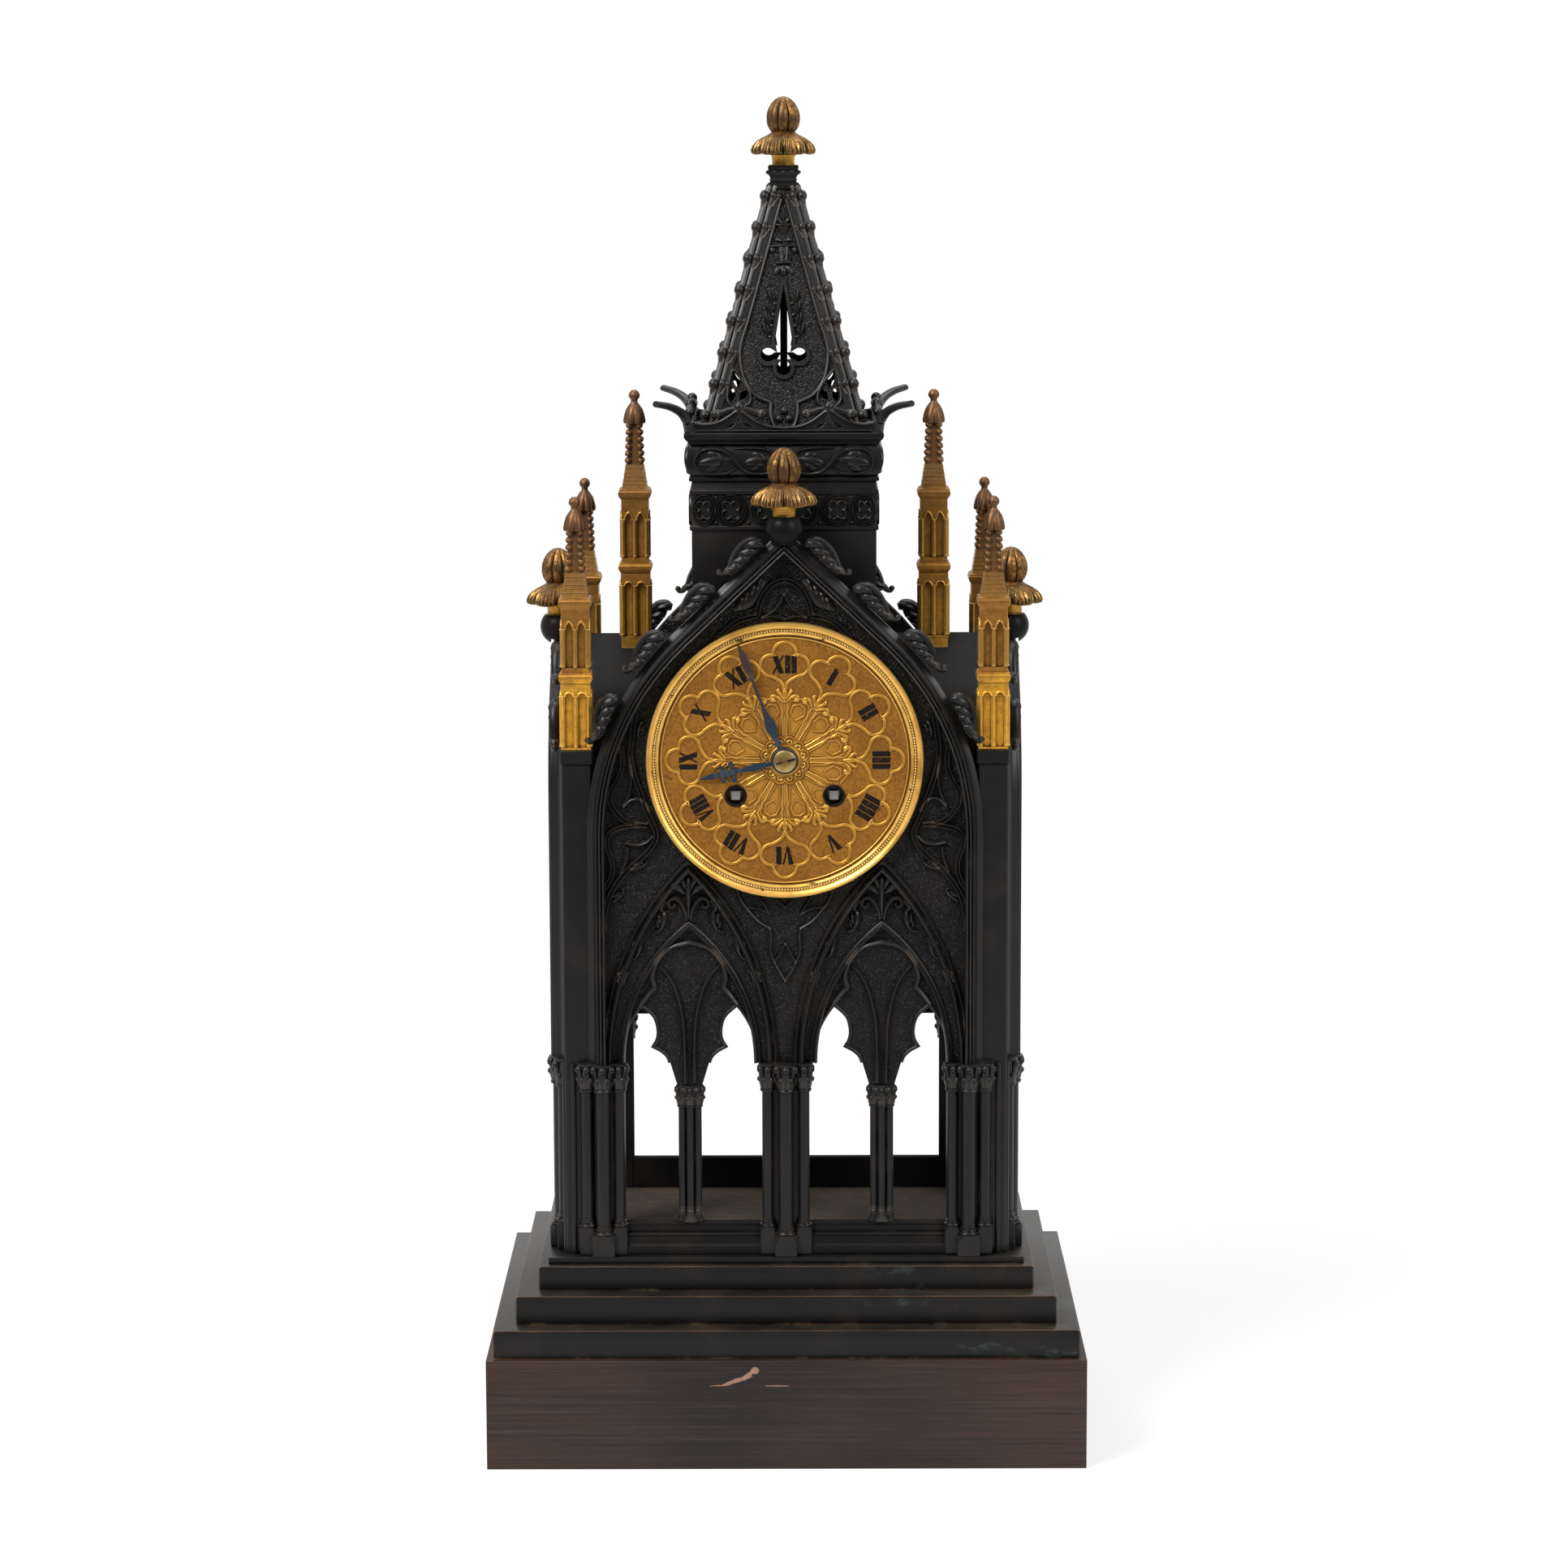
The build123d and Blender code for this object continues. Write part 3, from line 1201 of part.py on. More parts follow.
with BuildPart() as pin_wheel:
    arbor(pin_at, 0.8)
    pinion_of(pin_at, depth(4.5), depth(6.7), pin_leaves, second_module, second_at)
    wheel_drives(pin_at, depth(14.0), depth(15.2), pin_teeth, pin_module, fly_at)
    rod(pin_at, depth(13.2), depth(16.0), 2.2)
    for number in range(8):
        rod(from_point(pin_at, 6.9, number * pi / 4 + pi / 8), depth(12.0), depth(14.0), 0.4)
keep(pin_wheel.part, "pin_wheel")

with BuildPart() as fly:
    arbor(fly_at, 0.6)
    pinion_of(fly_at, depth(13.5), depth(15.7), fly_leaves, pin_module, pin_at)
    rod(fly_at, depth(2.5), depth(11.0), 1.1)
    block(fly_at[0] - 5.0, fly_at[0] + 5.0, depth(2.5), depth(11.0), dial_z + fly_at[1] - 0.3,
            dial_z + fly_at[1] + 0.3)
keep(fly.part, "fly")

head_at = from_point(centre_at, bell_radius + 3.6, radians(215))
tail_end = hypot(pin_at[0] - hammer_at[0], pin_at[1] - hammer_at[1]) - 8.0
with BuildPart() as hammer:
    rod(hammer_at, plate_front + 0.2, plate_inner + end_shake, pivot_radius)
    rod(hammer_at, plate_inner + end_shake, back_face + 2.0, 1.1)
    toward = bearing(hammer_at, pin_at)
    with BuildSketch(Plane(origin=(hammer_at[0], depth(12.0), dial_z + hammer_at[1]),
            x_dir=(cos(toward), 0, sin(toward)),
                           z_dir=(0, -1, 0))):
        Circle(2.0)
        with Locations((tail_end / 2, 0)):
            Rectangle(tail_end, 1.4)
    extrude(amount=-1.2)
    toward = bearing(hammer_at, head_at)
    reach = hypot(head_at[0] - hammer_at[0], head_at[1] - hammer_at[1])
    with BuildSketch(Plane(origin=(hammer_at[0], back_face + 0.4, dial_z + hammer_at[1]),
                           x_dir=(cos(toward), 0, sin(toward)), z_dir=(0, -1, 0))):
        Circle(2.2)
        with Locations((reach / 2, 0)):
            Rectangle(reach, 1.8)
        with Locations((reach, 0)):
            Circle(1.6)
    extrude(amount=-1.4)
    rod(head_at, back_face + 0.4, back_face + bell_setback + 4.5, 1.2)
    rod(head_at, back_face + bell_setback + 0.2, back_face + bell_setback + 4.5, 3.0)
keep(hammer.part, "hammer")

bell_rim = back_face + bell_setback
with BuildPart() as bell:
    ringed(centre_at, [
        (bell_radius, bell_rim), (bell_radius - 0.6, bell_rim + 4.0), (bell_radius - 4.0, bell_rim + 9.5),
        (bell_radius - 12.0, bell_rim + 13.6), (10.0, bell_rim + 15.4), (2.0, bell_rim + 15.6),
        (2.0, bell_rim + 14.0),
        (10.0, bell_rim + 13.8), (bell_radius - 12.6, bell_rim + 12.0), (bell_radius - 5.2, bell_rim + 8.4),
        (bell_radius - 2.2, bell_rim + 3.6), (bell_radius - 1.6, bell_rim)])
keep(bell.part, "bell")

post_at = from_point(centre_at, bell_radius + 5.0, radians(238))
stand_back = bell_rim + 15.7
with BuildPart() as bell_stand:
    rod(post_at, back_face, stand_back + 2.5, 2.0)
    rod(post_at, back_face, back_face + 1.5, 3.4)
    toward = bearing(post_at, centre_at)
    with BuildSketch(Plane(origin=(post_at[0], stand_back, dial_z + post_at[1]),
            x_dir=(cos(toward), 0, sin(toward)),
                           z_dir=(0, -1, 0))):
        Circle(3.0)
        with Locations(((bell_radius + 5.0) / 2, 0)):
            Rectangle(bell_radius + 5.0, 4.0)
        with Locations((bell_radius + 5.0, 0)):
            Circle(4.0)
    extrude(amount=-2.5)
    rod(centre_at, bell_rim + 12.2, stand_back, 1.9)
    rod(centre_at, bell_rim + 12.2, bell_rim + 13.7, 4.0)
keep(bell_stand.part, "bell_stand")

# Straps from the bezel to the rear ring, and the hinged rear door
spigot_end = inner_depth - 0.6
with BuildPart() as movement_straps:
    for side in (-1, 1):
        x0, x1 = sorted((side * (flange_inner + 0.1), side * (flange_inner + 1.6)))
        block(x0, x1, wall_face + flange_depth, spigot_end, dial_z - 5.0, dial_z + 5.0)
keep(movement_straps.part, "movement_straps")

ring_face = half_depth + 2.2
hinge_x = hole_radius + 1.5
hinge_y = ring_face + 2.2
knuckle_radius = 1.5
pin_radius = 0.7
tab_half = 4.0
with BuildPart() as rear_ring:
    ringed(centre_at, [
        (flange_inner, spigot_end), (hole_radius - flange_gap, spigot_end),
        (hole_radius - flange_gap, half_depth),
        (52.0, half_depth), (52.0, ring_face - 0.6), (51.4, ring_face), (flange_inner, ring_face)])
    for z0, z1 in ((-9.0, -tab_half - 0.3), (tab_half + 0.3, 9.0)):
        block(hinge_x - knuckle_radius, hinge_x + knuckle_radius, ring_face, hinge_y, dial_z + z0,
                dial_z + z1)
        upright(hinge_x, hinge_y, dial_z + z0, dial_z + z1, knuckle_radius)
    upright(hinge_x, hinge_y, dial_z - 9.0, dial_z + 9.0, pin_radius)
keep(rear_ring.part, "rear_ring")

with BuildPart() as rear_door:
    rod(centre_at, ring_face - 1.6, ring_face + 0.2, flange_inner - 0.3)
    block(hinge_x - 9.0, hinge_x, ring_face + 0.2, ring_face + 1.4, dial_z - tab_half, dial_z + tab_half)
    upright(hinge_x, hinge_y, dial_z - tab_half, dial_z + tab_half, knuckle_radius)
    rod((-36.0, 0), ring_face + 0.2, ring_face + 4.0, 2.0)
    rod((-36.0, 0), ring_face + 4.0, ring_face + 7.0, 3.4)
    upright(hinge_x, hinge_y, dial_z - tab_half, dial_z + tab_half, pin_radius + running, Mode.SUBTRACT)
keep(rear_door.part, "rear_door")
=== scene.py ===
import json
import math
import bmesh
import bpy
import numpy as np
from mathutils import Euler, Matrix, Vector

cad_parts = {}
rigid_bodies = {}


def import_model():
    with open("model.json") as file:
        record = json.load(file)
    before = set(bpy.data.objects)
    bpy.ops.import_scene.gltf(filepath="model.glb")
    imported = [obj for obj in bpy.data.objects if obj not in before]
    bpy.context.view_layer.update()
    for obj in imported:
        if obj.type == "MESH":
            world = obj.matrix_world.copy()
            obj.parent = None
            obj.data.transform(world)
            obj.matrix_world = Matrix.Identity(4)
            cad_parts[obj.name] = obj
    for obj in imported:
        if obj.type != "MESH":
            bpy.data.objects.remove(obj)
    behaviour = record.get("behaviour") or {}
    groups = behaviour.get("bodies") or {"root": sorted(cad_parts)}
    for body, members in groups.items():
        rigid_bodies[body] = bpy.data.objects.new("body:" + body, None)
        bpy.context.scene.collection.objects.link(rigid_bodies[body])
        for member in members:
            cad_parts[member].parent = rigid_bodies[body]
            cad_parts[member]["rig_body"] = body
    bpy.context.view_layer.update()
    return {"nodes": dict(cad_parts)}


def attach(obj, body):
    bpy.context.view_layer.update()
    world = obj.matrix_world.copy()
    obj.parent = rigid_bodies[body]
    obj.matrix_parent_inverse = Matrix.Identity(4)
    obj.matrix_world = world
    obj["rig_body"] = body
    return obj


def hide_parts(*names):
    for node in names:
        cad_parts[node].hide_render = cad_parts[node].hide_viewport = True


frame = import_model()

mm = 0.001
scene = bpy.context.scene
scene.view_settings.view_transform = "Standard"

# Camera at the photograph's place, a long lens a little above the dial
shot = {
    "place": (5.0, -1746.2, 524.2),
    "turn": (81.273, 0.178, 0.152),
    "focal": 5500.0,          # in pixels of the frame
    "frame": 1932.0,
    "sensor": 36.0,
}
cameraData = bpy.data.cameras.new("studioCamera")
cameraData.sensor_width = shot["sensor"]
cameraData.lens = shot["sensor"] * shot["focal"] / shot["frame"]
cameraData.clip_start = 0.05
camera = bpy.data.objects.new("studioCamera", cameraData)
camera.location = Vector(shot["place"]) * mm
camera.rotation_euler = Euler([math.radians(a) for a in shot["turn"]])
scene.collection.objects.link(camera)
scene.camera = camera
print("camera set")


# Shader maths: a wrapped socket, and the finish whose nodes it belongs to
class Value:
    def __init__(self, finish, socket):
        self.finish = finish
        self.socket = socket

    def joined(self, other, operation, flip=False):
        pair = (other, self) if flip else (self, other)
        return self.finish.node("ShaderNodeMath", {"operation": operation}, {0: pair[0], 1: pair[1]})

    def __add__(self, other):
        return self.joined(other, "ADD")

    def __sub__(self, other):
        return self.joined(other, "SUBTRACT")

    def __rsub__(self, other):
        return self.joined(other, "SUBTRACT", True)

    def __mul__(self, other):
        return self.joined(other, "MULTIPLY")

    def __truediv__(self, other):
        return self.joined(other, "DIVIDE")

    def __pow__(self, other):
        return self.joined(other, "POWER")

    __radd__ = __add__
    __rmul__ = __mul__


class Finish:
    def __init__(self, name, tree=None):
        if tree is None:
            self.material = bpy.data.materials.new(name)
            self.material.use_nodes = True
            tree = self.material.node_tree
        self.tree = tree
        self.tree.nodes.clear()

    def node(self, kind, settings=None, inputs=None, out=0):
        made = self.tree.nodes.new(kind)
        for key, value in (settings or {}).items():
            setattr(made, key, value)
        for key, value in (inputs or {}).items():
            if isinstance(value, Value):
                self.tree.links.new(value.socket, made.inputs[key])
            else:
                made.inputs[key].default_value = value
        return Value(self, made.outputs[out]) if len(made.outputs) else None

    def place(self, stretch=(1, 1, 1)):
        where = self.node("ShaderNodeTexCoord", out="Object")
        if stretch == (1, 1, 1):
            return where
        return self.node("ShaderNodeVectorMath", {"operation": "MULTIPLY"}, {0: where, 1: stretch})

    def noise(self, scale, detail=4.0, rough=0.55, stretch=(1, 1, 1)):
        inputs = {"Vector": self.place(stretch), "Scale": scale, "Detail": detail, "Roughness": rough}
        return self.node("ShaderNodeTexNoise", None, inputs, "Fac")

    def pebbles(self, scale):    # distance from the edge of each pebble
        inputs = {"Vector": self.place(), "Scale": scale}
        return self.node("ShaderNodeTexVoronoi", {"feature": "DISTANCE_TO_EDGE"}, inputs, "Distance")

    def between(self, value, low, high):
        inputs = {0: value, 1: low, 2: high, 3: 0.0, 4: 1.0}
        return self.node("ShaderNodeMapRange", {"clamp": True, "interpolation_type": "SMOOTHSTEP"}, inputs)

    def axis(self, name):
        return self.node("ShaderNodeSeparateXYZ", None, {0: self.place()}, name)

    def distance(self, spot):
        return self.node("ShaderNodeVectorMath", {"operation": "DISTANCE"},
                         {0: self.place(), 1: spot}, "Value")

    def ray(self, name):
        return self.node("ShaderNodeLightPath", out="Is " + name + " Ray")

    def facing(self, name):
        normal = self.node("ShaderNodeNewGeometry", out="Normal")
        return self.node("ShaderNodeSeparateXYZ", None, {0: normal}, name)

    def blend(self, first, second, amount):
        settings = {"data_type": "RGBA"}
        first = first if isinstance(first, Value) else (*first, 1.0)
        second = second if isinstance(second, Value) else (*second, 1.0)
        return self.node("ShaderNodeMix", settings, {0: amount, 6: first, 7: second}, 2)

    def lay(self, over, amount):    # one more coat over the colour so far
        self.colour = self.blend(self.colour, over, amount)

    def edges(self, reach, samples=5):    # near 1 on convex arrises
        settings = {"inside": True, "samples": samples}
        return 1 - self.node("ShaderNodeAmbientOcclusion", settings, {"Distance": reach * mm}, "AO")

    def hollows(self, reach, samples=5):    # near 1 deep in recesses
        return 1 - self.node("ShaderNodeAmbientOcclusion", {"samples": samples},
                             {"Distance": reach * mm}, "AO")

    def bump(self, height, depth):
        return self.node("ShaderNodeBump", None, {"Height": height, "Distance": depth * mm, "Strength": 1.0})

    def surface(self, **inputs):
        names = {"rough": "Roughness", "metal": "Metallic", "normal": "Normal", "shine": "Specular IOR Level"}
        sockets = {"Base Color": self.colour}
        sockets.update({names[key]: value for key, value in inputs.items()})
        shader = self.node("ShaderNodeBsdfPrincipled", None, sockets)
        self.node("ShaderNodeOutputMaterial", None, {"Surface": shader})
        return self.material


# Finishes
stippleScale = 1000.0    # pebbles per metre of the matted grounds
bronze = {
    "dark": (0.0058, 0.0055, 0.0056),
    "brown": (0.0132, 0.0097, 0.0081),
    "paintedShade": (0.0014, 0.0013, 0.0013),
    "wearAndHighlight": (0.0120, 0.0108, 0.0100),
    "worn": (0.075, 0.062, 0.049),
    "dust": (0.150, 0.116, 0.076),
    "copper": (0.30, 0.150, 0.070),
    "verdigris": (0.036, 0.054, 0.041),
    "cloudScale": 38.0, "grainScale": 420.0, "dustScale": 75.0, "patchScale": 30.0,    # per metre
    "recess": 2.4,    # depth over which recesses get painted shade, in millimetres
    "pebbleDepth": 0.17,
}


def patinatedBronze(name, stipple=0.0, wear=1.0, dust=1.0, copper=0.0, green=0.0, shine=0.30, reach=0.5,
                    mattTop=0.0, paintedShade=0.9, tread=0.05):
    f = Finish(name)
    cloud = f.noise(bronze["cloudScale"], 5.0, 0.6)
    fine = f.noise(bronze["grainScale"], 3.0, 0.6)
    f.colour = f.blend(bronze["dark"], bronze["brown"], f.between(cloud, 0.45, 0.75))
    convex = f.edges(reach, 6)
    wearAndHighlight = f.between(convex, 0.16, 0.55)
    # lighter on convex crests: partly wear, partly a painted highlight on rolls and ridges
    f.lay(bronze["wearAndHighlight"], wearAndHighlight * (0.75 * wear))
    deep = f.hollows(bronze["recess"], 6)
    # painted shade: recesses darkened towards black
    f.lay(bronze["paintedShade"], f.between(deep, 0.12, 0.50) * paintedShade)
    dustPatch = f.between(f.noise(bronze["dustScale"], 4.0, 0.65), 0.50, 0.62)
    dusty = f.between(deep * (0.45 + 1.1 * fine), 0.40, 0.62) * dustPatch
    f.lay(bronze["dust"], dusty * (0.55 * dust))
    top = f.between(f.facing("Z"), 0.55, 0.95) * f.between(0.35 * fine + 0.65 * cloud, 0.30, 0.80)
    f.lay(bronze["dust"], top * tread)
    arris = f.between(convex * (0.45 + 1.1 * fine), 0.46, 0.80)
    f.lay(bronze["worn"], arris * (0.50 * wear))
    if copper:
        bright = f.between(convex * (0.45 + 1.1 * cloud), 0.36, 0.60)
        f.lay(bronze["copper"], bright * copper)
    if green:
        patch = f.between(f.noise(bronze["patchScale"], 6.0, 0.7, (1, 1, 2.2)), 0.56, 0.68)
        patch = patch * f.between(f.axis("X"), 0.005, 0.06)    # on the right half alone
        f.lay(bronze["verdigris"], patch * green)
    rough = 0.31 + 0.14 * cloud + 0.25 * dusty - 0.05 * wearAndHighlight
    rough = rough + mattTop * f.between(f.facing("Z"), 0.5, 0.9)
    height = 0.035 * fine
    if stipple:
        pebble = f.between(f.pebbles(stippleScale), 0.0, 0.42)
        height = height + pebble * (bronze["pebbleDepth"] * stipple)
        # painted shade in the creases between the pebbles
        f.colour = f.blend(bronze["paintedShade"], f.colour, 0.45 + 0.55 * pebble)
    return f.surface(rough=rough, shine=shine, normal=f.bump(height, 1.0))


plinthLook = {
    "dark": (0.0125, 0.0090, 0.0083),
    "warm": (0.038, 0.0185, 0.0118),
    "line": (0.0070, 0.0062, 0.0066),
    "pale": (0.060, 0.037, 0.026),
    "edge": (0.16, 0.085, 0.05),
    "scrape": (0.30, 0.165, 0.115),
    # across, up, half length, half width and slope of each scrape
    "scrapeAt": ((-19.0, 35.4, 6.2, 1.0, 0.30), (-14.4, 37.8, 2.8, 1.15, 0.55), (-12.2, 39.3, 2.0, 1.6, 0.0),
                 (-3.6, 33.2, 5.6, 0.26, 0.0), (-25.5, 33.4, 4.4, 0.26, 0.05)),
}


def brushedPlinth():
    f = Finish("plinthBronze")
    streak = f.noise(9.0, 7.0, 0.72, (1.0, 1.0, 46.0))
    hair = f.noise(16.0, 6.0, 0.75, (1.0, 1.0, 62.0))
    cloud = f.noise(11.0, 4.0, 0.55)
    side = f.between((f.axis("X") ** 2.0) * 100.0, 0.02, 1.1)
    warmth = f.between(cloud * 0.7 + streak * 0.50 + side * 0.25, 0.44, 0.92)
    f.colour = f.blend(plinthLook["dark"], plinthLook["warm"], warmth)
    f.lay(plinthLook["line"], f.between(hair, 0.50, 0.66) * 0.75)
    f.lay(plinthLook["pale"], f.between(hair, 0.47, 0.34) * 0.35)
    speck = f.between(f.noise(900.0, 1.0, 0.3), 0.80, 0.86)
    f.lay(bronze["dust"], speck * 0.6)
    front = f.between(f.facing("Y") * -1.0, 0.8, 0.95)
    ragged = f.noise(620.0, 4.0, 0.7) * 1.6
    for across, up, length, width, slope in plinthLook["scrapeAt"]:
        along = (f.axis("X") - across * mm) / (length * mm)
        rise = (f.axis("Z") - up * mm) - (f.axis("X") - across * mm) * slope
        away = along * along + (rise / (width * mm)) ** 2.0
        bare = f.between(1.75 - away - ragged, 0.0, 0.5)
        f.lay(plinthLook["scrape"], bare * front * 0.8)
    arris = f.between(f.edges(0.7) * (0.5 + hair), 0.30, 0.7)
    f.lay(plinthLook["edge"], arris * 0.6)
    rough = 0.34 + 0.22 * streak
    height = streak * 0.03 + hair * 0.05
    return f.surface(rough=rough, shine=0.30, normal=f.bump(height, 1.0))


gilt = {
    "low": (0.58, 0.300, 0.038),
    "foot": (0.88, 0.450, 0.044),
    "middle": (0.400, 0.182, 0.030),
    "high": (0.150, 0.074, 0.032),
    "deep": (0.055, 0.022, 0.006),
    "bright": (0.95, 0.62, 0.18),
    "brown": (0.062, 0.032, 0.016),
    "necks": (326.0, 369.2, 500.9), "neckReach": 2.4,    # heights of the finials' necks
}


def giltBronze(name, brown=0.0, foot=None, rise=95.0, bright=0.5, rough=0.38, clean="low", necks=()):
    f = Finish(name)
    cloud = f.noise(150.0, 4.0, 0.6)
    fine = f.noise(900.0, 3.0, 0.6)
    f.colour = f.blend(gilt["middle"], gilt["low"], f.between(cloud, 0.35, 0.7))
    if foot is not None:    # tall pieces run from clean gilding at the foot to brown tops
        up = (f.axis("Z") - foot * mm) / (rise * mm)
        f.colour = f.blend(gilt[clean], gilt["middle"], f.between(up + 0.25 * cloud, 0.33, 0.48))
        f.lay(gilt["high"], f.between(up + 0.22 * cloud, 0.55, 1.0))
    f.lay(gilt["brown"], f.between(cloud * 0.5 + fine * 0.5, 0.32, 0.54) * brown)
    for neck in necks:    # finials keep bright gilding on their necks
        off = ((f.axis("Z") - neck * mm) / (gilt["neckReach"] * mm)) ** 2.0
        f.lay(gilt["foot"], f.between(off, 1.1, 0.6) * 0.55)
    grain = f.between(f.noise(420.0, 5.0, 0.7), 0.40, 0.66)
    f.lay(gilt["brown"], grain * 0.34)
    hollow = f.between(f.hollows(1.4, 6) * (0.6 + 0.8 * fine), 0.16, 0.56)
    # painted shade in the hollows
    f.lay(gilt["deep"], hollow * 0.92)
    arris = f.between(f.edges(0.6, 6) * (0.55 + 0.9 * fine), 0.26, 0.62)
    # brighter gold on the arrises: partly rubbed gilding, partly a painted highlight
    f.lay(gilt["bright"], arris * bright)
    height = fine * 0.6 + cloud * 0.4
    surfaceRough = rough + 0.18 * cloud + 0.15 * hollow - 0.14 * arris
    return f.surface(rough=surfaceRough, metal=0.75, normal=f.bump(height, 0.10))


dialLook = {
    "dull": (0.225, 0.086, 0.008),
    "clean": (0.350, 0.149, 0.016),
    "centre": (0.560, 0.275, 0.042),
    "stain": (0.060, 0.022, 0.007),
    "shade": (0.085, 0.030, 0.005),
    "line": (0.500, 0.245, 0.034),
    "gleam": (0.860, 0.530, 0.130),
}
dialMiddle = (0.0, -0.0545, 0.2732)    # where the hands turn, in metres


def matteDial():
    f = Finish("dialGilt")
    cloud = f.noise(55.0, 5.0, 0.6)
    grit = f.noise(1300.0, 3.0, 0.6)
    f.colour = f.blend(dialLook["dull"], dialLook["clean"], f.between(cloud * 0.35 + grit * 0.65, 0.40, 0.60))
    near = f.between(f.distance(dialMiddle) / mm + (cloud - 0.5) * 14.0, 30.0, 12.0)
    f.lay(dialLook["centre"], near * 0.75)
    stain = f.between(f.noise(260.0, 3.0, 0.6), 0.66, 0.74)
    f.lay(dialLook["stain"], stain * 0.55)
    hollow = f.between(f.hollows(0.9, 6), 0.10, 0.42)
    f.lay(dialLook["shade"], hollow * 0.85)
    return f.surface(rough=0.50 + 0.10 * cloud, metal=0.65, normal=f.bump(grit, 0.14))


def burnishedTracery():
    f = Finish("traceryGilt")
    cloud = f.noise(140.0, 4.0, 0.6)
    f.colour = f.blend(dialLook["line"], dialLook["clean"], f.between(cloud, 0.45, 0.70) * 0.6)
    crest = f.between(f.edges(0.5, 6) * (0.7 + 0.6 * cloud), 0.25, 0.75)
    f.lay(dialLook["gleam"], crest * 0.5)
    foot = f.between(f.hollows(0.5, 6), 0.30, 0.65)
    f.lay(dialLook["shade"], foot * 0.8)
    return f.surface(rough=0.34 + 0.15 * cloud, metal=0.70, normal=f.bump(cloud, 0.02))


bezelLook = {
    "dull": (0.62, 0.33, 0.060),
    "clean": (0.92, 0.56, 0.135),
    "speck": (0.045, 0.018, 0.006),
    "shade": (0.15, 0.060, 0.011),
    "gleam": (1.0, 0.74, 0.32),
}


def polishedBezel():
    f = Finish("bezelGilt")
    cloud = f.noise(80.0, 4.0, 0.6)
    speck = f.between(f.noise(330.0, 2.0, 0.5), 0.69, 0.73)
    f.colour = f.blend(bezelLook["dull"], bezelLook["clean"], f.between(cloud, 0.28, 0.55))
    hollow = f.between(f.hollows(1.7, 6), 0.14, 0.52)
    f.lay(bezelLook["shade"], hollow * 0.85)
    f.lay(bezelLook["gleam"], f.between(f.edges(0.6, 6), 0.25, 0.7) * 0.5)
    f.lay(bezelLook["speck"], speck * 0.85)
    rough = 0.32 + 0.10 * cloud + 0.15 * speck
    return f.surface(rough=rough, metal=0.75, normal=f.bump(f.noise(500.0, 3.0, 0.6), 0.02))


numeralLook = {"black": (0.0075, 0.0055, 0.0045), "chip": (0.26, 0.12, 0.026)}


def paintedBlack():
    f = Finish("numeralBlack")
    chip = f.between(f.noise(1100.0, 4.0, 0.65), 0.63, 0.70)
    f.colour = f.blend(numeralLook["black"], numeralLook["chip"], chip * 0.75)
    return f.surface(rough=0.60 + 0.2 * chip, shine=0.10)


handLook = {"blue": (0.024, 0.040, 0.062), "plum": (0.060, 0.036, 0.036),
            "edge": (0.10, 0.105, 0.125)}


def bluedSteel(name, root, tip):    # blue near the hub, turning plum from root to tip
    f = Finish(name)
    cloud = f.noise(120.0, 4.0, 0.6)
    plum = f.between(f.distance(dialMiddle) / mm + (cloud - 0.5) * 26.0, root, tip)
    f.colour = f.blend(handLook["blue"], handLook["plum"], plum)
    f.lay(handLook["edge"], f.between(f.edges(0.3), 0.35, 0.8) * 0.35)
    return f.surface(rough=0.34 + 0.2 * cloud, metal=0.55, normal=f.bump(cloud, 0.03))


def clockMetal(name, colour, dull, rough):
    f = Finish(name)
    cloud = f.noise(90.0, 4.0, 0.6)
    brush = f.noise(500.0, 4.0, 0.65)
    f.colour = f.blend(colour, dull, f.between(cloud * 0.7 + brush * 0.3, 0.40, 0.72))
    hollow = f.between(f.hollows(2.5), 0.3, 0.8)
    # painted shade in the hollows
    f.lay([c * 0.25 for c in dull], hollow * 0.6)
    rough = rough + 0.15 * brush + 0.1 * hollow
    return f.surface(rough=rough, metal=0.95, normal=f.bump(brush, 0.015))


arborLook = {"shank": (0.035, 0.033, 0.031), "end": (0.52, 0.50, 0.48)}


def arborSteel():    # grey shanks with bright square ends
    f = Finish("arborSteel")
    end = f.between(f.facing("Y") * -1.0, 0.8, 0.95)
    f.colour = f.blend(arborLook["shank"], arborLook["end"], end)
    return f.surface(rough=0.45 - 0.1 * end, metal=0.9)


def agedBoard(name, pale, dark, stretch):
    f = Finish(name)
    grain = f.noise(60.0, 6.0, 0.65, stretch)
    cloud = f.noise(25.0, 4.0, 0.6)
    f.colour = f.blend(dark, pale, f.between(grain * 0.6 + cloud * 0.5, 0.38, 0.75))
    corners = f.between(f.hollows(9.0), 0.35, 0.9)
    # painted shade in the corners
    f.lay([c * 0.22 for c in dark], corners * 0.8)
    return f.surface(rough=0.72 + 0.15 * cloud, shine=0.25, normal=f.bump(grain, 0.12))


plainBronze = patinatedBronze("patinatedBronze", wear=0.6, dust=0.3)
carvedBronze = patinatedBronze("carvedBronze", wear=0.8, dust=0.35, copper=0.04, shine=0.38, paintedShade=0.55)
leafBronze = patinatedBronze("leafBronze", wear=0.9, dust=0.25, shine=0.27, paintedShade=0.6)
groundBronze = patinatedBronze("stippledBronze", stipple=1.0, wear=0.4, dust=0.1, shine=0.20)
stepBronze = patinatedBronze("stepBronze", wear=0.6, dust=1.0, copper=1.0, green=0.75, shine=0.25, reach=1.2,
                             tread=0.24)
columnBronze = patinatedBronze("columnBronze", wear=0.45, dust=0.4, shine=0.33)
dadoBronze = patinatedBronze("dadoBronze", wear=0.5, dust=0.2, shine=0.12, mattTop=0.7)
sheetBronze = patinatedBronze("roofBronze", wear=0.5, dust=0.3, shine=0.09)
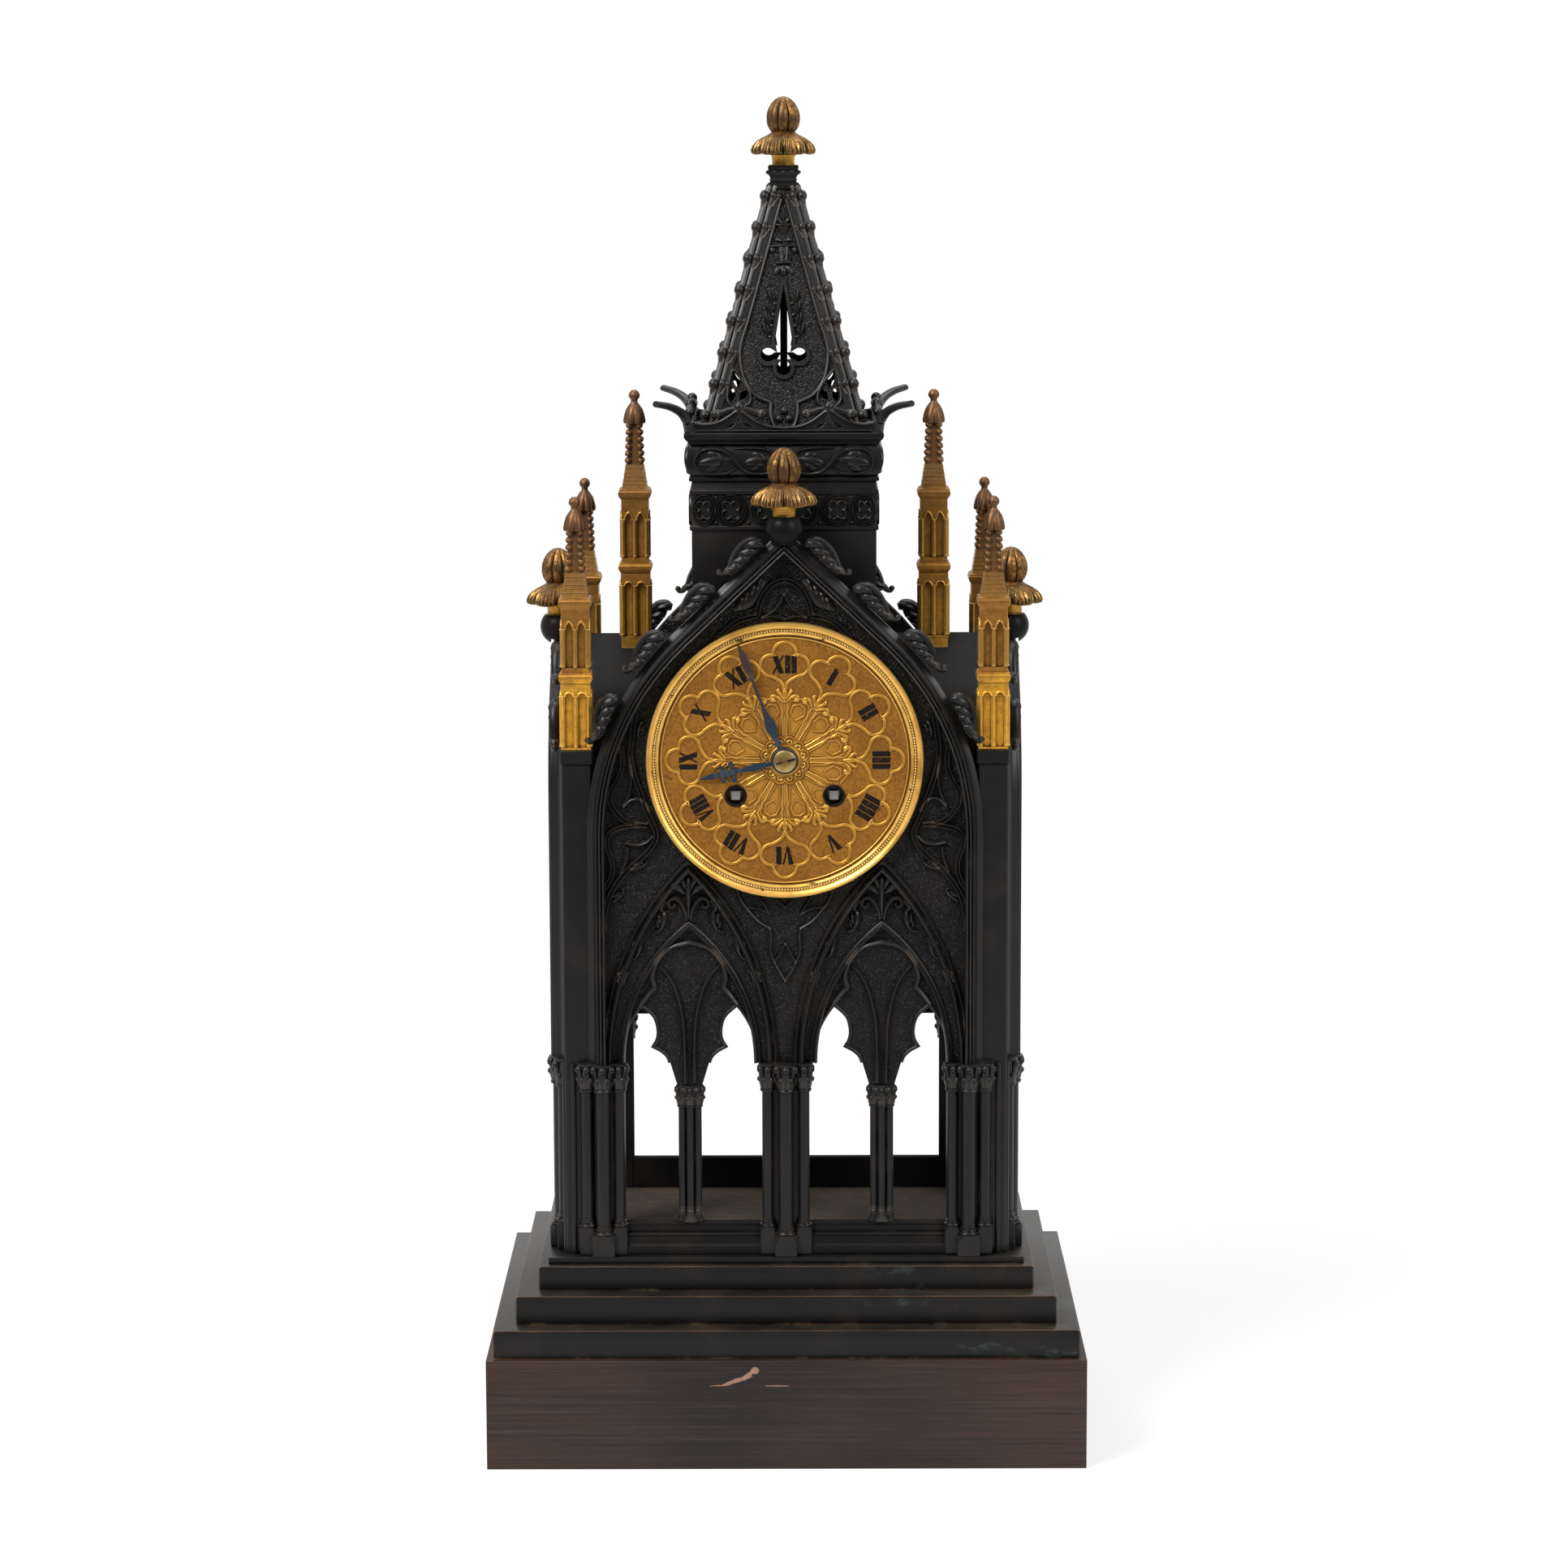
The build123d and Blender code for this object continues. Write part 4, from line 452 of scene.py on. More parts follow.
plinthBronze = brushedPlinth()
pinnacleGilt = giltBronze("pinnacleGilt", foot=277.0, bright=0.45, clean="foot")
ridgeGilt = giltBronze("ridgeGilt", foot=300.0, rise=110.0, bright=0.45)
finialGilt = giltBronze("finialGilt", brown=0.92, bright=1.0, rough=0.34, necks=gilt["necks"])
dialGilt = matteDial()
traceryGilt = burnishedTracery()
bezelGilt = polishedBezel()
numeralBlack = paintedBlack()
hourBlue = bluedSteel("hourBlue", 60.0, 80.0)
minuteBlue = bluedSteel("minuteBlue", 10.0, 34.0)
clockBrass = clockMetal("clockBrass", (0.50, 0.31, 0.09), (0.36, 0.21, 0.06), 0.26)
steel = clockMetal("steel", (0.42, 0.41, 0.40), (0.20, 0.19, 0.18), 0.26)
bellMetal = clockMetal("bellMetal", (0.46, 0.40, 0.30), (0.25, 0.21, 0.15), 0.22)
darkWood = agedBoard("darkWood", (0.075, 0.040, 0.020), (0.028, 0.014, 0.008), (1.0, 14.0, 14.0))
tanBoard = agedBoard("tanBoard", (0.105, 0.082, 0.057), (0.038, 0.030, 0.023), (2.0, 10.0, 10.0))
print("finishes made")


# Shapes are worked out in millimetres and cast into one mesh for each piece
def enclosed(points, faces):    # signed volume, below nothing where the faces look inward
    middle = points.mean(0)
    total = 0.0
    for size in {len(face) for face in faces}:
        corners = points[np.array([face for face in faces if len(face) == size])] - middle
        for k in range(1, size - 1):
            total += np.einsum("ij,ij->", corners[:, 0], np.cross(corners[:, k], corners[:, k + 1]))
    return total


class Casting:
    def __init__(self):
        self.points = []
        self.faces = []
        self.count = 0

    def add(self, points, faces):
        points = np.asarray(points, float).reshape(-1, 3)
        if enclosed(points, faces) < 0:
            faces = [face[::-1] for face in faces]
        self.points.append(points)
        self.faces += [[index + self.count for index in face] for face in faces]
        self.count += len(points)

    def sheet(self, grid, roundRows=False, roundCols=False):
        rows, cols = grid.shape[:2]
        faces = []
        for i in range(rows if roundRows else rows - 1):
            here, there = i * cols, (i + 1) % rows * cols
            for j in range(cols if roundCols else cols - 1):
                after = (j + 1) % cols
                faces.append((here + j, here + after, there + after, there + j))
        if roundCols and not roundRows:    # capped ends
            faces.append(tuple(range(cols))[::-1])
            faces.append(tuple((rows - 1) * cols + j for j in range(cols)))
        self.add(grid, faces)

    def copies(self, other, moves):    # each move takes points to points
        points = np.concatenate(other.points)
        for move in moves:
            self.add(move(points), other.faces)

    def make(self, name, finish, slot, body="case", replaces=(), sharp=38.0):
        mesh = bpy.data.meshes.new(name)
        points = np.concatenate(self.points) * mm
        mesh.from_pydata(points.tolist(), [], self.faces)
        work = bmesh.new()
        work.from_mesh(mesh)
        bmesh.ops.dissolve_degenerate(work, dist=1e-7, edges=work.edges)
        work.to_mesh(mesh)
        work.free()
        mesh.shade_smooth()
        mesh.set_sharp_from_angle(angle=math.radians(sharp))
        mesh.materials.append(finish)
        piece = bpy.data.objects.new(name, mesh)
        scene.collection.objects.link(piece)
        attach(piece, body)
        if replaces:
            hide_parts(*replaces)
        print("made", name, len(mesh.polygons), "faces")
        return piece


# Walls: u runs along the wall, v is the height, h stands out from it
def wallOn(side, reach, bulge=None):
    def place(p):
        u, v, h = p[..., 0], p[..., 1], p[..., 2] + reach
        if bulge is not None:
            h = h + bulge(v)
        spots = {"front": (u, -h, v), "rear": (-u, h, v), "right": (h, u, v), "left": (-h, -u, v)}
        return np.stack(spots[side], -1)
    return place


allSides = ("front", "rear", "right", "left")
allCorners = [(x, y) for x in (-1, 1) for y in (-1, 1)]


def smoothPath(points, steps=6, closed=False):    # a curve through the points
    p = np.asarray(points, float)
    if closed:
        p = np.concatenate([p[-1:], p, p[:2]])
    else:
        p = np.concatenate([2 * p[:1] - p[1:2], p, 2 * p[-1:] - p[-2:-1]])
    t = np.linspace(0, 1, steps, endpoint=False)[:, None]
    spans = []
    for a, b, c, d in zip(p, p[1:], p[2:], p[3:]):
        square, cube = 2 * a - 5 * b + 4 * c - d, 3 * b - a - 3 * c + d
        spans.append(0.5 * (2 * b + (c - a) * t + square * t**2 + cube * t**3))
    if not closed:
        spans.append(p[-2:-1])
    return np.concatenate(spans)


def arcPath(centre, radius, start, end, steps=16):    # angles in degrees
    turn = np.radians(np.linspace(start, end, steps + 1))
    return np.stack([centre[0] + radius * np.cos(turn), centre[1] + radius * np.sin(turn)], 1)


def circle(centre, radius, steps):
    return arcPath(centre, radius, 0, 360, steps)[:-1]


def polar(centre, radius, turn):    # one point, turned by degrees
    angle = math.radians(turn)
    return centre[0] + radius * math.cos(angle), centre[1] + radius * math.sin(angle)


def spot(place, u, v, h=0.0):    # one point of a wall, in space
    return tuple(place(np.array([u, v, h])))


def archPath(centre, half, foot, rise, steps=18):    # pointed arch, left foot to right foot
    radius = (half * half + rise * rise) / (2 * half)
    turn = np.linspace(0, math.atan2(rise, radius - half), steps + 1)
    right = np.stack([half - radius + radius * np.cos(turn), foot + radius * np.sin(turn)], 1)
    left = right * (-1, 1)
    return np.concatenate([left, right[-2::-1]]) + (centre, 0)


def mirrored(path):
    return np.asarray(path, float)[::-1] * (-1, 1)


rootSink = 0.4    # how deep mouldings reach into their ground


def rollProfile(width, height, sink=rootSink, steps=6):
    turn = np.linspace(math.pi, 0, steps + 1)
    top = np.stack([width / 2 * np.cos(turn), height * np.sin(turn)], 1)
    return np.concatenate([[(-width / 2, -sink)], top, [(width / 2, -sink)]])


def twinProfile(width, height):    # two rolls with a groove between
    roll = rollProfile(width * 0.46, height, 0, 5)[1:-1]
    left, right = roll - (width * 0.27, 0), roll + (width * 0.27, 0)
    left[-1, 1] = right[0, 1] = height * 0.35
    return np.concatenate([[(-width / 2, -rootSink)], left, right, [(width / 2, -rootSink)]])


tiny = 1e-9
mitreLimit = 2.2


# a profile drawn along a path on a wall
def sweep(casting, place, path, profile, closed=False, taper=None):
    path = np.asarray(path, float)
    ahead = np.roll(path, -1, 0) - path
    back = path - np.roll(path, 1, 0)
    if not closed:
        ahead[-1], back[0] = back[-1], ahead[0]
    ahead /= np.linalg.norm(ahead, axis=1)[:, None] + tiny
    back /= np.linalg.norm(back, axis=1)[:, None] + tiny
    across = np.stack([-ahead[:, 1] - back[:, 1], ahead[:, 0] + back[:, 0]], 1)
    length = np.linalg.norm(across, axis=1)[:, None] + tiny
    across = across / length * np.minimum(2 / length, mitreLimit)
    size = np.ones(len(path)) if taper is None else np.asarray(taper, float)
    flat = path[:, None, :] + across[:, None, :] * (profile[None, :, :1] * size[:, None, None])
    rise = profile[None, :, 1:]
    high = np.where(rise > 0, rise * size[:, None, None], rise)
    casting.sheet(place(np.concatenate([flat, high], 2)), closed, True)


# points of u, v and a share of the width
def strand(casting, place, points, width, height, steps=4, sink=0.3):
    path = smoothPath(points, steps)
    share = np.maximum(path[:, 2], 0.04)
    sweep(casting, place, path[:, :2], rollProfile(width, height, sink, 5), taper=share)


def strands(casting, place, drawing, put, size=1.0, sink=0.3):    # drawing of points, width and height
    for points, width, height in drawing:
        strand(casting, place, [put(*point) for point in points], size * width, size * height, sink=sink)


# points of x, y, z and a radius
def tube(casting, points, sides=8, flat=(1.0, 1.0), up=(0, 0, 1), steps=4):
    path = smoothPath(points, steps)
    spine, radius = path[:, :3], np.maximum(path[:, 3], 0.05)
    along = np.gradient(spine, axis=0)
    along /= np.linalg.norm(along, axis=1)[:, None]
    side = np.cross(along, up)
    side /= np.linalg.norm(side, axis=1)[:, None] + tiny
    rise = np.cross(side, along)
    turn = np.linspace(0, 2 * math.pi, sides, endpoint=False)
    ring = (side[:, None] * (flat[0] * np.cos(turn))[None, :, None]
            + rise[:, None] * (flat[1] * np.sin(turn))[None, :, None])
    casting.sheet(spine[:, None] + ring * radius[:, None, None], False, True)


def lathe(casting, profile, sides=32, centre=(0, 0), lobe=None):    # profile of radius and height
    profile = np.asarray(profile, float)
    turn = np.linspace(0, 2 * math.pi, sides, endpoint=False)
    radius = np.maximum(profile[:, :1], 0.02) * np.ones(sides)
    height = profile[:, 1:2] * np.ones(sides)
    if lobe is not None:
        radius, height = lobe(turn[None, :], radius, height)
    x, y = centre[0] + radius * np.cos(turn), centre[1] + radius * np.sin(turn)
    grid = np.stack([x, y, height], -1)
    casting.sheet(grid, False, True)


def ball(casting, centre, radius, stretch=(1, 1, 1), sides=10):
    turn = np.linspace(0.06, math.pi - 0.06, sides // 2 + 2)
    spin = np.linspace(0, 2 * math.pi, sides, endpoint=False)
    grid = np.stack([np.outer(np.sin(turn), np.cos(spin)), np.outer(np.sin(turn), np.sin(spin)),
                     np.outer(np.cos(turn), np.ones(sides))], -1)
    casting.sheet(np.asarray(centre) + grid * radius * np.asarray(stretch), False, True)


def squareRun(casting, profile):    # profile of half width and height, mitred round four corners
    grid = [[(half, -half, z), (half, half, z), (-half, half, z), (-half, -half, z)] for half, z in profile]
    casting.sheet(np.array(grid, float), False, True)


def softBox(casting, low, high, edge=0.3):    # a block with its edges eased
    low, high = np.asarray(low, float), np.asarray(high, float)
    ring = []
    for inset, z in ((edge, low[2]), (0, low[2] + edge), (0, high[2] - edge), (edge, high[2])):
        x0, y0, x1, y1 = low[0] + inset, low[1] + inset, high[0] - inset, high[1] - inset
        ring.append([(x0 + edge, y0, z), (x1 - edge, y0, z), (x1, y0 + edge, z), (x1, y1 - edge, z),
                     (x1 - edge, y1, z), (x0 + edge, y1, z), (x0, y1 - edge, z), (x0, y0 + edge, z)])
    casting.sheet(np.array(ring), False, True)


def plate(casting, place, outlines, low, high, edge=0.25):    # flat plate, later outlines are its holes
    curve = bpy.data.curves.new("outline", "CURVE")
    curve.dimensions = "2D"
    curve.fill_mode = "BOTH"
    curve.extrude = (high - low) / 2 - edge
    curve.bevel_depth = edge
    curve.bevel_resolution = 1
    curve.offset = -edge
    for outline in outlines:
        spline = curve.splines.new("POLY")
        spline.points.add(len(outline) - 1)
        for point, (u, v) in zip(spline.points, outline):
            point.co = (u, v, 0, 1)
        spline.use_cyclic_u = True
    drawn = bpy.data.objects.new("outline", curve)
    mesh = bpy.data.meshes.new_from_object(drawn)
    points = np.array([v.co for v in mesh.vertices], float)
    points[:, 2] += (low + high) / 2
    casting.add(place(points), [list(p.vertices) for p in mesh.polygons])
    bpy.data.objects.remove(drawn)
    bpy.data.curves.remove(curve)
    bpy.data.meshes.remove(mesh)


def softened(nodeName, edge, finish):    # the frame's own solid with its arrises eased
    source = frame["nodes"][nodeName]
    mesh = source.data.copy()
    mesh.name = nodeName + "_eased"
    work = bmesh.new()
    work.from_mesh(mesh)
    bmesh.ops.remove_doubles(work, verts=work.verts, dist=2e-6)
    bmesh.ops.dissolve_limit(work, angle_limit=math.radians(1), verts=work.verts, edges=work.edges)
    sharp = [e for e in work.edges if len(e.link_faces) == 2 and e.calc_face_angle(0) > math.radians(40)]
    bmesh.ops.bevel(work, geom=sharp, offset=edge * mm, segments=2, profile=0.6, affect="EDGES",
                    clamp_overlap=True)
    bmesh.ops.triangulate(work, faces=[face for face in work.faces if len(face.verts) > 4])
    work.to_mesh(mesh)
    work.free()
    mesh.shade_smooth()
    mesh.set_sharp_from_angle(angle=math.radians(50))
    mesh.materials.clear()
    mesh.materials.append(finish)
    piece = bpy.data.objects.new(nodeName + "_eased", mesh)
    scene.collection.objects.link(piece)
    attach(piece, source["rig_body"])
    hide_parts(nodeName)
    return piece


# Main sizes of the case, in millimetres
case = {
    "halfWidth": 85.95, "halfDepth": 48.65, "wall": 4.0, "pier": 11.5,
    "floor": 78.1, "spring": 154.3, "pierTop": 277.0,
    "dialHeight": 273.2, "holeRadius": 47.0,
}
halfWidth, halfDepth, wall = case["halfWidth"], case["halfDepth"], case["wall"]
spring, floorLevel, dialZ = case["spring"], case["floor"], case["dialHeight"]
panelHalf = halfWidth - case["pier"]
sidePanelHalf = halfDepth - case["pier"]
frontWall = wallOn("front", halfDepth)
rearWall = wallOn("rear", halfDepth)
gableTurn = math.radians(46.5)
gableSteps = 14
frontGable = {"reach": 76.4, "knee": 244.0, "radius": 107.0}
sideGable = {"reach": 39.5, "knee": 256.0, "radius": 60.0}


def gablePath(shape, inset):    # left foot, over the apex, right foot
    reach, bend = shape["reach"] - inset, shape["radius"] - inset
    turn = np.linspace(0, gableTurn, gableSteps + 1)
    right = np.stack([reach - bend + bend * np.cos(turn), shape["knee"] + bend * np.sin(turn)], 1)
    shoulder = right[-1]
    apex = (0.0, shoulder[1] + shoulder[0] / math.tan(gableTurn))
    right = np.concatenate([[(reach, spring)], right, [apex]])
    return np.concatenate([right * (-1, 1), right[-2::-1]])


def gablePoint(shape, across):    # height and outward turn of the gable's edge
    reach, bend = shape["reach"], shape["radius"]
    shoulder = reach - bend * (1 - math.cos(gableTurn))
    if across < shoulder:
        apex = shape["knee"] + bend * math.sin(gableTurn) + shoulder / math.tan(gableTurn)
        return apex - across / math.tan(gableTurn), gableTurn
    turn = math.acos((bend - reach + across) / bend)
    return shape["knee"] + bend * math.sin(turn), turn


# Plinth, steps and sill
softened("plinth", 0.5, plinthBronze)
for stepName in ("step_lower", "step_middle", "step_upper"):
    softened(stepName, 0.45, stepBronze)
softened("sill_plate", 0.9, plainBronze)
print("plinth and steps made")

# Columns: chamfered block, moulded base, shaft and leafed capital
column = {
    "capital": 11.3, "lap": 3.0,    # height of a capital, and from the block to the shaft
    "base": ((1.1, -0.2), (1.42, 0), (1.5, 0.45), (1.42, 0.9), (1.18, 1.1), (1.12, 1.5), (1.26, 1.75),
             (1.26, 2.15), (1.04, 2.5), (1, 3.2), (1, 4)),    # share of the radius and height
    "neck": ((1.0, 0.0), (1.28, 0.02), (1.36, 0.07), (1.28, 0.12), (1.0, 0.15), (1.0, 0.5)),
    "bell": ((0.95, 0.8), (1.1, 0.89), (1.25, 0.92)),    # shares of the radius and of the capital
    "tallLeaf": ((0.1, 0.14, 0.8), (0.3, 0.34, 1.1), (0.6, 0.56, 1.15), (1.0, 0.78, 1.0), (1.5, 0.86, 0.8)),
    "lowLeaf": ((0.1, 0.14, 0.8), (0.4, 0.30, 1.0), (0.9, 0.44, 0.9), (1.2, 0.48, 0.7)),
    "tallCurl": (1.0, 0.80, 1.32), "lowCurl": (0.9, 0.44, 0.95),
}
bigShaft = {"radius": 2.9, "stand": 2.4, "blockHalf": 4.4, "blockTop": floorLevel + 8.4}
outerShaft = {"radius": 2.45, "stand": 0.7, "blockHalf": 3.0, "blockTop": floorLevel + 11.4}
innerShaft = {"radius": 2.2, "stand": 0.7, "blockHalf": 3.0, "blockTop": floorLevel + 11.4}


def columnBase(casting, x, y, foot, top, half, radius):
    cut = half * 0.5
    rings = []
    for inset, corner, z in ((0.25, 0.3, foot), (0, 0.3, foot + 0.3), (0, 0.3, top - half * 0.75),
                             (0.0, cut, top - 0.15), (0.35, cut, top)):
        h = half - inset
        c = min(corner, h * 0.55)
        octagon = ((h - c, -h), (h, c - h), (h, h - c), (h - c, h), (c - h, h), (-h, h - c), (-h, c - h),
                   (c - h, -h))
        rings.append([(x + a, y + b, z) for a, b in octagon])
    casting.sheet(np.array(rings), False, True)
    lathe(casting, [(radius * share, top + z) for share, z in column["base"]], 24, (x, y))


def capitalLeaves(casting, x, y, neck, top, radius):    # six leaves with bold scrolls over six low ones
    tall = top - neck
    width = 0.45 + 0.3 * radius
    grow = tall / column["capital"]
    for k in range(12):
        a = math.pi * k / 6 - math.pi / 2
        c, d = math.cos(a), math.sin(a)
        kind = "low" if k % 2 else "tall"
        spots = []
        for out, up, wide in column[kind + "Leaf"]:
            reach = radius + out * grow
            spots.append((x + reach * c, y + reach * d, neck + tall * up, wide * width))
        tube(casting, spots, 8, (0.6, 1.15), (-d, c, 0.01), 3)
        out, up, size = column[kind + "Curl"]
        reach = radius + out * grow
        ball(casting, (x + reach * c, y + reach * d, neck + tall * up), size * width, (1, 1, 1.05), 10)


def shaft(casting, x, y, foot, top, radius, capital):
    neck = top - capital
    bell = radius + capital * 0.06
    profile = [(radius, foot)] + [(radius * share, neck + capital * up) for share, up in column["neck"]]
    profile += [(bell * share, neck + capital * up) for share, up in column["bell"]]
    lathe(casting, profile + [(bell * 1.25, top - 0.3), (bell * 1.1, top)], 24, (x, y))
    capitalLeaves(casting, x, y, neck, top, radius)


def clusterShaft(casting, x, y, kind):
    columnBase(casting, x, y, floorLevel, kind["blockTop"], kind["blockHalf"], kind["radius"])
    shaft(casting, x, y, kind["blockTop"] + column["lap"], spring, kind["radius"], column["capital"])


pier = {"neck": 5.6, "capTop": 6.0, "capOut": 0.6, "roll": 1.2, "rollIn": 3.3, "wing": 23.4, "wingEdge": 1.6,
        "outer": 8.6, "big": 14.85, "inner": 21.05}    # the last three place the shafts
pierTop, capOut = case["pierTop"], pier["capOut"]
corner = Casting()
softBox(corner, (panelHalf, -halfDepth, floorLevel), (halfWidth, -sidePanelHalf, pierTop - pier["neck"]), 0.5)
softBox(corner, (panelHalf - capOut, -halfDepth - capOut, pierTop - pier["capTop"]),
        (halfWidth + capOut, -sidePanelHalf + capOut, pierTop), 0.6)
for x, y in ((pier["rollIn"], 0.1), (0.1, pier["rollIn"])):    # a slim roll beside each arris
    lathe(corner, [(pier["roll"], floorLevel + 0.2), (pier["roll"], spring - 0.2)],
          16, (halfWidth - x, -halfDepth + y))
for low, high in (((halfWidth - pier["wing"], -halfDepth + 0.6), (halfWidth - 1, -halfDepth + wall)),
                  ((halfWidth - wall, -halfDepth + 1), (halfWidth - 0.6, -halfDepth + pier["wing"]))):
    softBox(corner, (*low, floorLevel), (*high, spring), 0.3)
for step, kind in ((pier["outer"], outerShaft), (pier["big"], bigShaft), (pier["inner"], innerShaft)):
    clusterShaft(corner, halfWidth - step, -halfDepth - kind["stand"], kind)
    clusterShaft(corner, halfWidth + kind["stand"], -halfDepth + step, kind)
for name, turn, replaced in (("front_piers_cast", 1, "front_piers"), ("rear_piers_cast", -1, "rear_piers")):
    pair = Casting()
    pair.copies(corner, [lambda p, t=turn, s=s: p * (s, t, 1) for s in (1, -1)])
    pair.make(name, columnBronze, "patinated_bronze", replaces=(replaced,))

centre = Casting()
centreHalf = 9.0
softBox(centre, (-centreHalf, -halfDepth + 0.6, floorLevel), (centreHalf, -halfDepth + wall, spring), 0.3)
for x, kind in ((0, bigShaft), (-7.0, innerShaft), (7.0, innerShaft)):
    clusterShaft(centre, x, -halfDepth - kind["stand"], kind)
mullion = {"foot": floorLevel + 12.4, "top": spring - 9.3, "radius": 1.5, "baseRadius": 1.3, "capital": 8.8}
mullionFoot, mullionTop = mullion["foot"], mullion["top"]
bays = (-37.3, 37.3)
middle = -halfDepth + wall / 2
for bay in bays:
    columnBase(centre, bay, middle - 0.4, mullionFoot, mullionFoot + 3.2, 2.9, mullion["baseRadius"])
    for x, y in ((0, -1.2), (-3.0, 0), (3.0, 0)):
        columnBase(centre, bay + x, middle + y, mullionFoot, mullionFoot + 2.4, 2.0, mullion["baseRadius"])
        shaft(centre, bay + x, middle + y, mullionFoot + column["lap"], mullionTop, mullion["radius"],
              mullion["capital"])
    softBox(centre, (bay - 3.2, middle - 0.4, mullionFoot), (bay + 3.2, middle + 1.3, mullionTop), 0.2)
centre.make("front_columns_cast", columnBronze, "patinated_bronze", replaces=("front_columns",))

# Dado rails between the column blocks
dado = Casting()


def rail(place, u0, u1, profile):    # profile of standing out and height above the floor
    grid = [[(u, floorLevel + v, h) for h, v in profile] for u in (u0, u1)]
    dado.sheet(place(np.array(grid, float)), False, True)


railFoot = [(-wall, 0.0), (3.0, 0.0), (3.0, 3.2), (2.5, 3.5), (2.0, 4.3), (1.9, 7.3), (2.2, 7.8), (1.6, 8.4),
            (0.0, 8.5), (0.0, 11.3)]
frontRail = railFoot + [(0.35, 11.6), (0.3, 12.2), (0.0, 12.4), (-wall, 12.4)]
tallRail = railFoot + [(0.0, 14.8), (0.35, 15.1), (0.0, 15.9), (-wall, 15.9)]
wingEdge = halfWidth - pier["inner"] - pier["wingEdge"]
sideEdge = halfDepth - 22.6
for u0, u1 in ((-wingEdge, -centreHalf), (centreHalf, wingEdge)):
    rail(frontWall, u0, u1, frontRail)
rail(rearWall, -wingEdge, wingEdge, tallRail)
for side in ("right", "left"):
    rail(wallOn(side, halfWidth), -sideEdge, sideEdge, tallRail)
dado.make("dado_cast", dadoBronze, "patinated_bronze", replaces=("dado_rails",), sharp=30)
print("columns and dado made")

# Walls with their gables, mouldings and tracery
lancet = {"half": 27.0, "radius": 35.0, "apex": 18.5, "cusp": (14.0, 6.3), "lobe": (12.1, 12.9), "foot": 7.6,
          "capitalHalf": 4.8}


def lancetPath(side):    # from the outer foot over the apex to the mullion's foot
    radius = lancet["radius"]
    reach = lancet["apex"] - lancet["half"] + radius
    swing = math.sqrt(radius**2 - reach**2)
    outer = arcPath((lancet["half"] - radius, 0), radius, 0, math.degrees(math.atan2(swing, reach)), 10)
    lobe = smoothPath([(lancet["apex"], swing), (13.6, 18.2), lancet["lobe"], (12.5, 9.0), lancet["cusp"]], 4)
    foot = smoothPath([lancet["cusp"], (10.9, 4.6), (8.6, 2.4), (lancet["foot"], 0.0)], 4)
    return np.concatenate([outer, lobe[1:], foot[1:]]) * (side, 1) + (0, spring)


def frontOpenings():    # along the foot of the wall, from left to right
    points = []
    for bay in bays:
        points += [*(lancetPath(-1) + (bay, 0))]
        points += [(bay - lancet["capitalHalf"], mullionTop), (bay + lancet["capitalHalf"], mullionTop)]
        points += [*(lancetPath(1)[::-1] + (bay, 0))]
    return points


def wallOutline(openings, shape, half, margin=0.1):    # along the openings, then back over the gable
    top = [point for point in gablePath(shape, 0.15)[::-1] if abs(point[0]) < half - margin]
    return np.array([(-half, spring), *openings, (half, spring), *top])


# Profiles across the mouldings, from their inner to their outer edge
copingHalf = 3.5
copingProfile = np.array([
    (-copingHalf, -0.4), (-copingHalf, 0.5), (-2.9, 0.9), (-1.6, 1.5), (-0.9, 2.4), (-0.6, 3.6), (-0.1, 4.3),
    (0.5, 4.3), (0.8, 3.8), (0.95, 4.4), (1.2, 5.2), (1.6, 5.5), (2.0, 5.2), (2.15, 4.7), (2.3, 5.2),
    (2.55, 5.8), (2.9, 6.0), (3.25, 5.7), (copingHalf, 5.0), (copingHalf, -4.0)])
bayProfile = np.array([(-2.3, -0.4), (-2.3, 0.4), (-2.0, 1.5), (-1.3, 2.2), (-0.6, 1.7), (-0.3, 1.2),
                       (0.0, 1.7), (0.5, 2.9), (1.1, 3.4), (1.8, 2.8), (2.1, 1.6), (2.3, 0.6), (2.3, -0.4)])
hoodProfile = np.array([(-1.5, -0.4), (-1.5, 0.3), (-1.2, 1.1), (-0.6, 1.5), (-0.2, 1.1), (0.1, 1.3),
                        (0.5, 2.1), (1.0, 2.2), (1.4, 1.4), (1.5, 0.4), (1.5, -0.4)])


def coping(casting, place, shape):
    sweep(casting, place, gablePath(shape, copingHalf), copingProfile * (-1, 1))


def archMould(casting, place, centre, half, rise, profile, scale=(-1, 1)):
    sweep(casting, place, archPath(centre, half, spring, rise), profile * scale)


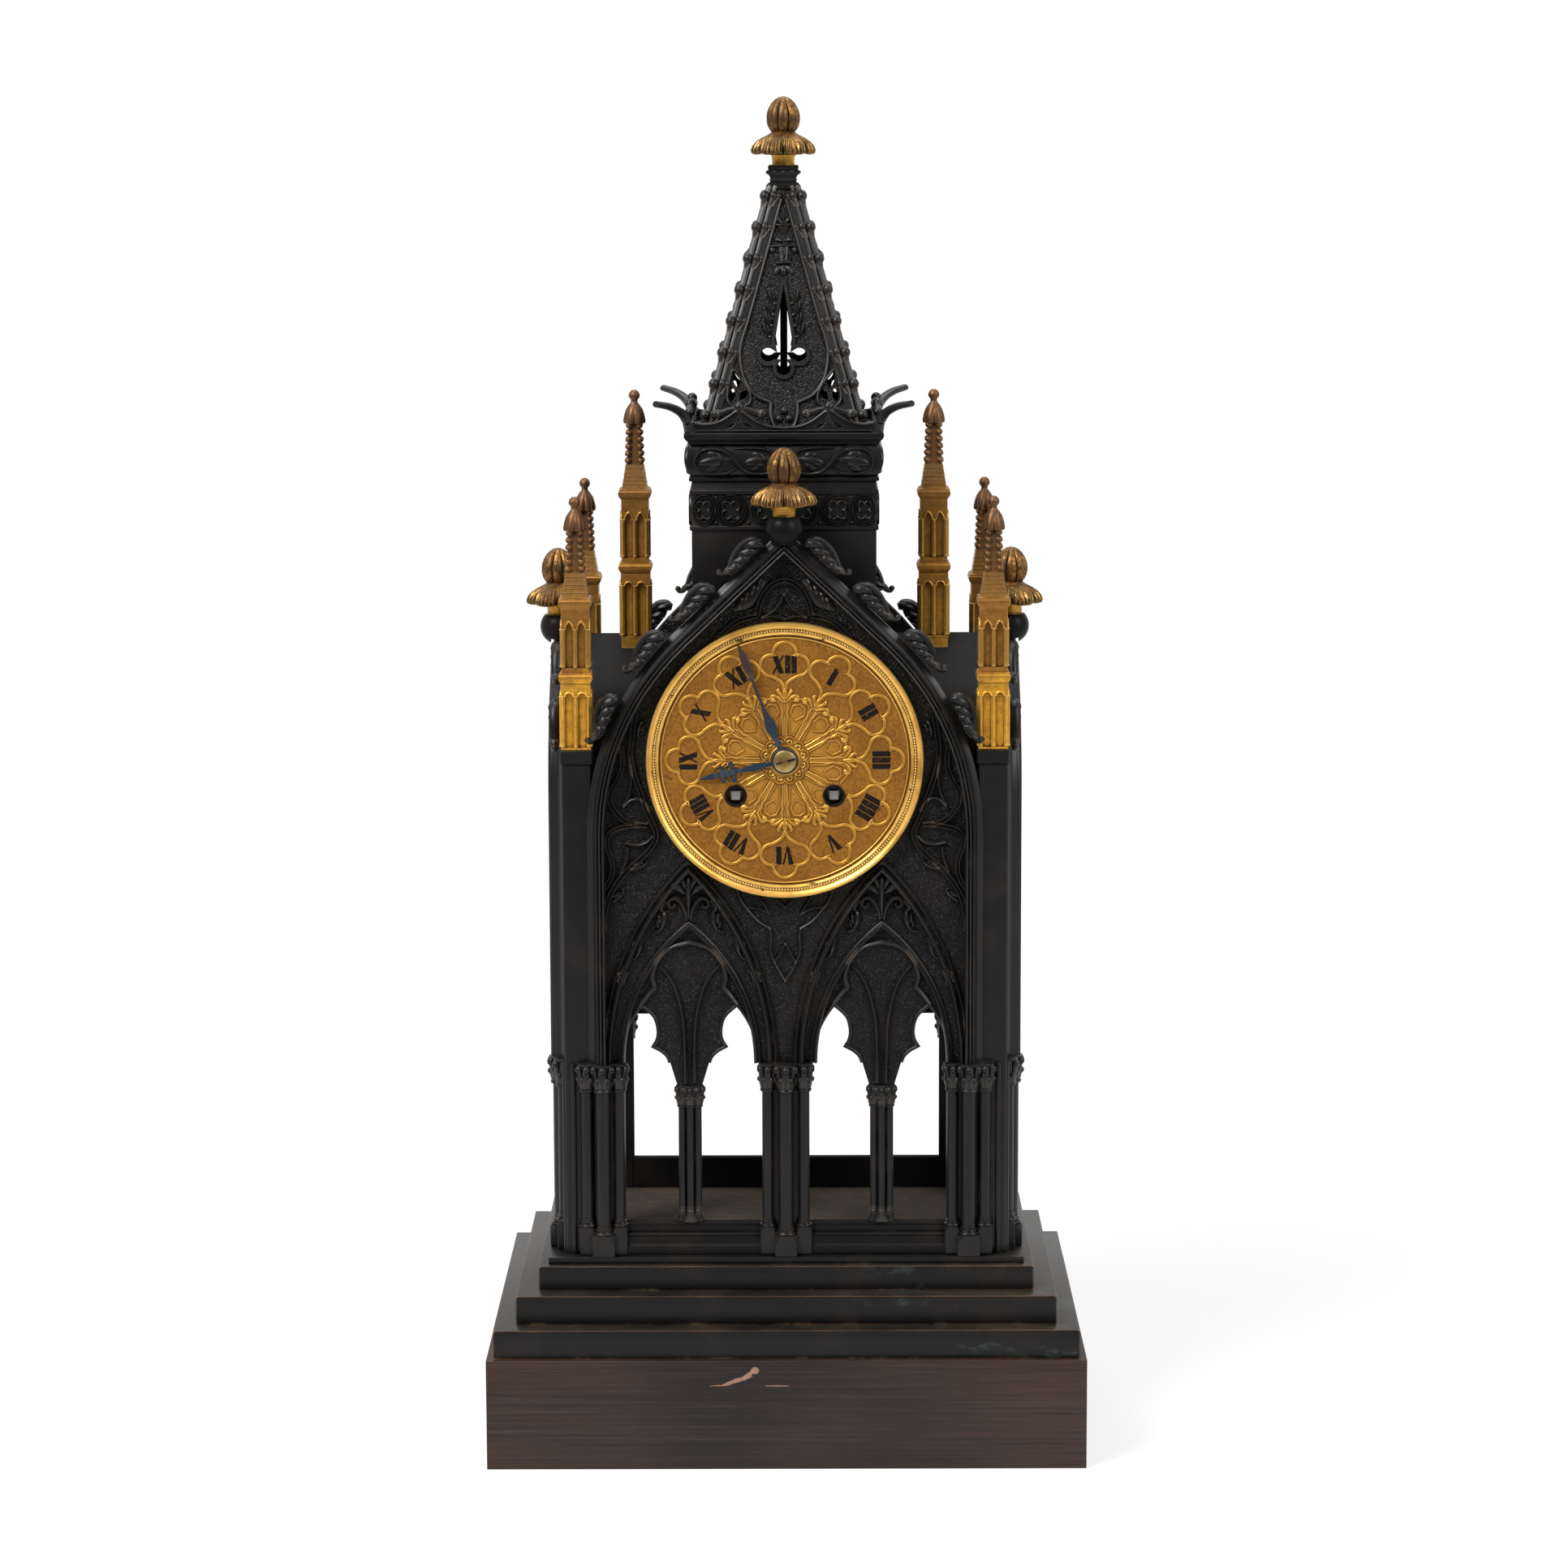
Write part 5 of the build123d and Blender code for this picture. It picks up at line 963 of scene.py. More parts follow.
# Leaves are drawn as lobes: points of u, v and share of the width, then width and height
leafDrawing = (
    ([(-0.5, -0.1, 0.3), (-0.2, -0.12, 0.7), (0.15, -0.02, 1.0), (0.42, 0.14, 0.8), (0.5, 0.3, 0.35)],
     0.40, 0.34),
    ([(-0.15, 0.0, 0.4), (0.0, 0.16, 0.9), (0.16, 0.28, 0.9), (0.3, 0.4, 0.35)], 0.30, 0.30),
    ([(-0.35, -0.02, 0.4), (-0.24, 0.12, 0.8), (-0.1, 0.22, 0.8), (0.0, 0.32, 0.3)], 0.26, 0.26),
    ([(-0.45, -0.1, 0.7), (-0.58, -0.04, 0.9), (-0.6, 0.1, 0.6)], 0.20, 0.22))
palmetteDrawing = (
    ([(0.05, 0.0, 0.6), (0.08, 0.22, 0.9), (0.17, 0.42, 1.0), (0.30, 0.55, 1.0), (0.44, 0.54, 0.9),
      (0.50, 0.42, 0.85), (0.43, 0.33, 0.8), (0.34, 0.37, 0.7), (0.36, 0.44, 0.6)], 0.14, 0.17),
    ([(0.46, 0.50, 0.5), (0.60, 0.44, 0.9), (0.68, 0.30, 0.8), (0.62, 0.20, 0.4)], 0.15, 0.14),
    ([(0.05, 0.64, 0.4), (0.20, 0.78, 1.0), (0.34, 0.85, 1.0), (0.42, 0.78, 0.4)], 0.22, 0.19),
    ([(0.03, 0.72, 0.4), (0.12, 0.94, 0.9), (0.18, 1.05, 0.9), (0.15, 1.12, 0.4)], 0.19, 0.19))
palmetteStem = (([(0, 0.05, 0.5), (0, 0.45, 0.8), (0, 0.8, 1.1), (0, 1.02, 0.9), (0, 1.16, 0.3)],
                 0.19, 0.20),)


def wallLeaf(casting, place, at, turn, size, mirror):    # a leaf of three lobes on a curled stem
    c, s = math.cos(math.radians(turn)), math.sin(math.radians(turn))

    def put(a, b, share):
        return at[0] + size * (a * c - b * mirror * s), at[1] + size * (a * s + b * mirror * c), share
    strands(casting, place, leafDrawing, put, size)


def palmette(casting, place, at, size):
    for mirror in (-1, 1):
        def put(a, b, share):
            return at[0] + size * a * mirror, at[1] + size * b, share
        strands(casting, place, palmetteDrawing, put, size)
    strands(casting, place, palmetteStem, put, size)


def quatrefoil(casting, place, centre, shape, squeeze=1.0):    # four lobes in a ring
    def oval(path):
        return (path - (centre[0], 0)) * (squeeze, 1) + (centre[0], 0)
    sweep(casting, place, oval(circle(centre, shape["radius"], shape["steps"])),
          twinProfile(*shape["ring"]), True)
    for k in range(4):
        turn = shape["turn"] + 90 * k
        hub = polar(centre, shape["hub"], turn)
        lobe = arcPath(hub, shape["lobe"], turn - shape["open"], turn + shape["open"], shape["lobeSteps"])
        sweep(casting, place, oval(lobe), rollProfile(*shape["line"]))


bayShape = {
    "arch": (32.2, 77.4), "hood": (26.5, 54.6),    # half width and rise
    "head": [(-18.5, 177.5), (-15.6, 181.4), (-13.2, 184.2)],
    "lobe": [(-13.2, 184.2), (-14.2, 188.4), (-12.4, 194.4), (-7.2, 199.8), (0, 201.8)],
    "rib": [(1.7, 146.5, 1.0), (1.9, 160.0, 1.0), (2.6, 172.0, 1.0), (5.2, 183.0, 1.0), (8.4, 189.0, 0.9),
            (11.6, 192.4, 0.5)],
    "leaves": ((25.8, 187.6, 7.8), (19.6, 199.2, 8.0), (10.2, 209.8, 7.8)), "leafTurn": 32,
    "palmetteFoot": 210.4, "palmette": 15.6,
}


def bayCarving(casting, place, bay):
    archMould(casting, place, bay, *bayShape["arch"], bayProfile)
    archMould(casting, place, bay, *bayShape["hood"], hoodProfile)
    path = np.concatenate([bayShape["head"], smoothPath(bayShape["lobe"], 6)[1:]])
    path = np.concatenate([path, mirrored(path)[1:]])
    sweep(casting, place, path + (bay, 0), rollProfile(2.5, 2.0))
    for side in (-1, 1):
        sweep(casting, place, lancetPath(side) + (bay, 0), rollProfile(1.5, 0.8, 0.5, 5))
        strand(casting, place, [(side * u + bay, v, w) for u, v, w in bayShape["rib"]], 2.1, 1.9, 5)
        for u, v, size in bayShape["leaves"]:
            wallLeaf(casting, place, (bay + side * u, v), 90 + side * bayShape["leafTurn"], size, -side)
    palmette(casting, place, (bay, bayShape["palmetteFoot"]), bayShape["palmette"])


# Flowing tracery beside the dial, drawn on its left and mirrored
flowing = [
    (2.0, [(-63.0, 278.6), (-62.4, 274.4), (-62.6, 269.8), (-64.8, 264.6), (-67.0, 261.0), (-67.3, 257.4),
           (-65.6, 253.8), (-62.4, 250.2), (-58.2, 248.2), (-53.0, 247.4)]),
    (2.0, [(-53.0, 247.4), (-57.0, 247.7), (-63.6, 246.7), (-67.4, 244.9), (-68.7, 241.8), (-68.2, 238.2),
           (-66.8, 234.2), (-66.6, 229.6), (-68.4, 225.0), (-70.6, 222.2)]),
    (2.2, [(-57.0, 294.0), (-58.4, 284.2), (-59.2, 276.5), (-58.4, 269.8), (-57.0, 265.0), (-55.2, 260.0),
           (-53.4, 254.3), (-51.2, 249.2), (-49.6, 245.1), (-50.2, 241.5), (-52.6, 237.9), (-56.2, 234.3),
           (-60.3, 230.7), (-64.0, 226.5), (-67.4, 220.9), (-69.4, 215.0), (-70.6, 206.0)]),
    (1.7, [(-62.2, 255.0), (-59.4, 257.6), (-56.0, 258.0), (-53.6, 256.2), (-52.0, 253.0)]),
    (1.7, [(-61.8, 240.9), (-57.2, 240.1), (-53.4, 241.2), (-51.0, 243.6)]),
    (1.6, [(-60.6, 239.0), (-61.3, 234.3), (-63.1, 229.4)]),
    (1.6, [(-59.2, 275.0), (-58.9, 266.6), (-59.9, 260.2), (-62.0, 255.6)]),
]
birdPanel = [
    (1.5, [(-18.6, 222.6), (-17.1, 218.4), (-14.2, 214.3), (-10.2, 209.9), (-5.8, 207.2)]),
    (1.5, [(-5.8, 207.2), (-5.5, 203.5), (-5.8, 199.7), (-4.8, 195.3), (-2.3, 190.2), (0.0, 186.4)]),
    (1.1, [(-16.6, 221.6), (-9.0, 220.9), (-5.2, 220.1), (-2.6, 218.1), (0.0, 215.4)]),
    (1.1, [(-4.2, 193.8), (-2.0, 197.4), (0.0, 201.4)]),
    (1.1, [(-10.4, 219.9), (-8.4, 217.0), (-6.4, 213.6)]),
    (1.1, [(-14.4, 215.4), (-10.0, 214.9), (-5.8, 212.8)]),
]
gableHead = [
    (2.2, [(-25.6, 320.2), (-18.5, 326.4), (-10.4, 328.9)]),
    (2.2, [(-10.4, 328.9), (-9.4, 333.4), (-7.0, 338.2), (-3.6, 341.4), (0.0, 342.4)]),
    (1.3, [(-8.6, 328.0), (-4.6, 330.4), (-1.8, 333.4), (0.0, 337.4)]),
    (1.2, [(-8.6, 328.0), (-4.4, 328.6), (0.0, 327.4)]),
]


def carve(casting, place, drawing, height):
    for width, points in drawing:
        path = smoothPath(points, 6)
        shape = twinProfile(width * 1.25, height) if width > 1.9 else rollProfile(width, height)
        sweep(casting, place, path, shape)
        sweep(casting, place, mirrored(path), shape)


def wallGround(name, places, outlines, replaces):
    ground = Casting()
    for place in places:
        plate(ground, place, outlines, -wall, 0.0, 0.3)
    return ground.make(name, groundBronze, "patinated_bronze", replaces=replaces, sharp=30)


dialHole = circle((0, dialZ), case["holeRadius"], 96)
frontOutline = wallOutline(frontOpenings(), frontGable, panelHalf)
wallGround("front_wall_ground", [frontWall], [frontOutline, dialHole], ("front_facade",))
gableLeaf = {
    "spots": ((-56.6, 231.6, 215, 6.6), (-64.6, 219.6, 235, 6.2), (-55.6, 285.0, 95, 6.0)),
    "blade": ((19.4, 331.0, 0.3), (16.8, 332.6, 0.8), (13.2, 335.4, 1.1), (9.8, 339.4, 0.9),
              (7.4, 342.4, 0.25)),
    "rib": ((17.0, 331.6, 2.2, 0.5), (16.8, 334.0, 2.3, 1.0), (15.6, 336.0, 2.3, 0.4)),
    "ribs": 4, "pitch": 2.3,    # the third value of a rib's points is its rise to the next
}
front = Casting()
coping(front, frontWall, frontGable)
for bay in bays:
    bayCarving(front, frontWall, bay)
for drawing, height in ((flowing, 2.1), (birdPanel, 1.5), (gableHead, 2.1)):
    carve(front, frontWall, drawing, height)
for side in (-1, 1):
    for u, v, turn, size in gableLeaf["spots"]:
        wallLeaf(front, frontWall, (side * -u, v), turn if side < 0 else 180 - turn, size, side)
    strand(front, frontWall, [(side * u, v, w) for u, v, w in gableLeaf["blade"]], 6.4, 1.5, 5)
    for k in range(gableLeaf["ribs"]):
        rib = [(side * (u - gableLeaf["pitch"] * k), v + rise * k, w) for u, v, rise, w in gableLeaf["rib"]]
        strand(front, frontWall, rib, 1.7, 2.0)
front.make("front_wall_carving", carvedBronze, "patinated_bronze")

rearShape = {"arch": (55.0, 30.0), "mould": (56.6, 31.4)}
rearOutline = wallOutline(archPath(0, rearShape["arch"][0], spring, rearShape["arch"][1]),
                          frontGable, panelHalf)
wallGround("rear_wall_ground", [rearWall], [rearOutline, dialHole], ("rear_facade",))
rear = Casting()
coping(rear, rearWall, frontGable)
archMould(rear, rearWall, 0, *rearShape["mould"], bayProfile, (-0.8, 0.7))
for drawing in (flowing, gableHead):
    carve(rear, rearWall, drawing, 1.5)
rear.make("rear_wall_carving", carvedBronze, "patinated_bronze")

sideShape = {
    "arch": (21.0, 42.0), "mould": (22.4, 44.2), "hood": (29.0, 66.0),
    "palmetteFoot": 221.0, "palmette": 14.0, "roseHeight": 262.0,
    "leaves": ((27.6, 189.0), (20.6, 203.0), (11.2, 214.4)), "leafTurn": 28, "leaf": 6.4,
}
rose = {"radius": 15.5, "steps": 48, "ring": (3.0, 1.8), "turn": 0, "hub": 8.0, "lobe": 5.4, "open": 118,
        "lobeSteps": 18, "line": (1.5, 1.2)}
sideWalls = [wallOn(side, halfWidth) for side in ("right", "left")]
sideArch = archPath(0, sideShape["arch"][0], spring, sideShape["arch"][1])
sideOutline = wallOutline(sideArch, sideGable, sidePanelHalf, 0.05)
wallGround("side_wall_ground", sideWalls, [sideOutline], ("side_facades",))
sideCarving = Casting()
for place in sideWalls:
    coping(sideCarving, place, sideGable)
    archMould(sideCarving, place, 0, *sideShape["mould"], bayProfile, (-0.9, 0.9))
    archMould(sideCarving, place, 0, *sideShape["hood"], hoodProfile)
    palmette(sideCarving, place, (0, sideShape["palmetteFoot"]), sideShape["palmette"])
    for mirror in (-1, 1):
        for u, v in sideShape["leaves"]:
            turn = 90 + mirror * sideShape["leafTurn"]
            wallLeaf(sideCarving, place, (mirror * u, v), turn, sideShape["leaf"], -mirror)
    quatrefoil(sideCarving, place, (0, sideShape["roseHeight"]), rose)
sideCarving.make("side_wall_carving", carvedBronze, "patinated_bronze")
print("walls made")


# Crocket leaves that climb the gables, each a fan of curled lobes
crocket = {    # points of a down the slope, b off it and a radius
    "spine": ((-9.0, 1.6, 0.8), (-8.3, 3.8, 1.5), (-5.4, 5.8, 1.9), (-1.0, 6.1, 1.8), (3.4, 4.9, 1.6),
              (7.0, 3.2, 1.4), (9.6, 2.8, 1.2), (11.2, 3.8, 1.0), (11.0, 5.2, 0.8)),
    "blade": ((-7.6, 2.6, 1.0), (-5.0, 3.2, 2.6), (-1.0, 3.2, 2.9), (3.0, 2.5, 2.3), (6.6, 1.8, 1.4),
              (8.6, 1.8, 0.7)),
    "curl": (10.8, 4.8), "curlRadius": 1.2,
    "lobes": 4, "first": -5.2, "pitch": 4.0, "shrink": 0.13,
    "frontPlaces": (13.5, 32.0, 50.5, 66.5), "sidePlaces": (15.0, 32.5), "seat": 0.2,
}


def crocketLeaf(casting, place):
    tube(casting, [(*place(a, b), r) for a, b, r in crocket["spine"]], 10, (0.85, 1.25), place.side)
    ball(casting, place(*crocket["curl"]), crocket["curlRadius"])
    tube(casting, [(*place(a, b), r) for a, b, r in crocket["blade"]], 10, (1.0, 0.45), place.side)
    for k in range(crocket["lobes"]):
        a = crocket["first"] + crocket["pitch"] * k
        grow = 1.0 - crocket["shrink"] * k
        lobe = ((a + 3.2, 5.4 * grow, 1.0), (a + 1.4, 5.0 * grow, 1.7), (a - 0.7, 3.9 * grow, 2.15),
                (a - 2.4, 2.3, 2.1), (a - 3.2, 0.7, 1.4))
        tube(casting, [(*place(u, v), r * (0.6 + 0.4 * grow)) for u, v, r in lobe],
             12, (0.95, 1.25), place.side)


class SlopeSeat:    # where a leaf sits on a gable's edge
    def __init__(self, wallName, reach, shape, across, mirror):
        self.height, self.turn = gablePoint(shape, across)
        self.across, self.mirror = across, mirror
        self.wall = wallOn(wallName, reach)
        self.side = (0, 1, 0) if wallName in ("front", "rear") else (1, 0, 0)

    def __call__(self, a, b):
        out = b + crocket["seat"]
        u = self.across + out * math.cos(self.turn) + a * math.sin(self.turn)
        v = self.height + out * math.sin(self.turn) - a * math.cos(self.turn)
        return spot(self.wall, u * self.mirror, v)


crockets = Casting()
copingMiddle = 3.0
for wallName in allSides:
    along = wallName in ("front", "rear")
    reach, shape = (halfDepth, frontGable) if along else (halfWidth, sideGable)
    for across in crocket["frontPlaces" if along else "sidePlaces"]:
        for mirror in (-1, 1):
            crocketLeaf(crockets, SlopeSeat(wallName, reach + copingMiddle, shape, across, mirror))
crockets.make("gable_crockets_cast", leafBronze, "patinated_bronze", replaces=("gable_crockets",))

# Gilt finials: ribbed bud over drooping leaves
finialShape = [(4.5, 0), (4.55, 3.0), (4.9, 3.4), (5.0, 3.9), (4.4, 4.4), (5.5, 4.9), (8.6, 4.7), (11.3, 4.3),
               (12.4, 4.7), (12.75, 5.8), (12.1, 7.6), (10.6, 9.2), (8.6, 10.5), (6.6, 11.4), (5.2, 12.2),
               (4.7, 12.9)]
budShape = [(3.6, 12.3), (4.6, 12.8), (5.4, 13.6), (6.1, 15.0), (6.5, 16.8), (6.6, 18.4), (6.3, 20.2),
            (5.6, 22.0), (4.5, 23.8), (3.1, 25.2), (1.6, 26.0), (0.1, 26.3)]


def leafLobes(turn, radius, height):    # six leaves, each ribbed, drooping between the tips
    reach = np.clip((radius - 5.0) / 7.5, 0, 1)
    wave = np.abs(np.cos(3 * turn)) ** 0.5
    ribs = np.cos(48 * turn)
    spread = 0.965 - 0.36 * reach * (1 - wave) + ribs * 0.030 * reach
    return radius * spread, height - 0.9 * reach * wave + 0.5 * reach + 0.17 * reach * ribs


def budRibs(turn, radius, height):
    groove = np.abs(np.cos(4 * turn)) ** 0.45
    veins = np.cos(32 * turn + (height - 19.0) * 0.9 * np.sign(np.sin(8 * turn))) * 0.022
    return radius * (0.75 + 0.225 * groove + veins), height


def finial(casting, x, y, foot):
    lathe(casting, [(r, z + foot) for r, z in finialShape], 216, (x, y), leafLobes)
    lathe(casting, [(r, z + foot) for r, z in budShape], 128, (x, y), budRibs)


frontApex = gablePoint(frontGable, 0)[0]
sideApex = gablePoint(sideGable, 0)[0]
ballFlat = 4.7    # from a gable's apex to the flat on its ball
collarTop = 498.9
finials, topFinial = Casting(), Casting()
for way in (-1, 1):
    finial(finials, 0, way * (halfDepth + copingMiddle), frontApex + ballFlat)
for way in (-1, 1):
    finial(finials, way * (halfWidth + copingMiddle), 0, sideApex + ballFlat)
finial(topFinial, 0, 0, collarTop)
finials.make("gable_finials_cast", finialGilt, "gilt_bronze", replaces=("gable_finials",), sharp=60)
topFinial.make("spire_finial_cast", finialGilt, "gilt_bronze", replaces=("spire_finial",), sharp=60)

# Pinnacles: two niched stages, stepped roof, beaded spirelet and leaf cap
stages = {
    # foot, top and half width of a stage, then the foot and springing of its niches
    "niches": ((0.0, 25.4, 5.7, 0.8, 20.6, False), (29.9, 54.3, 5.3, 31.6, 46.5, True)),
    "plate": 1.5, "lap": 1.45, "core": 1.4,
    "cornices": ((25.4, 29.9, 6.5), (54.3, 58.8, 6.4)),
    # set back and share of the height
    "cornice": ((1.1, 0.0), (0.9, 0.1), (0.25, 0.3), (0.0, 0.45), (0.0, 0.68), (0.3, 0.75), (0.35, 0.9),
                (1.0, 1.0)),
    "roof": ((58.8, 62.0, 5.0), (62.0, 65.2, 4.5), (65.2, 68.2, 4.0)), "roofStep": 0.2,
    "spirelet": (68.2, 84.6, 3.0, 2.2), "beads": 6, "beadRadius": 1.4,
    "cap": ((1.2, 84.2), (2.6, 84.3), (4.2, 84.5), (4.4, 85.6), (4.0, 87.6), (3.3, 89.6), (2.2, 91.2),
            (1.3, 92.2), (1.3, 93.2), (2.1, 94.2), (2.2, 95.2), (1.7, 96.3), (0.8, 97.0), (0.1, 97.1)),
    "leafTop": 91.5,
}


def nicheFace(casting, side, half, low, high, foot, headRise, pointed):
    place = wallOn(side, half)
    # the side plates stand between the other two
    edge = half if side in ("front", "rear") else half - stages["lap"]
    outline = np.array([(-edge, low), (edge, low), (edge, high), (-edge, high)])
    holes = []
    wide = half * 0.29
    for mid in (-half * 0.44, half * 0.44):
        if pointed:
            arch = archPath(mid, wide, headRise, wide * 2.0, 8)
        else:
            arch = arcPath((mid, headRise), wide, 180, 0, 12)
        holes.append(np.concatenate([[(mid - wide, foot)], arch, [(mid + wide, foot)]]))
        sweep(casting, place, arch, rollProfile(0.9, 0.55, 0.2, 5))
    for mid in (-half * 0.87, 0.0, half * 0.87):    # slim colonnettes with ring capitals
        sweep(casting, place, np.array([(mid, foot + 0.3), (mid, headRise)]), rollProfile(1.0, 0.6, 0.2, 5))
        for v in (foot + 0.8, headRise):
            ball(casting, spot(place, mid, v, 0.1), 0.7, (1, 1, 0.6), 8)
    plate(casting, place, [outline] + holes, -stages["plate"], 0.0, 0.12)


def capLeaves(turn, radius, height):
    share = np.clip((stages["leafTop"] - height) / 6.0, 0, 1)
    wave = np.abs(np.cos(3 * turn))
    return radius * (1 - 0.26 * share * (1 - wave ** 0.7)), height - 0.5 * share * wave


def buildPinnacle():
    pin = Casting()
    for low, high, half, foot, headRise, pointed in stages["niches"]:
        core = half - stages["core"]
        softBox(pin, (-core, -core, low), (core, core, high), 0.1)
        for side in allSides:
            nicheFace(pin, side, half, low, high, foot, headRise, pointed)
    for low, high, half in stages["cornices"]:
        squareRun(pin, [(half - back, low + (high - low) * share) for back, share in stages["cornice"]])
    for low, high, half in stages["roof"]:
        for k in range(2):
            z0, z1 = low + (high - low) * k / 2, low + (high - low) * (k + 1) / 2
            wide = half - stages["roofStep"] * k
            squareRun(pin, [(wide, z0), (wide - 0.05, z0 + 0.25), (wide - 0.35, z1 - 0.15), (wide - 0.6, z1)])
    low, high, wide, narrow = stages["spirelet"]
    squareRun(pin, [(wide * 0.88, low - 0.5), (wide * 0.85, low + 0.5), (narrow * 0.84, high),
                    (narrow * 0.7, high + 1.0)])
    for k in range(stages["beads"]):
        share = (k + 0.5) / stages["beads"]
        half = (wide + (narrow - wide) * share) * 0.86
        for x, y in allCorners:
            ball(pin, (x * half, y * half, low + (high - low) * share), stages["beadRadius"], (1, 1, 0.9), 10)
    lathe(pin, stages["cap"], 48, (0, 0), capLeaves)
    return pin


pinnacle = buildPinnacle()
pierX, pierY = halfWidth - case["pier"] / 2, halfDepth - case["pier"] / 2
pierSet, ridgeSet = Casting(), Casting()
pierSet.copies(pinnacle, [lambda p, x=x, y=y: p + (x * pierX, y * pierY, pierTop) for x, y in allCorners])
pierSet.make("pier_pinnacles_cast", pinnacleGilt, "gilt_bronze", replaces=("pinnacles",), sharp=42)
ridgePlaces, ridgeHalf = (-58.5, 58.5), 5.6
ridgeFoot = sideApex - 2.0 / math.sin(gableTurn) - 1.5
ridgeSet.copies(pinnacle, [lambda p, x=x: p + (x, 0, ridgeFoot) for x in ridgePlaces])
for x in ridgePlaces:
    softBox(ridgeSet, (x - ridgeHalf, -ridgeHalf, ridgeFoot - 4.4),
            (x + ridgeHalf, ridgeHalf, ridgeFoot + 0.2), 0.3)
ridgeSet.make("ridge_pinnacles_cast", ridgeGilt, "gilt_bronze", replaces=("pinnacles",), sharp=42)
print("gilt ornaments made")

# Tower with quatrefoil band, vine frieze and cornice
tower = {
    "half": 35.5, "bandLow": 362.1, "bandHigh": 374.1, "friezeLow": 379.2, "friezeFoot": 381.0,
    "corniceLow": 392.9, "corniceTop": 397.9, "bulge": 1.8, "friezeSteps": 15,
    # how far each edge stands out, and its height above the frieze's or the cornice's foot
    "foot": ((-3.0, 0.0), (0.7, 0.0), (1.0, 0.4), (1.0, 1.1), (0.5, 1.6), (-0.2, 1.75)),
    "cornice": ((0.3, 0.0), (0.6, 0.4), (1.2, 0.7), (1.2, 1.3), (1.6, 1.7), (2.5, 2.6), (2.6, 3.0),
                (2.8, 3.2), (2.8, 4.5), (2.5, 5.0)),
    "rounds": ((-30.9, 0.72), (-20.4, 1.0), (-6.8, 1.0), (6.8, 1.0), (20.4, 1.0), (30.9, 0.72)),
    "studs": (-26.0, -13.6, 0.0, 13.6, 26.0), "studRise": 4.9, "studRadius": 0.75, "rodHole": 1.6,
}
towerFoil = {"radius": 5.3, "steps": 36, "ring": (1.9, 1.2), "turn": 45, "hub": 2.35, "lobe": 1.75,
             "open": 122, "lobeSteps": 14, "line": (1.0, 1.0)}
vine = {    # points of u, v and share of the width, then the width
    "stems": (
        ([(33.0, -3.4, 0.5), (34.2, 0.0, 0.8), (31.6, 4.3, 1.0), (25.6, 5.0, 1.0), (20.8, 2.6, 1.0),
          (17.2, -1.8, 1.0), (12.8, -4.8, 1.0), (6.4, -4.9, 0.9), (2.6, -2.6, 0.5)], 1.9),
        ([(19.0, 5.0, 0.5), (13.0, 5.2, 0.9), (6.4, 4.4, 0.9), (2.8, 1.4, 0.5)], 1.4),
        ([(33.0, -3.4, 0.5), (28.6, -5.0, 0.9), (22.0, -4.6, 0.9), (17.6, -2.4, 0.4)], 1.6)),
    "leaf": (
        ([(-6.4, 1.2, 0.2), (-3.6, 0.9, 0.5), (-0.6, 0.3, 1.0), (2.6, -0.3, 1.1), (5.2, -0.8, 0.7),
          (6.2, -1.2, 0.2)], 3.6),
        ([(-2.4, 0.8, 0.3), (-0.6, 2.4, 1.0), (1.8, 3.1, 0.8), (3.0, 2.6, 0.3)], 2.9),
        ([(-1.6, -0.2, 0.3), (-0.4, -2.0, 1.0), (1.6, -3.1, 0.8), (2.8, -3.2, 0.3)], 2.9)),
    "hubs": ((26.4, 1.0), (9.6, 0.88)),    # place and size of each leaf
}
softened("tower", 0.35, plainBronze)


def friezeBulge(v):
    share = np.clip((v - tower["friezeFoot"]) / (tower["corniceLow"] - tower["friezeFoot"]), 0, 1)
    return tower["bulge"] * np.sqrt(np.clip(1 - (2 * share - 1) ** 2, 0, 1))


entablature, towerCarving = Casting(), Casting()
profile = [(tower["half"] + out, tower["friezeLow"] + up) for out, up in tower["foot"]]
for z in np.linspace(tower["friezeFoot"], tower["corniceLow"], tower["friezeSteps"]):
    profile.append((tower["half"] - 0.1 + float(friezeBulge(z)), z))
profile += [(tower["half"] + out, tower["corniceLow"] + up) for out, up in tower["cornice"]]
squareRun(entablature, profile + [(tower["rodHole"], tower["corniceTop"])])
entablature.make("entablature_cast", plainBronze, "patinated_bronze",
                 replaces=("tower_entablature",), sharp=30)

bandMiddle = (tower["bandLow"] + tower["bandHigh"]) / 2
friezeMiddle = (tower["friezeFoot"] + tower["corniceLow"]) / 2
for side in allSides:
    flat = wallOn(side, tower["half"])
    for u, squeeze in tower["rounds"]:
        quatrefoil(towerCarving, flat, (u, bandMiddle), towerFoil, squeeze)
    for u in tower["studs"]:
        for v in (-tower["studRise"], tower["studRise"]):
            ball(towerCarving, spot(flat, u, bandMiddle + v), tower["studRadius"], sides=8)
    swell = wallOn(side, tower["half"] - 0.1, friezeBulge)
    for half in (-1, 1):
        for points, width in vine["stems"]:
            strand(towerCarving, swell, [(half * u, friezeMiddle + v, w) for u, v, w in points],
                   width, 1.4, 6)
        for hub, grow in vine["hubs"]:    # a three-lobed leaf lies in each turn of the vine
            for points, width in vine["leaf"]:
                leaf = [(half * (hub + u * grow), friezeMiddle + v * grow, w) for u, v, w in points]
                strand(towerCarving, swell, leaf, width, 0.9, 5)
towerCarving.make("tower_carving", plainBronze, "patinated_bronze")

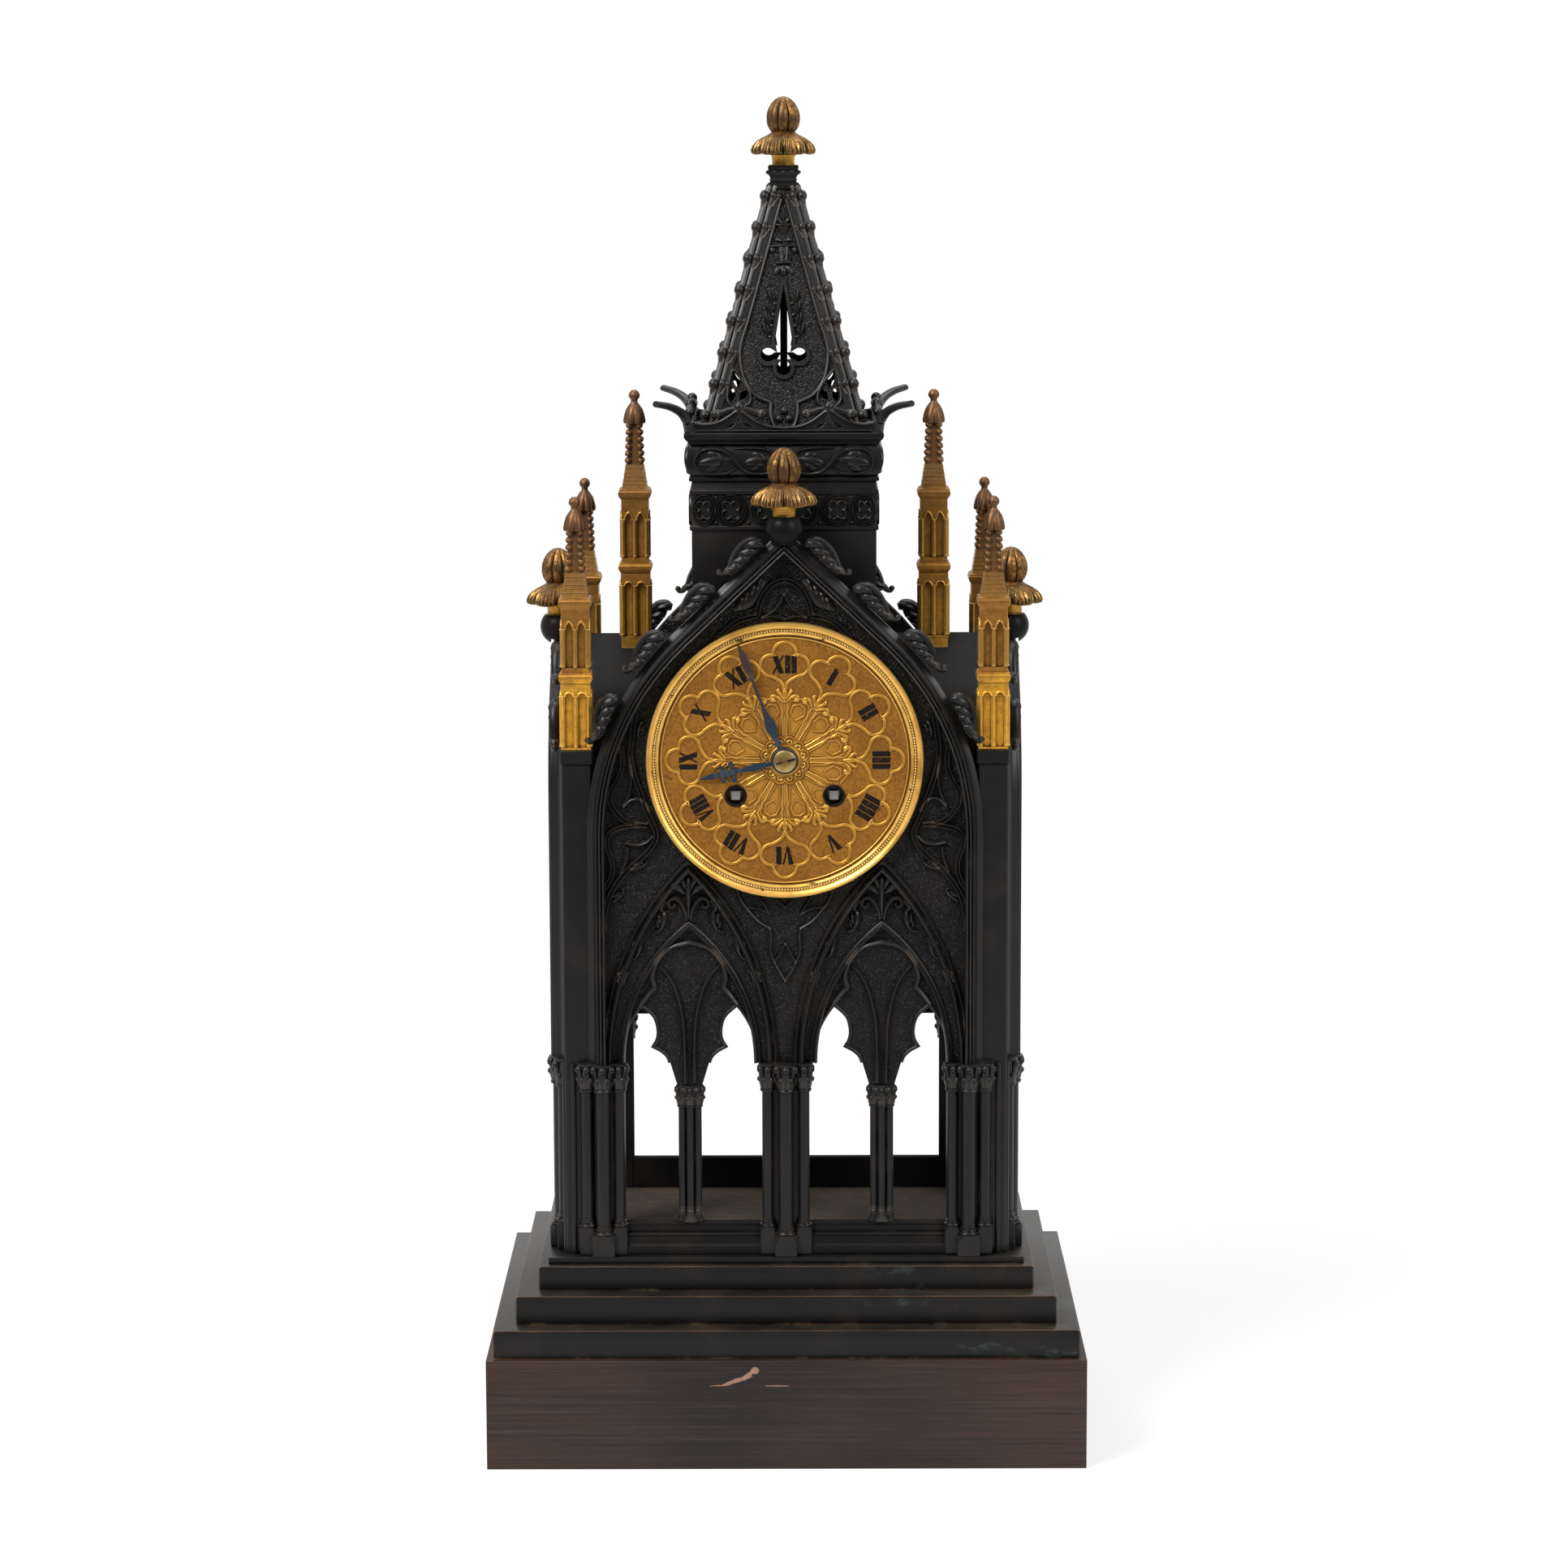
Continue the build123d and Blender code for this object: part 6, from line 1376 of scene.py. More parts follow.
# Crown of gablets with curled leaves at its corners
crown = {
    "half": 36.6, "plate": 2.0, "foot": 397.9, "peak": 9.5, "peakAt": 17.2,
    "inner": ((0.0, 2.2), (5.5, 2.8), (10.5, 4.8), (14.4, 7.6)),
    "outer": ((20.2, 7.4), (24.4, 4.9), (30.0, 3.6), (36.6, 4.5)),
    # across, up, turn, length and width of the pierced lights under each peak
    "lights": ((0.0, 5.6, 90, 3.4, 1.7), (-3.3, 2.7, 28, 4.4, 1.4), (3.3, 2.7, -28, 4.4, 1.4)),
    # points with a radius: across and up from the peak, then outward and up from the corner
    "branch": ((0.6, -0.5, 1.5), (3.4, -0.9, 1.35), (6.2, -1.9, 1.45), (8.6, -2.3, 1.8)),
    "strap": ((0.0, 0.0, 2.1), (1.4, 4.0, 1.9), (5.0, 7.8, 1.65), (11.0, 10.4, 1.45), (18.4, 11.8, 1.25)),
}
crownFoot, crownPeak = crown["foot"], crown["foot"] + crown["peak"]


def crownEdge():    # left end to right end of the top edge
    peak = (crown["peakAt"], crown["peak"])
    half = np.concatenate([smoothPath([*crown["inner"], peak], 5),
                           smoothPath([peak, *crown["outer"]], 5)[1:]])
    return np.concatenate([mirrored(half), half[1:]]) + (0, crownFoot)


def vesica(centre, turn, length, width):    # a pointed oval
    radius = (length**2 + width**2) / (4 * width)
    lean = math.asin(length / 2 / radius)
    t = np.linspace(-lean, lean, 9)
    one = np.stack([radius * np.sin(t), radius * np.cos(t) - radius + width / 2], 1)
    both = np.concatenate([one, one[-2:0:-1] * (1, -1)])
    c, s = math.cos(math.radians(turn)), math.sin(math.radians(turn))
    return both @ np.array([(c, s), (-s, c)]) + centre


crownCast = Casting()
edge = crownEdge()
outline = np.concatenate([[(-crown["half"], crownFoot)], edge, [(crown["half"], crownFoot)]])
peaks = (-crown["peakAt"], crown["peakAt"])
holes = [vesica((peak + u, crownFoot + v), *shape) for peak in peaks for u, v, *shape in crown["lights"]]
for side in allSides:
    place = wallOn(side, crown["half"])
    plate(crownCast, place, [outline] + holes, -crown["plate"], 0.0, 0.25)
    sweep(crownCast, place, edge - (0, 0.5), rollProfile(1.3, 1.0))
    sweep(crownCast, place, [(u, crownFoot + 0.7) for u in (-crown["half"], 0, crown["half"])],
          rollProfile(1.1, 0.8))
    for peak in peaks:
        for out in (-1, 1):
            branch = [(*spot(place, peak + out * u, crownPeak + v, -0.5), r) for u, v, r in crown["branch"]]
            tube(crownCast, branch, 8, (1, 1), (0.3, 0.3, 1))
            u, v, r = crown["branch"][-1]
            ball(crownCast, spot(place, peak + out * (u + 0.3), crownPeak + v, -0.4), 2.0, (1, 1, 0.9))
        ball(crownCast, spot(place, peak, crownPeak + 0.3, -0.3), 2.1)
root = crown["half"] - crown["plate"] / 2
strap = [(root + a / math.sqrt(2), crownFoot + b, r) for a, b, r in crown["strap"]]
for x, y in allCorners:
    tube(crownCast, [(x * reach, y * reach, z, r) for reach, z, r in strap], 10, (1.4, 1.0), (x, y, 2.0), 5)
crownCast.make("crown_cast", carvedBronze, "patinated_bronze", replaces=("crown_gallery",))

# Spire: four pierced faces, ribbed hips with leaf knobs, and the collar over them
spire = {"half": 31.2, "topHalf": 5.6, "low": 397.9, "high": 489.9, "shell": 2.4}
spireLean = (spire["half"] - spire["topHalf"]) / (spire["high"] - spire["low"])


def spireHalf(v):
    return spire["half"] - (v - spire["low"]) * spireLean


def spireFace(side):
    def bulge(v):
        return -(v - spire["low"]) * spireLean
    return wallOn(side, spire["half"], bulge)


mouchette = {
    "hub": (17.6, 414.2),
    "ring": ((1.8, 7.0), (3.3, 3.4), (4.0, -0.6), (4.0, -5.0), (0.4, -7.2), (-4.2, -5.6), (-4.6, -2.4),
             (-3.2, 1.2), (-0.6, 4.6)),
    # across, up, turn, length and width
    "lights": ((0.5, 3.0, 78, 6.2, 2.7), (2.3, -2.6, 100, 5.2, 2.4), (-2.2, -2.4, 128, 5.0, 2.5)),
}
light = {"side": (6.05, 426.8), "foot": (0.0, 421.8), "lobe": 2.7, "apex": (0.25, 452.0),
         "jamb": (3.3, 432.2)}


def lightPath(grow):    # pierced light of a face: a slit over three lobes, set out by grow
    lobe = light["lobe"] + grow
    (apexU, apexV), (jambU, jambV) = light["apex"], light["jamb"]
    slit = [(apexU + grow * 0.4, apexV + grow * 2.5), (jambU + grow, jambV)]
    sideLobe = arcPath(light["side"], lobe, 136, -136, 18)
    footLobe = arcPath(light["foot"], lobe, 46, -90, 10)
    right = np.concatenate([slit, sideLobe, footLobe])
    return np.concatenate([right, mirrored(right)[1:]])


term = {    # foliage that climbs above the light, drawn in lobes
    "pairs": (([(0.8, 460.4, 0.5), (2.2, 459.4, 1.0), (3.3, 457.8, 0.7)], 2.5, 1.3),
              ([(0.9, 470.0, 0.6), (2.1, 470.6, 1.0), (3.2, 470.4, 0.6)], 2.1, 1.4),
              ([(0.5, 476.8, 0.5), (1.7, 478.0, 1.0), (2.4, 479.4, 0.4)], 1.8, 1.2),
              ([(2.0, 461.9, 1.0), (2.6, 463.6, 0.9), (3.4, 465.2, 0.5)], 0.9, 1.0)),
    "middles": (([(0, 460.6, 0.6), (0, 459.0, 1.0), (0, 457.1, 0.7)], 2.8, 1.4),
                ([(-2.9, 461.8, 0.8), (0, 461.8, 1.0), (2.9, 461.8, 0.8)], 1.3, 1.4),
                ([(0, 462.4, 0.85), (0, 465.0, 1.0), (0, 467.8, 1.2)], 3.8, 1.3),
                ([(-1.2, 463.2, 0.5), (0.5, 464.6, 1.0), (-0.4, 466.0, 1.0), (1.0, 467.4, 0.5)], 1.1, 2.1),
                ([(-5.4, 468.1, 0.6), (0, 468.3, 1.1), (5.4, 468.1, 0.6)], 1.3, 1.5),
                ([(0, 471.6, 0.2), (0, 473.6, 0.7), (0, 475.8, 1.2)], 4.0, 1.4),
                ([(-3.2, 476.2, 0.6), (0, 476.3, 1.0), (3.2, 476.2, 0.6)], 1.1, 1.4),
                ([(0, 476.8, 0.6), (0, 478.6, 1.0), (0, 480.4, 0.3)], 1.3, 1.2)),
    "ball": (4.3, 466.4), "ballRadius": 1.35,
}


def leafTerm(casting, place):
    strands(casting, place, term["middles"], lambda u, v, w: (u, v, w))
    for mirror in (-1, 1):
        strands(casting, place, term["pairs"], lambda u, v, w: (mirror * u, v, w))
        ball(casting, spot(place, mirror * term["ball"][0], term["ball"][1]), term["ballRadius"])


bandProfile = np.array([(-1.25, -0.4), (-1.25, 0.4), (-1.0, 0.7), (1.0, 0.7), (1.25, 0.4), (1.25, -0.4)])
rimProfile = np.array([(-0.85, -0.4), (-0.85, 0.7), (-0.55, 1.1), (0.55, 1.1), (0.85, 0.7), (0.85, -0.4)])
bandIn, rimOut = 3.9, 0.85    # the band along the hips, and the rim round the light
drop = {"in": 5.8, "heights": (486.0, 462.0, 442.0),
        "sweep": ((16.4, 431.5), (16.9, 425.5), (15.4, 418.0), (11.2, 411.8), (5.2, 408.8)),
        "strap": ((5.0, 408.9), (5.2, 404.8), (4.4, 401.2), (2.4, 398.6)),
        "balls": ((1.9, 402.6), (0.0, 405.7)), "ballRadius": 1.6}
climbing = {"heights": (448.6, 444.4, 440.2, 436.0), "at": 4.2, "top": 452, "lean": 0.154, "turn": 38,
            "size": 4.8}
spireGround, spireCast = Casting(), Casting()
faceLow, faceHigh, faceMiddle = spire["low"], spire["high"], 440.0
lowHalf, highHalf = spireHalf(faceLow) - 0.2, spireHalf(faceHigh)
outline = np.array([(-lowHalf, faceLow), (lowHalf, faceLow), (highHalf, faceHigh), (-highHalf, faceHigh)])
hubU, hubV = mouchette["hub"]
for side in allSides:
    place = spireFace(side)
    holes = [lightPath(0.0)]
    for mirror in (-1, 1):
        for u, v, turn, length, width in mouchette["lights"]:
            holes.append(vesica((mirror * (hubU + u), hubV + v), turn if mirror > 0 else 180 - turn,
                                length, width))
        ring = [(mirror * (hubU + u), hubV + v) for u, v in mouchette["ring"]]
        sweep(spireCast, place, smoothPath(ring, 4, True), rollProfile(1.4, 1.2), True)
    plate(spireGround, place, [outline] + holes, -spire["shell"], 0.0, 0.2)
    sweep(spireCast, place, lightPath(rimOut), rimProfile, True)
    leafTerm(spireCast, place)
    for mirror in (-1, 1):
        band = [(mirror * (spireHalf(v) - bandIn), v) for v in (faceLow + 0.5, faceMiddle, faceHigh - 1.0)]
        sweep(spireCast, place, band, bandProfile)
        line = [(spireHalf(v) - drop["in"], v) for v in drop["heights"]] + [*drop["sweep"]]
        sweep(spireCast, place, smoothPath(np.array(line) * (mirror, 1), 6), rollProfile(1.8, 1.35))
        sweep(spireCast, place, smoothPath(np.array(drop["strap"]) * (mirror, 1), 5), rollProfile(1.9, 1.3))
        for v in climbing["heights"]:
            u = climbing["at"] + (climbing["top"] - v) * climbing["lean"]
            wallLeaf(spireCast, place, (mirror * u, v), 90 - mirror * climbing["turn"],
                     climbing["size"], mirror)
        u, v = drop["balls"][0]
        ball(spireCast, spot(place, mirror * u, v), drop["ballRadius"])
    ball(spireCast, spot(place, *drop["balls"][1]), drop["ballRadius"])
hips = ((0.0, 0.0, 1.25), (-2.2, 0.45, 0.85), (0.45, -2.2, 0.85))    # offsets and radius of the ribs
knuckles = {"rows": 8, "low": 404.0, "pitch": 11.86, "tail": 4.0,
            "bosses": ((0.75, 0.75, 2.05, 1.1), (-2.5, 1.0, 1.6, 1.3), (1.0, -2.5, 1.6, 1.3),
                       (-4.6, 0.7, 1.25, 1.0), (0.7, -4.6, 1.25, 1.0))}
for x, y in allCorners:
    for dx, dy, radius in hips:
        rib = [(x * spireHalf(v) + x * dx, y * spireHalf(v) + y * dy, v, radius)
               for v in (faceLow, faceMiddle, faceHigh + 1.0)]
        tube(spireCast, rib, 8, (1, 1), (y, -x, 0), 6)
    for row in range(knuckles["rows"]):
        z = knuckles["low"] + knuckles["pitch"] * row
        out = spireHalf(z)
        for dx, dy, size, tall in knuckles["bosses"]:
            tail = (x * (out + dx * 0.7 + 1.0), y * (out + dy * 0.7 + 1.0), z - knuckles["tail"], 0.8)
            at = (x * (out + dx), y * (out + dy), z)
            tube(spireCast, [tail, (*at, size * 0.75)], 6, (1, 1), (y, -x, 0.2), 3)
            ball(spireCast, at, size, (1, 1, tall))
spireGround.make("spire_ground", groundBronze, "patinated_bronze", replaces=("spire",), sharp=30)
spireCast.make("spire_carving", carvedBronze, "patinated_bronze")

collarShape = {
    "profile": ((5.2, -0.4), (6.4, 0), (6.4, 1.4), (5.9, 2.0), (5.0, 2.5), (5.3, 3.4), (5.0, 4.2), (5.5, 5.0),
                (6.2, 5.9), (6.3, 6.6), (5.6, 7.1), (5.9, 7.6), (5.9, 8.6), (5.4, 9.0)),
    "beads": 12, "beadReach": 6.1, "beadHeight": 6.2, "beadRadius": 0.9,
}
collar = Casting()
squareRun(collar, [(half, faceHigh + up) for half, up in collarShape["profile"]])
for k in range(collarShape["beads"]):
    a = 2 * math.pi * k / collarShape["beads"]
    reach = collarShape["beadReach"] / max(abs(math.cos(a)), abs(math.sin(a))) * 0.97
    at = (reach * math.cos(a), reach * math.sin(a), faceHigh + collarShape["beadHeight"])
    ball(collar, at, collarShape["beadRadius"], (1, 1, 0.9), 8)
collar.make("collar_cast", plainBronze, "patinated_bronze", replaces=("spire_collar",))
print("tower, crown and spire made")

# Dial: matte gilt disc with cartouches, spokes and fleurs
dialSet = {"reach": 51.2, "radius": 48.3, "thick": 1.0, "bore": 3.2, "numeralAt": 36.8, "line": 1.3,
           "rise": 0.55, "keyAt": (18.9, -13.8), "keyRadius": 3.75, "keyClear": 4.9}
dialFace = wallOn("front", dialSet["reach"])


def dialSpot(points, hour):    # x across and y outward at an hour, to the dial's plane
    turn = math.radians(30.0 * hour)
    p = np.asarray(points, float)
    c, s = math.cos(turn), math.sin(turn)
    flat = np.stack([p[:, 0] * c + p[:, 1] * s, p[:, 1] * c - p[:, 0] * s + dialZ], 1)
    return np.concatenate([flat, p[:, 2:]], 1)


dialCast, tracery = Casting(), Casting()
keyPlaces = [(side * dialSet["keyAt"][0], dialZ + dialSet["keyAt"][1]) for side in (-1, 1)]
keyHoles = [circle(at, dialSet["keyRadius"], 36) for at in keyPlaces]
dialEdge, arborHole = circle((0, dialZ), dialSet["radius"], 144), circle((0, dialZ), dialSet["bore"], 32)
plate(dialCast, dialFace, [dialEdge, arborHole] + keyHoles, -dialSet["thick"], 0.0, 0.1)
dialCast.make("dial_cast", dialGilt, "dial_gilt", replaces=("dial",))
boldLine = rollProfile(dialSet["line"], dialSet["rise"], 0.2, 5)
houseLine = rollProfile(0.9, 0.6, 0.2, 5)
paneLine = rollProfile(0.75, 0.5, 0.2, 5)
thinLine = rollProfile(0.6, 0.42, 0.2, 4)


def cartouche():
    n = dialSet["numeralAt"]
    stem = smoothPath([(0.5, n - 9.2), (0.6, n - 7.9), (1.5, n - 6.4), (3.2, n - 5.2), (5.0, n - 4.3)], 4)
    lobe = arcPath((5.2, n - 0.1), 4.1, -96, 108, 16)
    head = arcPath((0.0, n + 4.4), 4.5, -8, 90, 10)
    half = np.concatenate([stem, lobe[1:], head])
    return np.concatenate([half, mirrored(half)[1:]])


# a raised line, broken where it would cross a winding hole
def dialLine(points, hour, profile, closed=False):
    path = dialSpot(points, hour)
    if closed:
        path = np.concatenate([path, path[:1]])
    steps = np.linspace(0, len(path) - 1, (len(path) - 1) * 6 + 1)
    dense = np.stack([np.interp(steps, np.arange(len(path)), path[:, k]) for k in (0, 1)], 1)
    off = np.min([np.hypot(*(dense - at).T) for at in keyPlaces], axis=0) > dialSet["keyClear"]
    if off.all():
        sweep(tracery, dialFace, path[:-1] if closed else path, profile, closed)
        return
    for run in np.split(np.arange(len(dense)), np.nonzero(np.diff(off.astype(int)))[0] + 1):
        if off[run[0]] and len(run) > 2:
            sweep(tracery, dialFace, dense[run], profile)


fleurShape = {
    "pairs": (([(0.7, 22.6, 0.5), (2.2, 24.0, 0.9), (4.0, 25.0, 1.0), (5.2, 24.2, 0.9), (4.7, 23.0, 0.8)],
               1.6, 0.85),
              ([(0.4, 24.0, 0.6), (1.8, 25.6, 1.0), (2.6, 26.9, 0.8), (2.1, 27.7, 0.4)], 1.6, 0.85)),
    "middle": (([(0, 22.4, 0.5), (0, 24.4, 1.0), (0, 26.4, 1.1), (0, 28.4, 0.3)], 1.8, 0.78),),
    "ball": (4.4, 23.4), "ballRadius": 1.0,
}


def fleur(hour):
    def put(u, v, share):
        return dialSpot([(side * u, v, share)], hour)[0]
    for side in (-1, 1):
        strands(tracery, dialFace, fleurShape["pairs"], put, sink=0.2)
        u, v = dialSpot([(side * fleurShape["ball"][0], fleurShape["ball"][1])], hour)[0]
        ball(tracery, spot(dialFace, u, v, 0.1), fleurShape["ballRadius"], (1, 0.75, 1))
    strands(tracery, dialFace, fleurShape["middle"], put, sink=0.2)


house = [(0.75, 10.0), (2.2, 15.0), (4.1, 18.2), (3.8, 22.6), (0.0, 24.6)]
house += [(-u, v) for u, v in house[-2::-1]]
pane = [(0, 15.9), (2.7, 18.5), (2.2, 21.4), (0.0, 22.4), (-2.2, 21.4), (-2.7, 18.5)]
for hour in range(12):
    dialLine(cartouche(), hour, boldLine)
    for side in (-1, 1):
        dialLine([(side * 0.8, 9.6), (side * 0.95, 15.0), (side * 1.1, 22.4)], hour, thinLine)
    if hour not in (4, 8):    # the winding holes take these two places
        fleur(hour)
    half = hour + 0.5
    dialLine(house, half, houseLine)
    dialLine(pane, half, paneLine, True)
    dialLine(arcPath((0, 7.4), 1.9, 200, -20, 14), half, houseLine)
    dialLine(arcPath((0, 7.0), 0.95, 200, -20, 10), half, thinLine)
for radius, wide in ((47.5, 0.6), (5.5, 0.7)):
    sweep(tracery, dialFace, circle((0, dialZ), radius, 120), rollProfile(wide, 0.4, 0.2, 4), True)
tracery.make("dial_tracery", traceryGilt, "dial_gilt")

# Numerals: black radial strokes, the thin ones slanting
numeralSet = {"tall": 6.9, "thick": 2.0, "thin": 0.65, "gap": 0.42, "rise": 0.10, "widest": 9.4, "out": 0.3,
              "overlap": 0.012}
words = ("XII", "I", "II", "III", "IIII", "V", "VI", "VII", "VIII", "IX", "X", "XI")
letterWidth = {"I": numeralSet["thick"], "V": 4.3, "X": 4.5}


def letterStrokes(letter, left):
    t, k, s = numeralSet["tall"] / 2, numeralSet["thick"], numeralSet["thin"]
    w = letterWidth[letter]
    if letter == "I":
        return [[(left, -t), (left + k, -t), (left + k, t), (left, t)]]
    if letter == "V":
        return [[(left, t), (left + k, t), (left + w / 2 + 0.45, -t), (left + w / 2 - 0.35, -t)],
                [(left + w - s, t), (left + w, t), (left + w / 2 + 0.5, -t), (left + w / 2, -t)]]
    return [[(left, t), (left + k, t), (left + w, -t), (left + w - k, -t)],
            [(left + w - s, t), (left + w, t), (left + s, -t), (left, -t)]]


numerals = Casting()
for hour, word in enumerate(words):
    wide = sum(letterWidth[a] for a in word) + numeralSet["gap"] * (len(word) - 1)
    squeeze = min(1.0, numeralSet["widest"] / wide)
    left = -wide / 2
    for letter in word:
        for order, stroke in enumerate(letterStrokes(letter, left)):
            points = dialSpot([(u * squeeze, v + dialSet["numeralAt"] + numeralSet["out"])
                               for u, v in stroke], hour)
            plate(numerals, dialFace, [points], -0.05,
                  numeralSet["rise"] + numeralSet["overlap"] * order, 0.03)
        left += letterWidth[letter] + numeralSet["gap"]
numerals.make("dial_numerals", numeralBlack, "blued_steel", sharp=30)

# Bezel: polished ring with a beaded inner edge, and rims round the winding holes
bezelShape = {    # rows of radius and how far they stand forward
    "rows": ((49.0, 50.2), (50.9, 48.65), (53.0, 48.66), (53.3, 49.2), (53.3, 53.2), (53.2, 53.9),
             (52.9, 54.3), (52.5, 54.3), (52.2, 53.9), (52.1, 53.5), (51.7, 53.3), (51.2, 52.9),
             (50.9, 52.5), (50.7, 52.3), (49.9, 52.3), (49.6, 52.6), (49.0, 52.5), (48.6, 52.1),
             (48.3, 51.2), (48.3, 50.6)),
    "beads": 288, "beadAt": 50.3, "beadReach": 52.4, "beadRadius": 0.48,
    "rim": ((3.4, 47.6), (3.75, 47.6), (3.75, 51.1), (4.25, 51.1), (4.3, 51.35), (4.05, 51.6), (3.7, 51.5),
            (3.4, 51.0)),
}


def turned(casting, rows, sides, at=(0, dialZ)):    # a ring turned about an axis through the dial
    turn = np.linspace(0, 2 * math.pi, sides, endpoint=False)
    ring = [[(at[0] + r * math.cos(a), -y, at[1] + r * math.sin(a)) for a in turn] for r, y in rows]
    casting.sheet(np.array(ring), True, True)


bezelCast, rims = Casting(), Casting()
turned(bezelCast, bezelShape["rows"], 192)
for k in range(bezelShape["beads"]):
    a = 2 * math.pi * k / bezelShape["beads"]
    x, z = bezelShape["beadAt"] * math.cos(a), dialZ + bezelShape["beadAt"] * math.sin(a)
    ball(bezelCast, (x, -bezelShape["beadReach"], z), bezelShape["beadRadius"], (1, 0.9, 1), 6)
bezelCast.make("bezel_cast", bezelGilt, "gilt_bronze", replaces=("bezel",), sharp=45)
for at in keyPlaces:
    turned(rims, bezelShape["rim"], 48, at)
rims.make("winding_hole_rims", numeralBlack, "blued_steel", sharp=40)

# Hands: blued blades with cusped knots
hands = {
    "minuteAngle": -21.4, "hourAngle": 257.8, "minuteReach": 53.6, "hourReach": 52.2,
    "thick": 0.8, "hub": 4.9, "bore": 2.0,
    # distance from the centre and half width
    "minuteBlade": ((4.0, 0.9), (6.2, 0.7), (8.6, 0.8), (10.5, 1.3), (13.5, 2.1), (16.0, 2.1), (19.0, 1.1),
                    (22.0, 0.62), (28.0, 0.55), (33.0, 0.6), (35.5, 0.7), (38.0, 1.35), (40.5, 1.65),
                    (43.0, 1.4), (46.5, 0.7), (49.2, 0.05)),
    "hourBlade": ((4.0, 0.9), (6.5, 0.75), (9.0, 1.2), (11.5, 1.45), (14.5, 1.1), (17.0, 0.7), (19.5, 0.9),
                  (24.0, 1.3), (26.6, 0.9), (28.6, 1.15), (30.8, 0.8), (33.9, 0.05)),
    # distance, half width and half height
    "minuteKnots": ((7.4, 2.3, 0.8), (9.0, 1.4, 0.5), (34.6, 2.4, 0.7), (36.2, 1.3, 0.6)),
    "hourKnots": ((20.6, 4.0, 0.9), (22.6, 2.4, 0.8), (24.6, 3.2, 0.8), (17.6, 1.8, 0.5), (27.2, 1.6, 0.6)),
    "hourBeads": ((3.1, 20.6, 1.1, 18), (2.4, 24.6, 1.0, 16)),    # across, distance, radius and sides
}


def bladeOutline(sizes):    # pairs of distance and half width
    right = np.array([(w, r) for r, w in sizes])
    return np.concatenate([right, right[::-1] * (-1, 1)])


def knot(at, wide, tall):    # a cusped cross bar
    over = [(wide, 0), (wide * 0.6, tall * 0.35), (0.5, tall)]
    over += [(-u, v) for u, v in over[::-1]]
    under = [(-u, -v) for u, v in over[1:-1]]
    return smoothPath(np.array(over + under) + (0, at), 3, True)


def handPiece(name, kind, bars, finish, body, node):
    hand = Casting()
    place = wallOn("front", hands[kind + "Reach"])
    hour, thick = hands[kind + "Angle"] / 30, hands["thick"]
    hub, bore = circle((0, 0), hands["hub"], 40), circle((0, 0), hands["bore"], 24)
    plate(hand, place, [dialSpot(hub, hour), dialSpot(bore, hour)], 0.0, thick, 0.12)
    plate(hand, place, [dialSpot(bladeOutline(hands[kind + "Blade"]), hour)], 0.0, thick - 0.01, 0.15)
    bars = bars + [knot(*sizes) for sizes in hands[kind + "Knots"]]
    for order, outline in enumerate(bars):    # each a little thinner, so that no two faces lie in one plane
        plate(hand, place, [dialSpot(outline, hour)],
              0.03 + 0.004 * order, thick - 0.04 - 0.004 * order, 0.12)
    hand.make(name, finish, "blued_steel", body, (node,), 30)


hourBeads = [circle((side * u, v), radius, sides) for u, v, radius, sides in hands["hourBeads"]
             for side in (-1, 1)]
handPiece("minute_hand_cast", "minute", [], minuteBlue, "minute_hand_set", "minute_hand")
handPiece("hour_hand_cast", "hour", hourBeads, hourBlue, "hour_hand_set", "hour_hand")
nut = {
    "rows": ((1.05, 54.45), (4.1, 54.45), (4.3, 54.55), (4.25, 54.8), (4.0, 54.95), (1.9, 55.05), (1.7, 54.9),
             (1.4, 54.9), (1.35, 55.4), (1.05, 55.45)),
    "pinReach": 55.45, "pinSlope": 0.26,
    # from, to, and the radius at each; both ends keep clear of the arbor that turns inside the nut
    "pin": ((-1.15, -3.4, 0.34, 0.28), (1.15, 4.0, 0.40, 0.48)),
}
washer = Casting()
turned(washer, nut["rows"], 40)
paleBrass = clockMetal("paleBrass", (0.56, 0.38, 0.14), (0.30, 0.18, 0.06), 0.34)
washer.make("hand_nut_cast", paleBrass, "clock_brass", "minute_hand_set", ("hand_nut",), 30)
pin = Casting()
for near, far, thin, thick in nut["pin"]:
    stations = ((near, thin), ((near + far) / 2, (thin + thick) / 2), (far, thick))
    tube(pin, [(x, -nut["pinReach"], dialZ + nut["pinSlope"] * x, r) for x, r in stations],
         10, (1, 1), (0, 1, 0), 3)
pin.make("hand_pin_cast", sheetBronze, "steel", "minute_hand_set", sharp=40)
print("dial and hands made")

# Finishes of the solids that stay as they are
kept = (
    (sheetBronze, ("roof", "gable_balls", "suspension_cock", "spire_rod")),
    (darkWood, ("plinth_core",)),
    (tanBoard, ("floor_board",)),
    (clockBrass, ("front_plate", "back_plate", "plate_pillars", "cannon_pinion", "minute_wheel", "hour_wheel",
                  "going_barrel", "strike_barrel", "intermediate_wheel", "centre_wheel", "third_wheel",
                  "escape_wheel", "strike_second_wheel", "pin_wheel", "fly", "pendulum_bob",
                  "movement_straps", "rear_ring", "rear_door")),
    (arborSteel(), ("going_arbor", "strike_arbor")),
    (steel, ("case_bolts", "anchor", "hammer", "bell_stand", "pendulum_rod")),
    (bellMetal, ("bell",)),
)
for finish, names in kept:
    for name in names:
        for slot in frame["nodes"][name].material_slots:
            slot.material = finish
print("kept solids dressed")

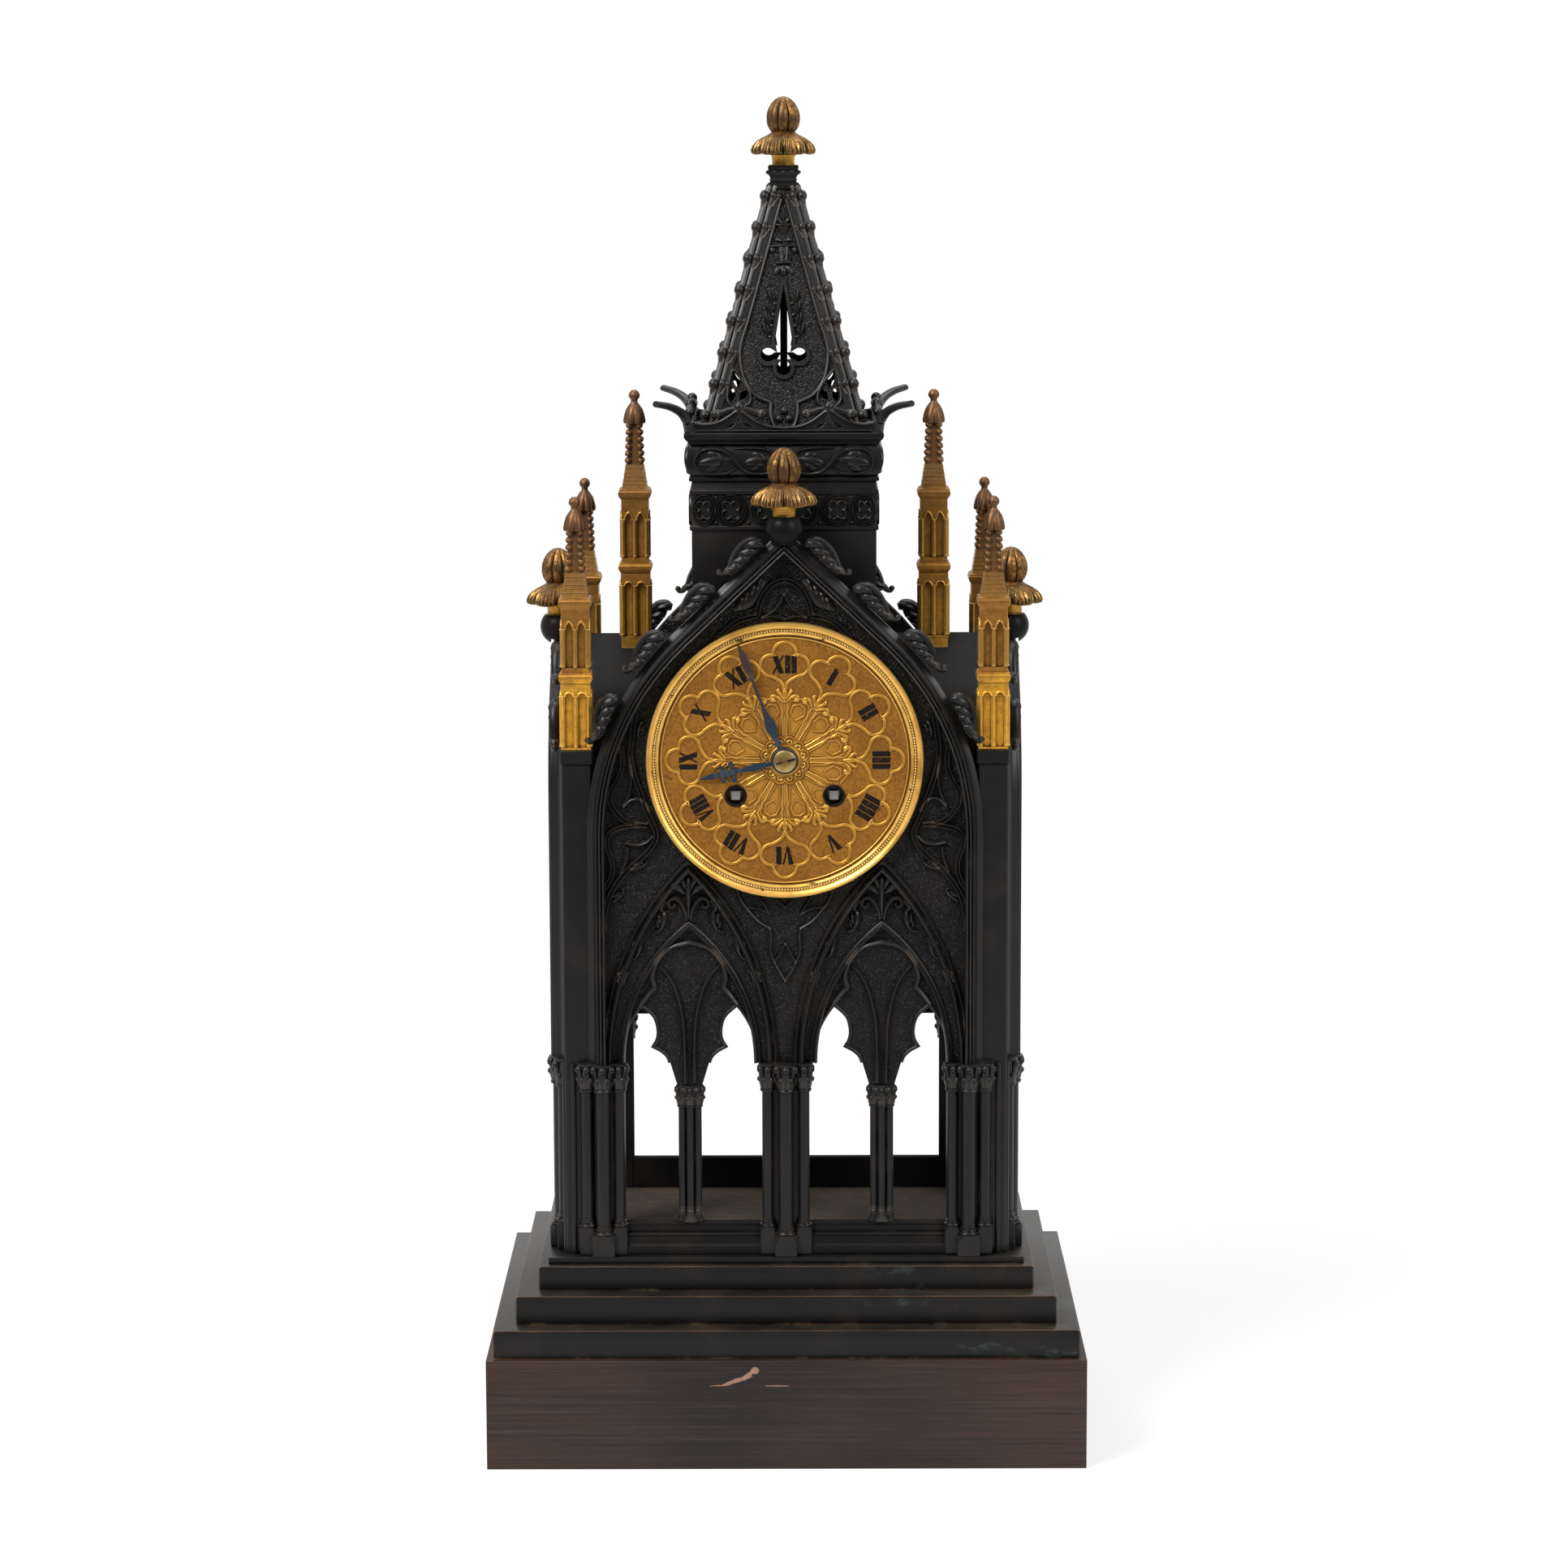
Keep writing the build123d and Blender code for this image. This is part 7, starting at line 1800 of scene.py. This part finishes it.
# Floor and soft studio light
studio = {
    "floor": (0.92, 0.92, 0.92), "ambient": 0.24, "front": 0.12, "glow": 0.72, "shadowReach": (0.16, 0.55),
    "sheet": (-1.7, -0.75, 1.7, 3.0),    # edges of the paper sheet: left, front, right, back
    # place, aim, size and power of each lamp
    "keyLight": ((-1.0, -1.1, 1.7), (0, 0, 0.32), (0.8, 1.1), 50.0),
    "fillLight": ((1.3, -1.0, 1.15), (0, 0, 0.3), (0.7, 1.2), 19.0),
    "topLight": ((0.0, 0.25, 1.7), (0, 0, 0.3), (1.0, 1.0), 12.0),
}
floorMesh = bpy.data.meshes.new("studioFloor")
left, near, right, back = studio["sheet"]
floorMesh.from_pydata([(left, near, 0), (right, near, 0), (right, back, 0), (left, back, 0)],
                      [], [(0, 1, 2, 3)])
floorPiece = bpy.data.objects.new("studioFloor", floorMesh)
scene.collection.objects.link(floorPiece)
paleFloor = Finish("paleFloor")
seen = paleFloor.between(paleFloor.ray("Camera") + paleFloor.ray("Glossy"), 0.0, 1.0)
away = paleFloor.node("ShaderNodeVectorMath", {"operation": "LENGTH"}, {0: paleFloor.place()}, "Value")
far = paleFloor.between(away, *studio["shadowReach"])
matte = paleFloor.node("ShaderNodeBsdfDiffuse", None, {"Color": (*studio["floor"], 1.0)})
glow = paleFloor.node("ShaderNodeEmission", None, {"Color": (1, 1, 1, 1), "Strength": 1.0})
share = seen * (studio["glow"] + (1.0 - studio["glow"]) * far)
both = paleFloor.node("ShaderNodeMixShader", None, {0: share, 1: matte, 2: glow})
paleFloor.node("ShaderNodeOutputMaterial", None, {"Surface": both})
floorMesh.materials.append(paleFloor.material)

world = bpy.data.worlds.new("studioWorld")
world.use_nodes = True
scene.world = world
air = Finish("studioWorld", world.node_tree)
behind = air.node("ShaderNodeSeparateXYZ", None, {0: air.node("ShaderNodeTexCoord", out="Generated")}, "Y")
seen, mirrorRay, through = (air.ray(name) for name in ("Camera", "Glossy", "Transmission"))
shine = mirrorRay * (studio["front"] + (1.0 - studio["front"]) * air.between(behind, -0.35, 0.35))
shown = air.between(seen + through, 0.0, 1.0)
plain = air.between(1.0 - seen - mirrorRay - through, 0.0, 1.0) * studio["ambient"]
backdrop = air.node("ShaderNodeBackground", None, {"Color": (1, 1, 1, 1), "Strength": plain + shine + shown})
air.node("ShaderNodeOutputWorld", None, {"Surface": backdrop})


def softBoxLight(name, place, aim, size, power):
    data = bpy.data.lights.new(name, "AREA")
    data.shape = "RECTANGLE"
    data.size, data.size_y = size
    data.energy = power
    lamp = bpy.data.objects.new(name, data)
    lamp.location = place
    lamp.rotation_euler = (Vector(aim) - Vector(place)).to_track_quat("-Z", "Y").to_euler()
    scene.collection.objects.link(lamp)


for name in ("keyLight", "fillLight", "topLight"):
    softBoxLight(name, *studio[name])
print("floor and lights set")
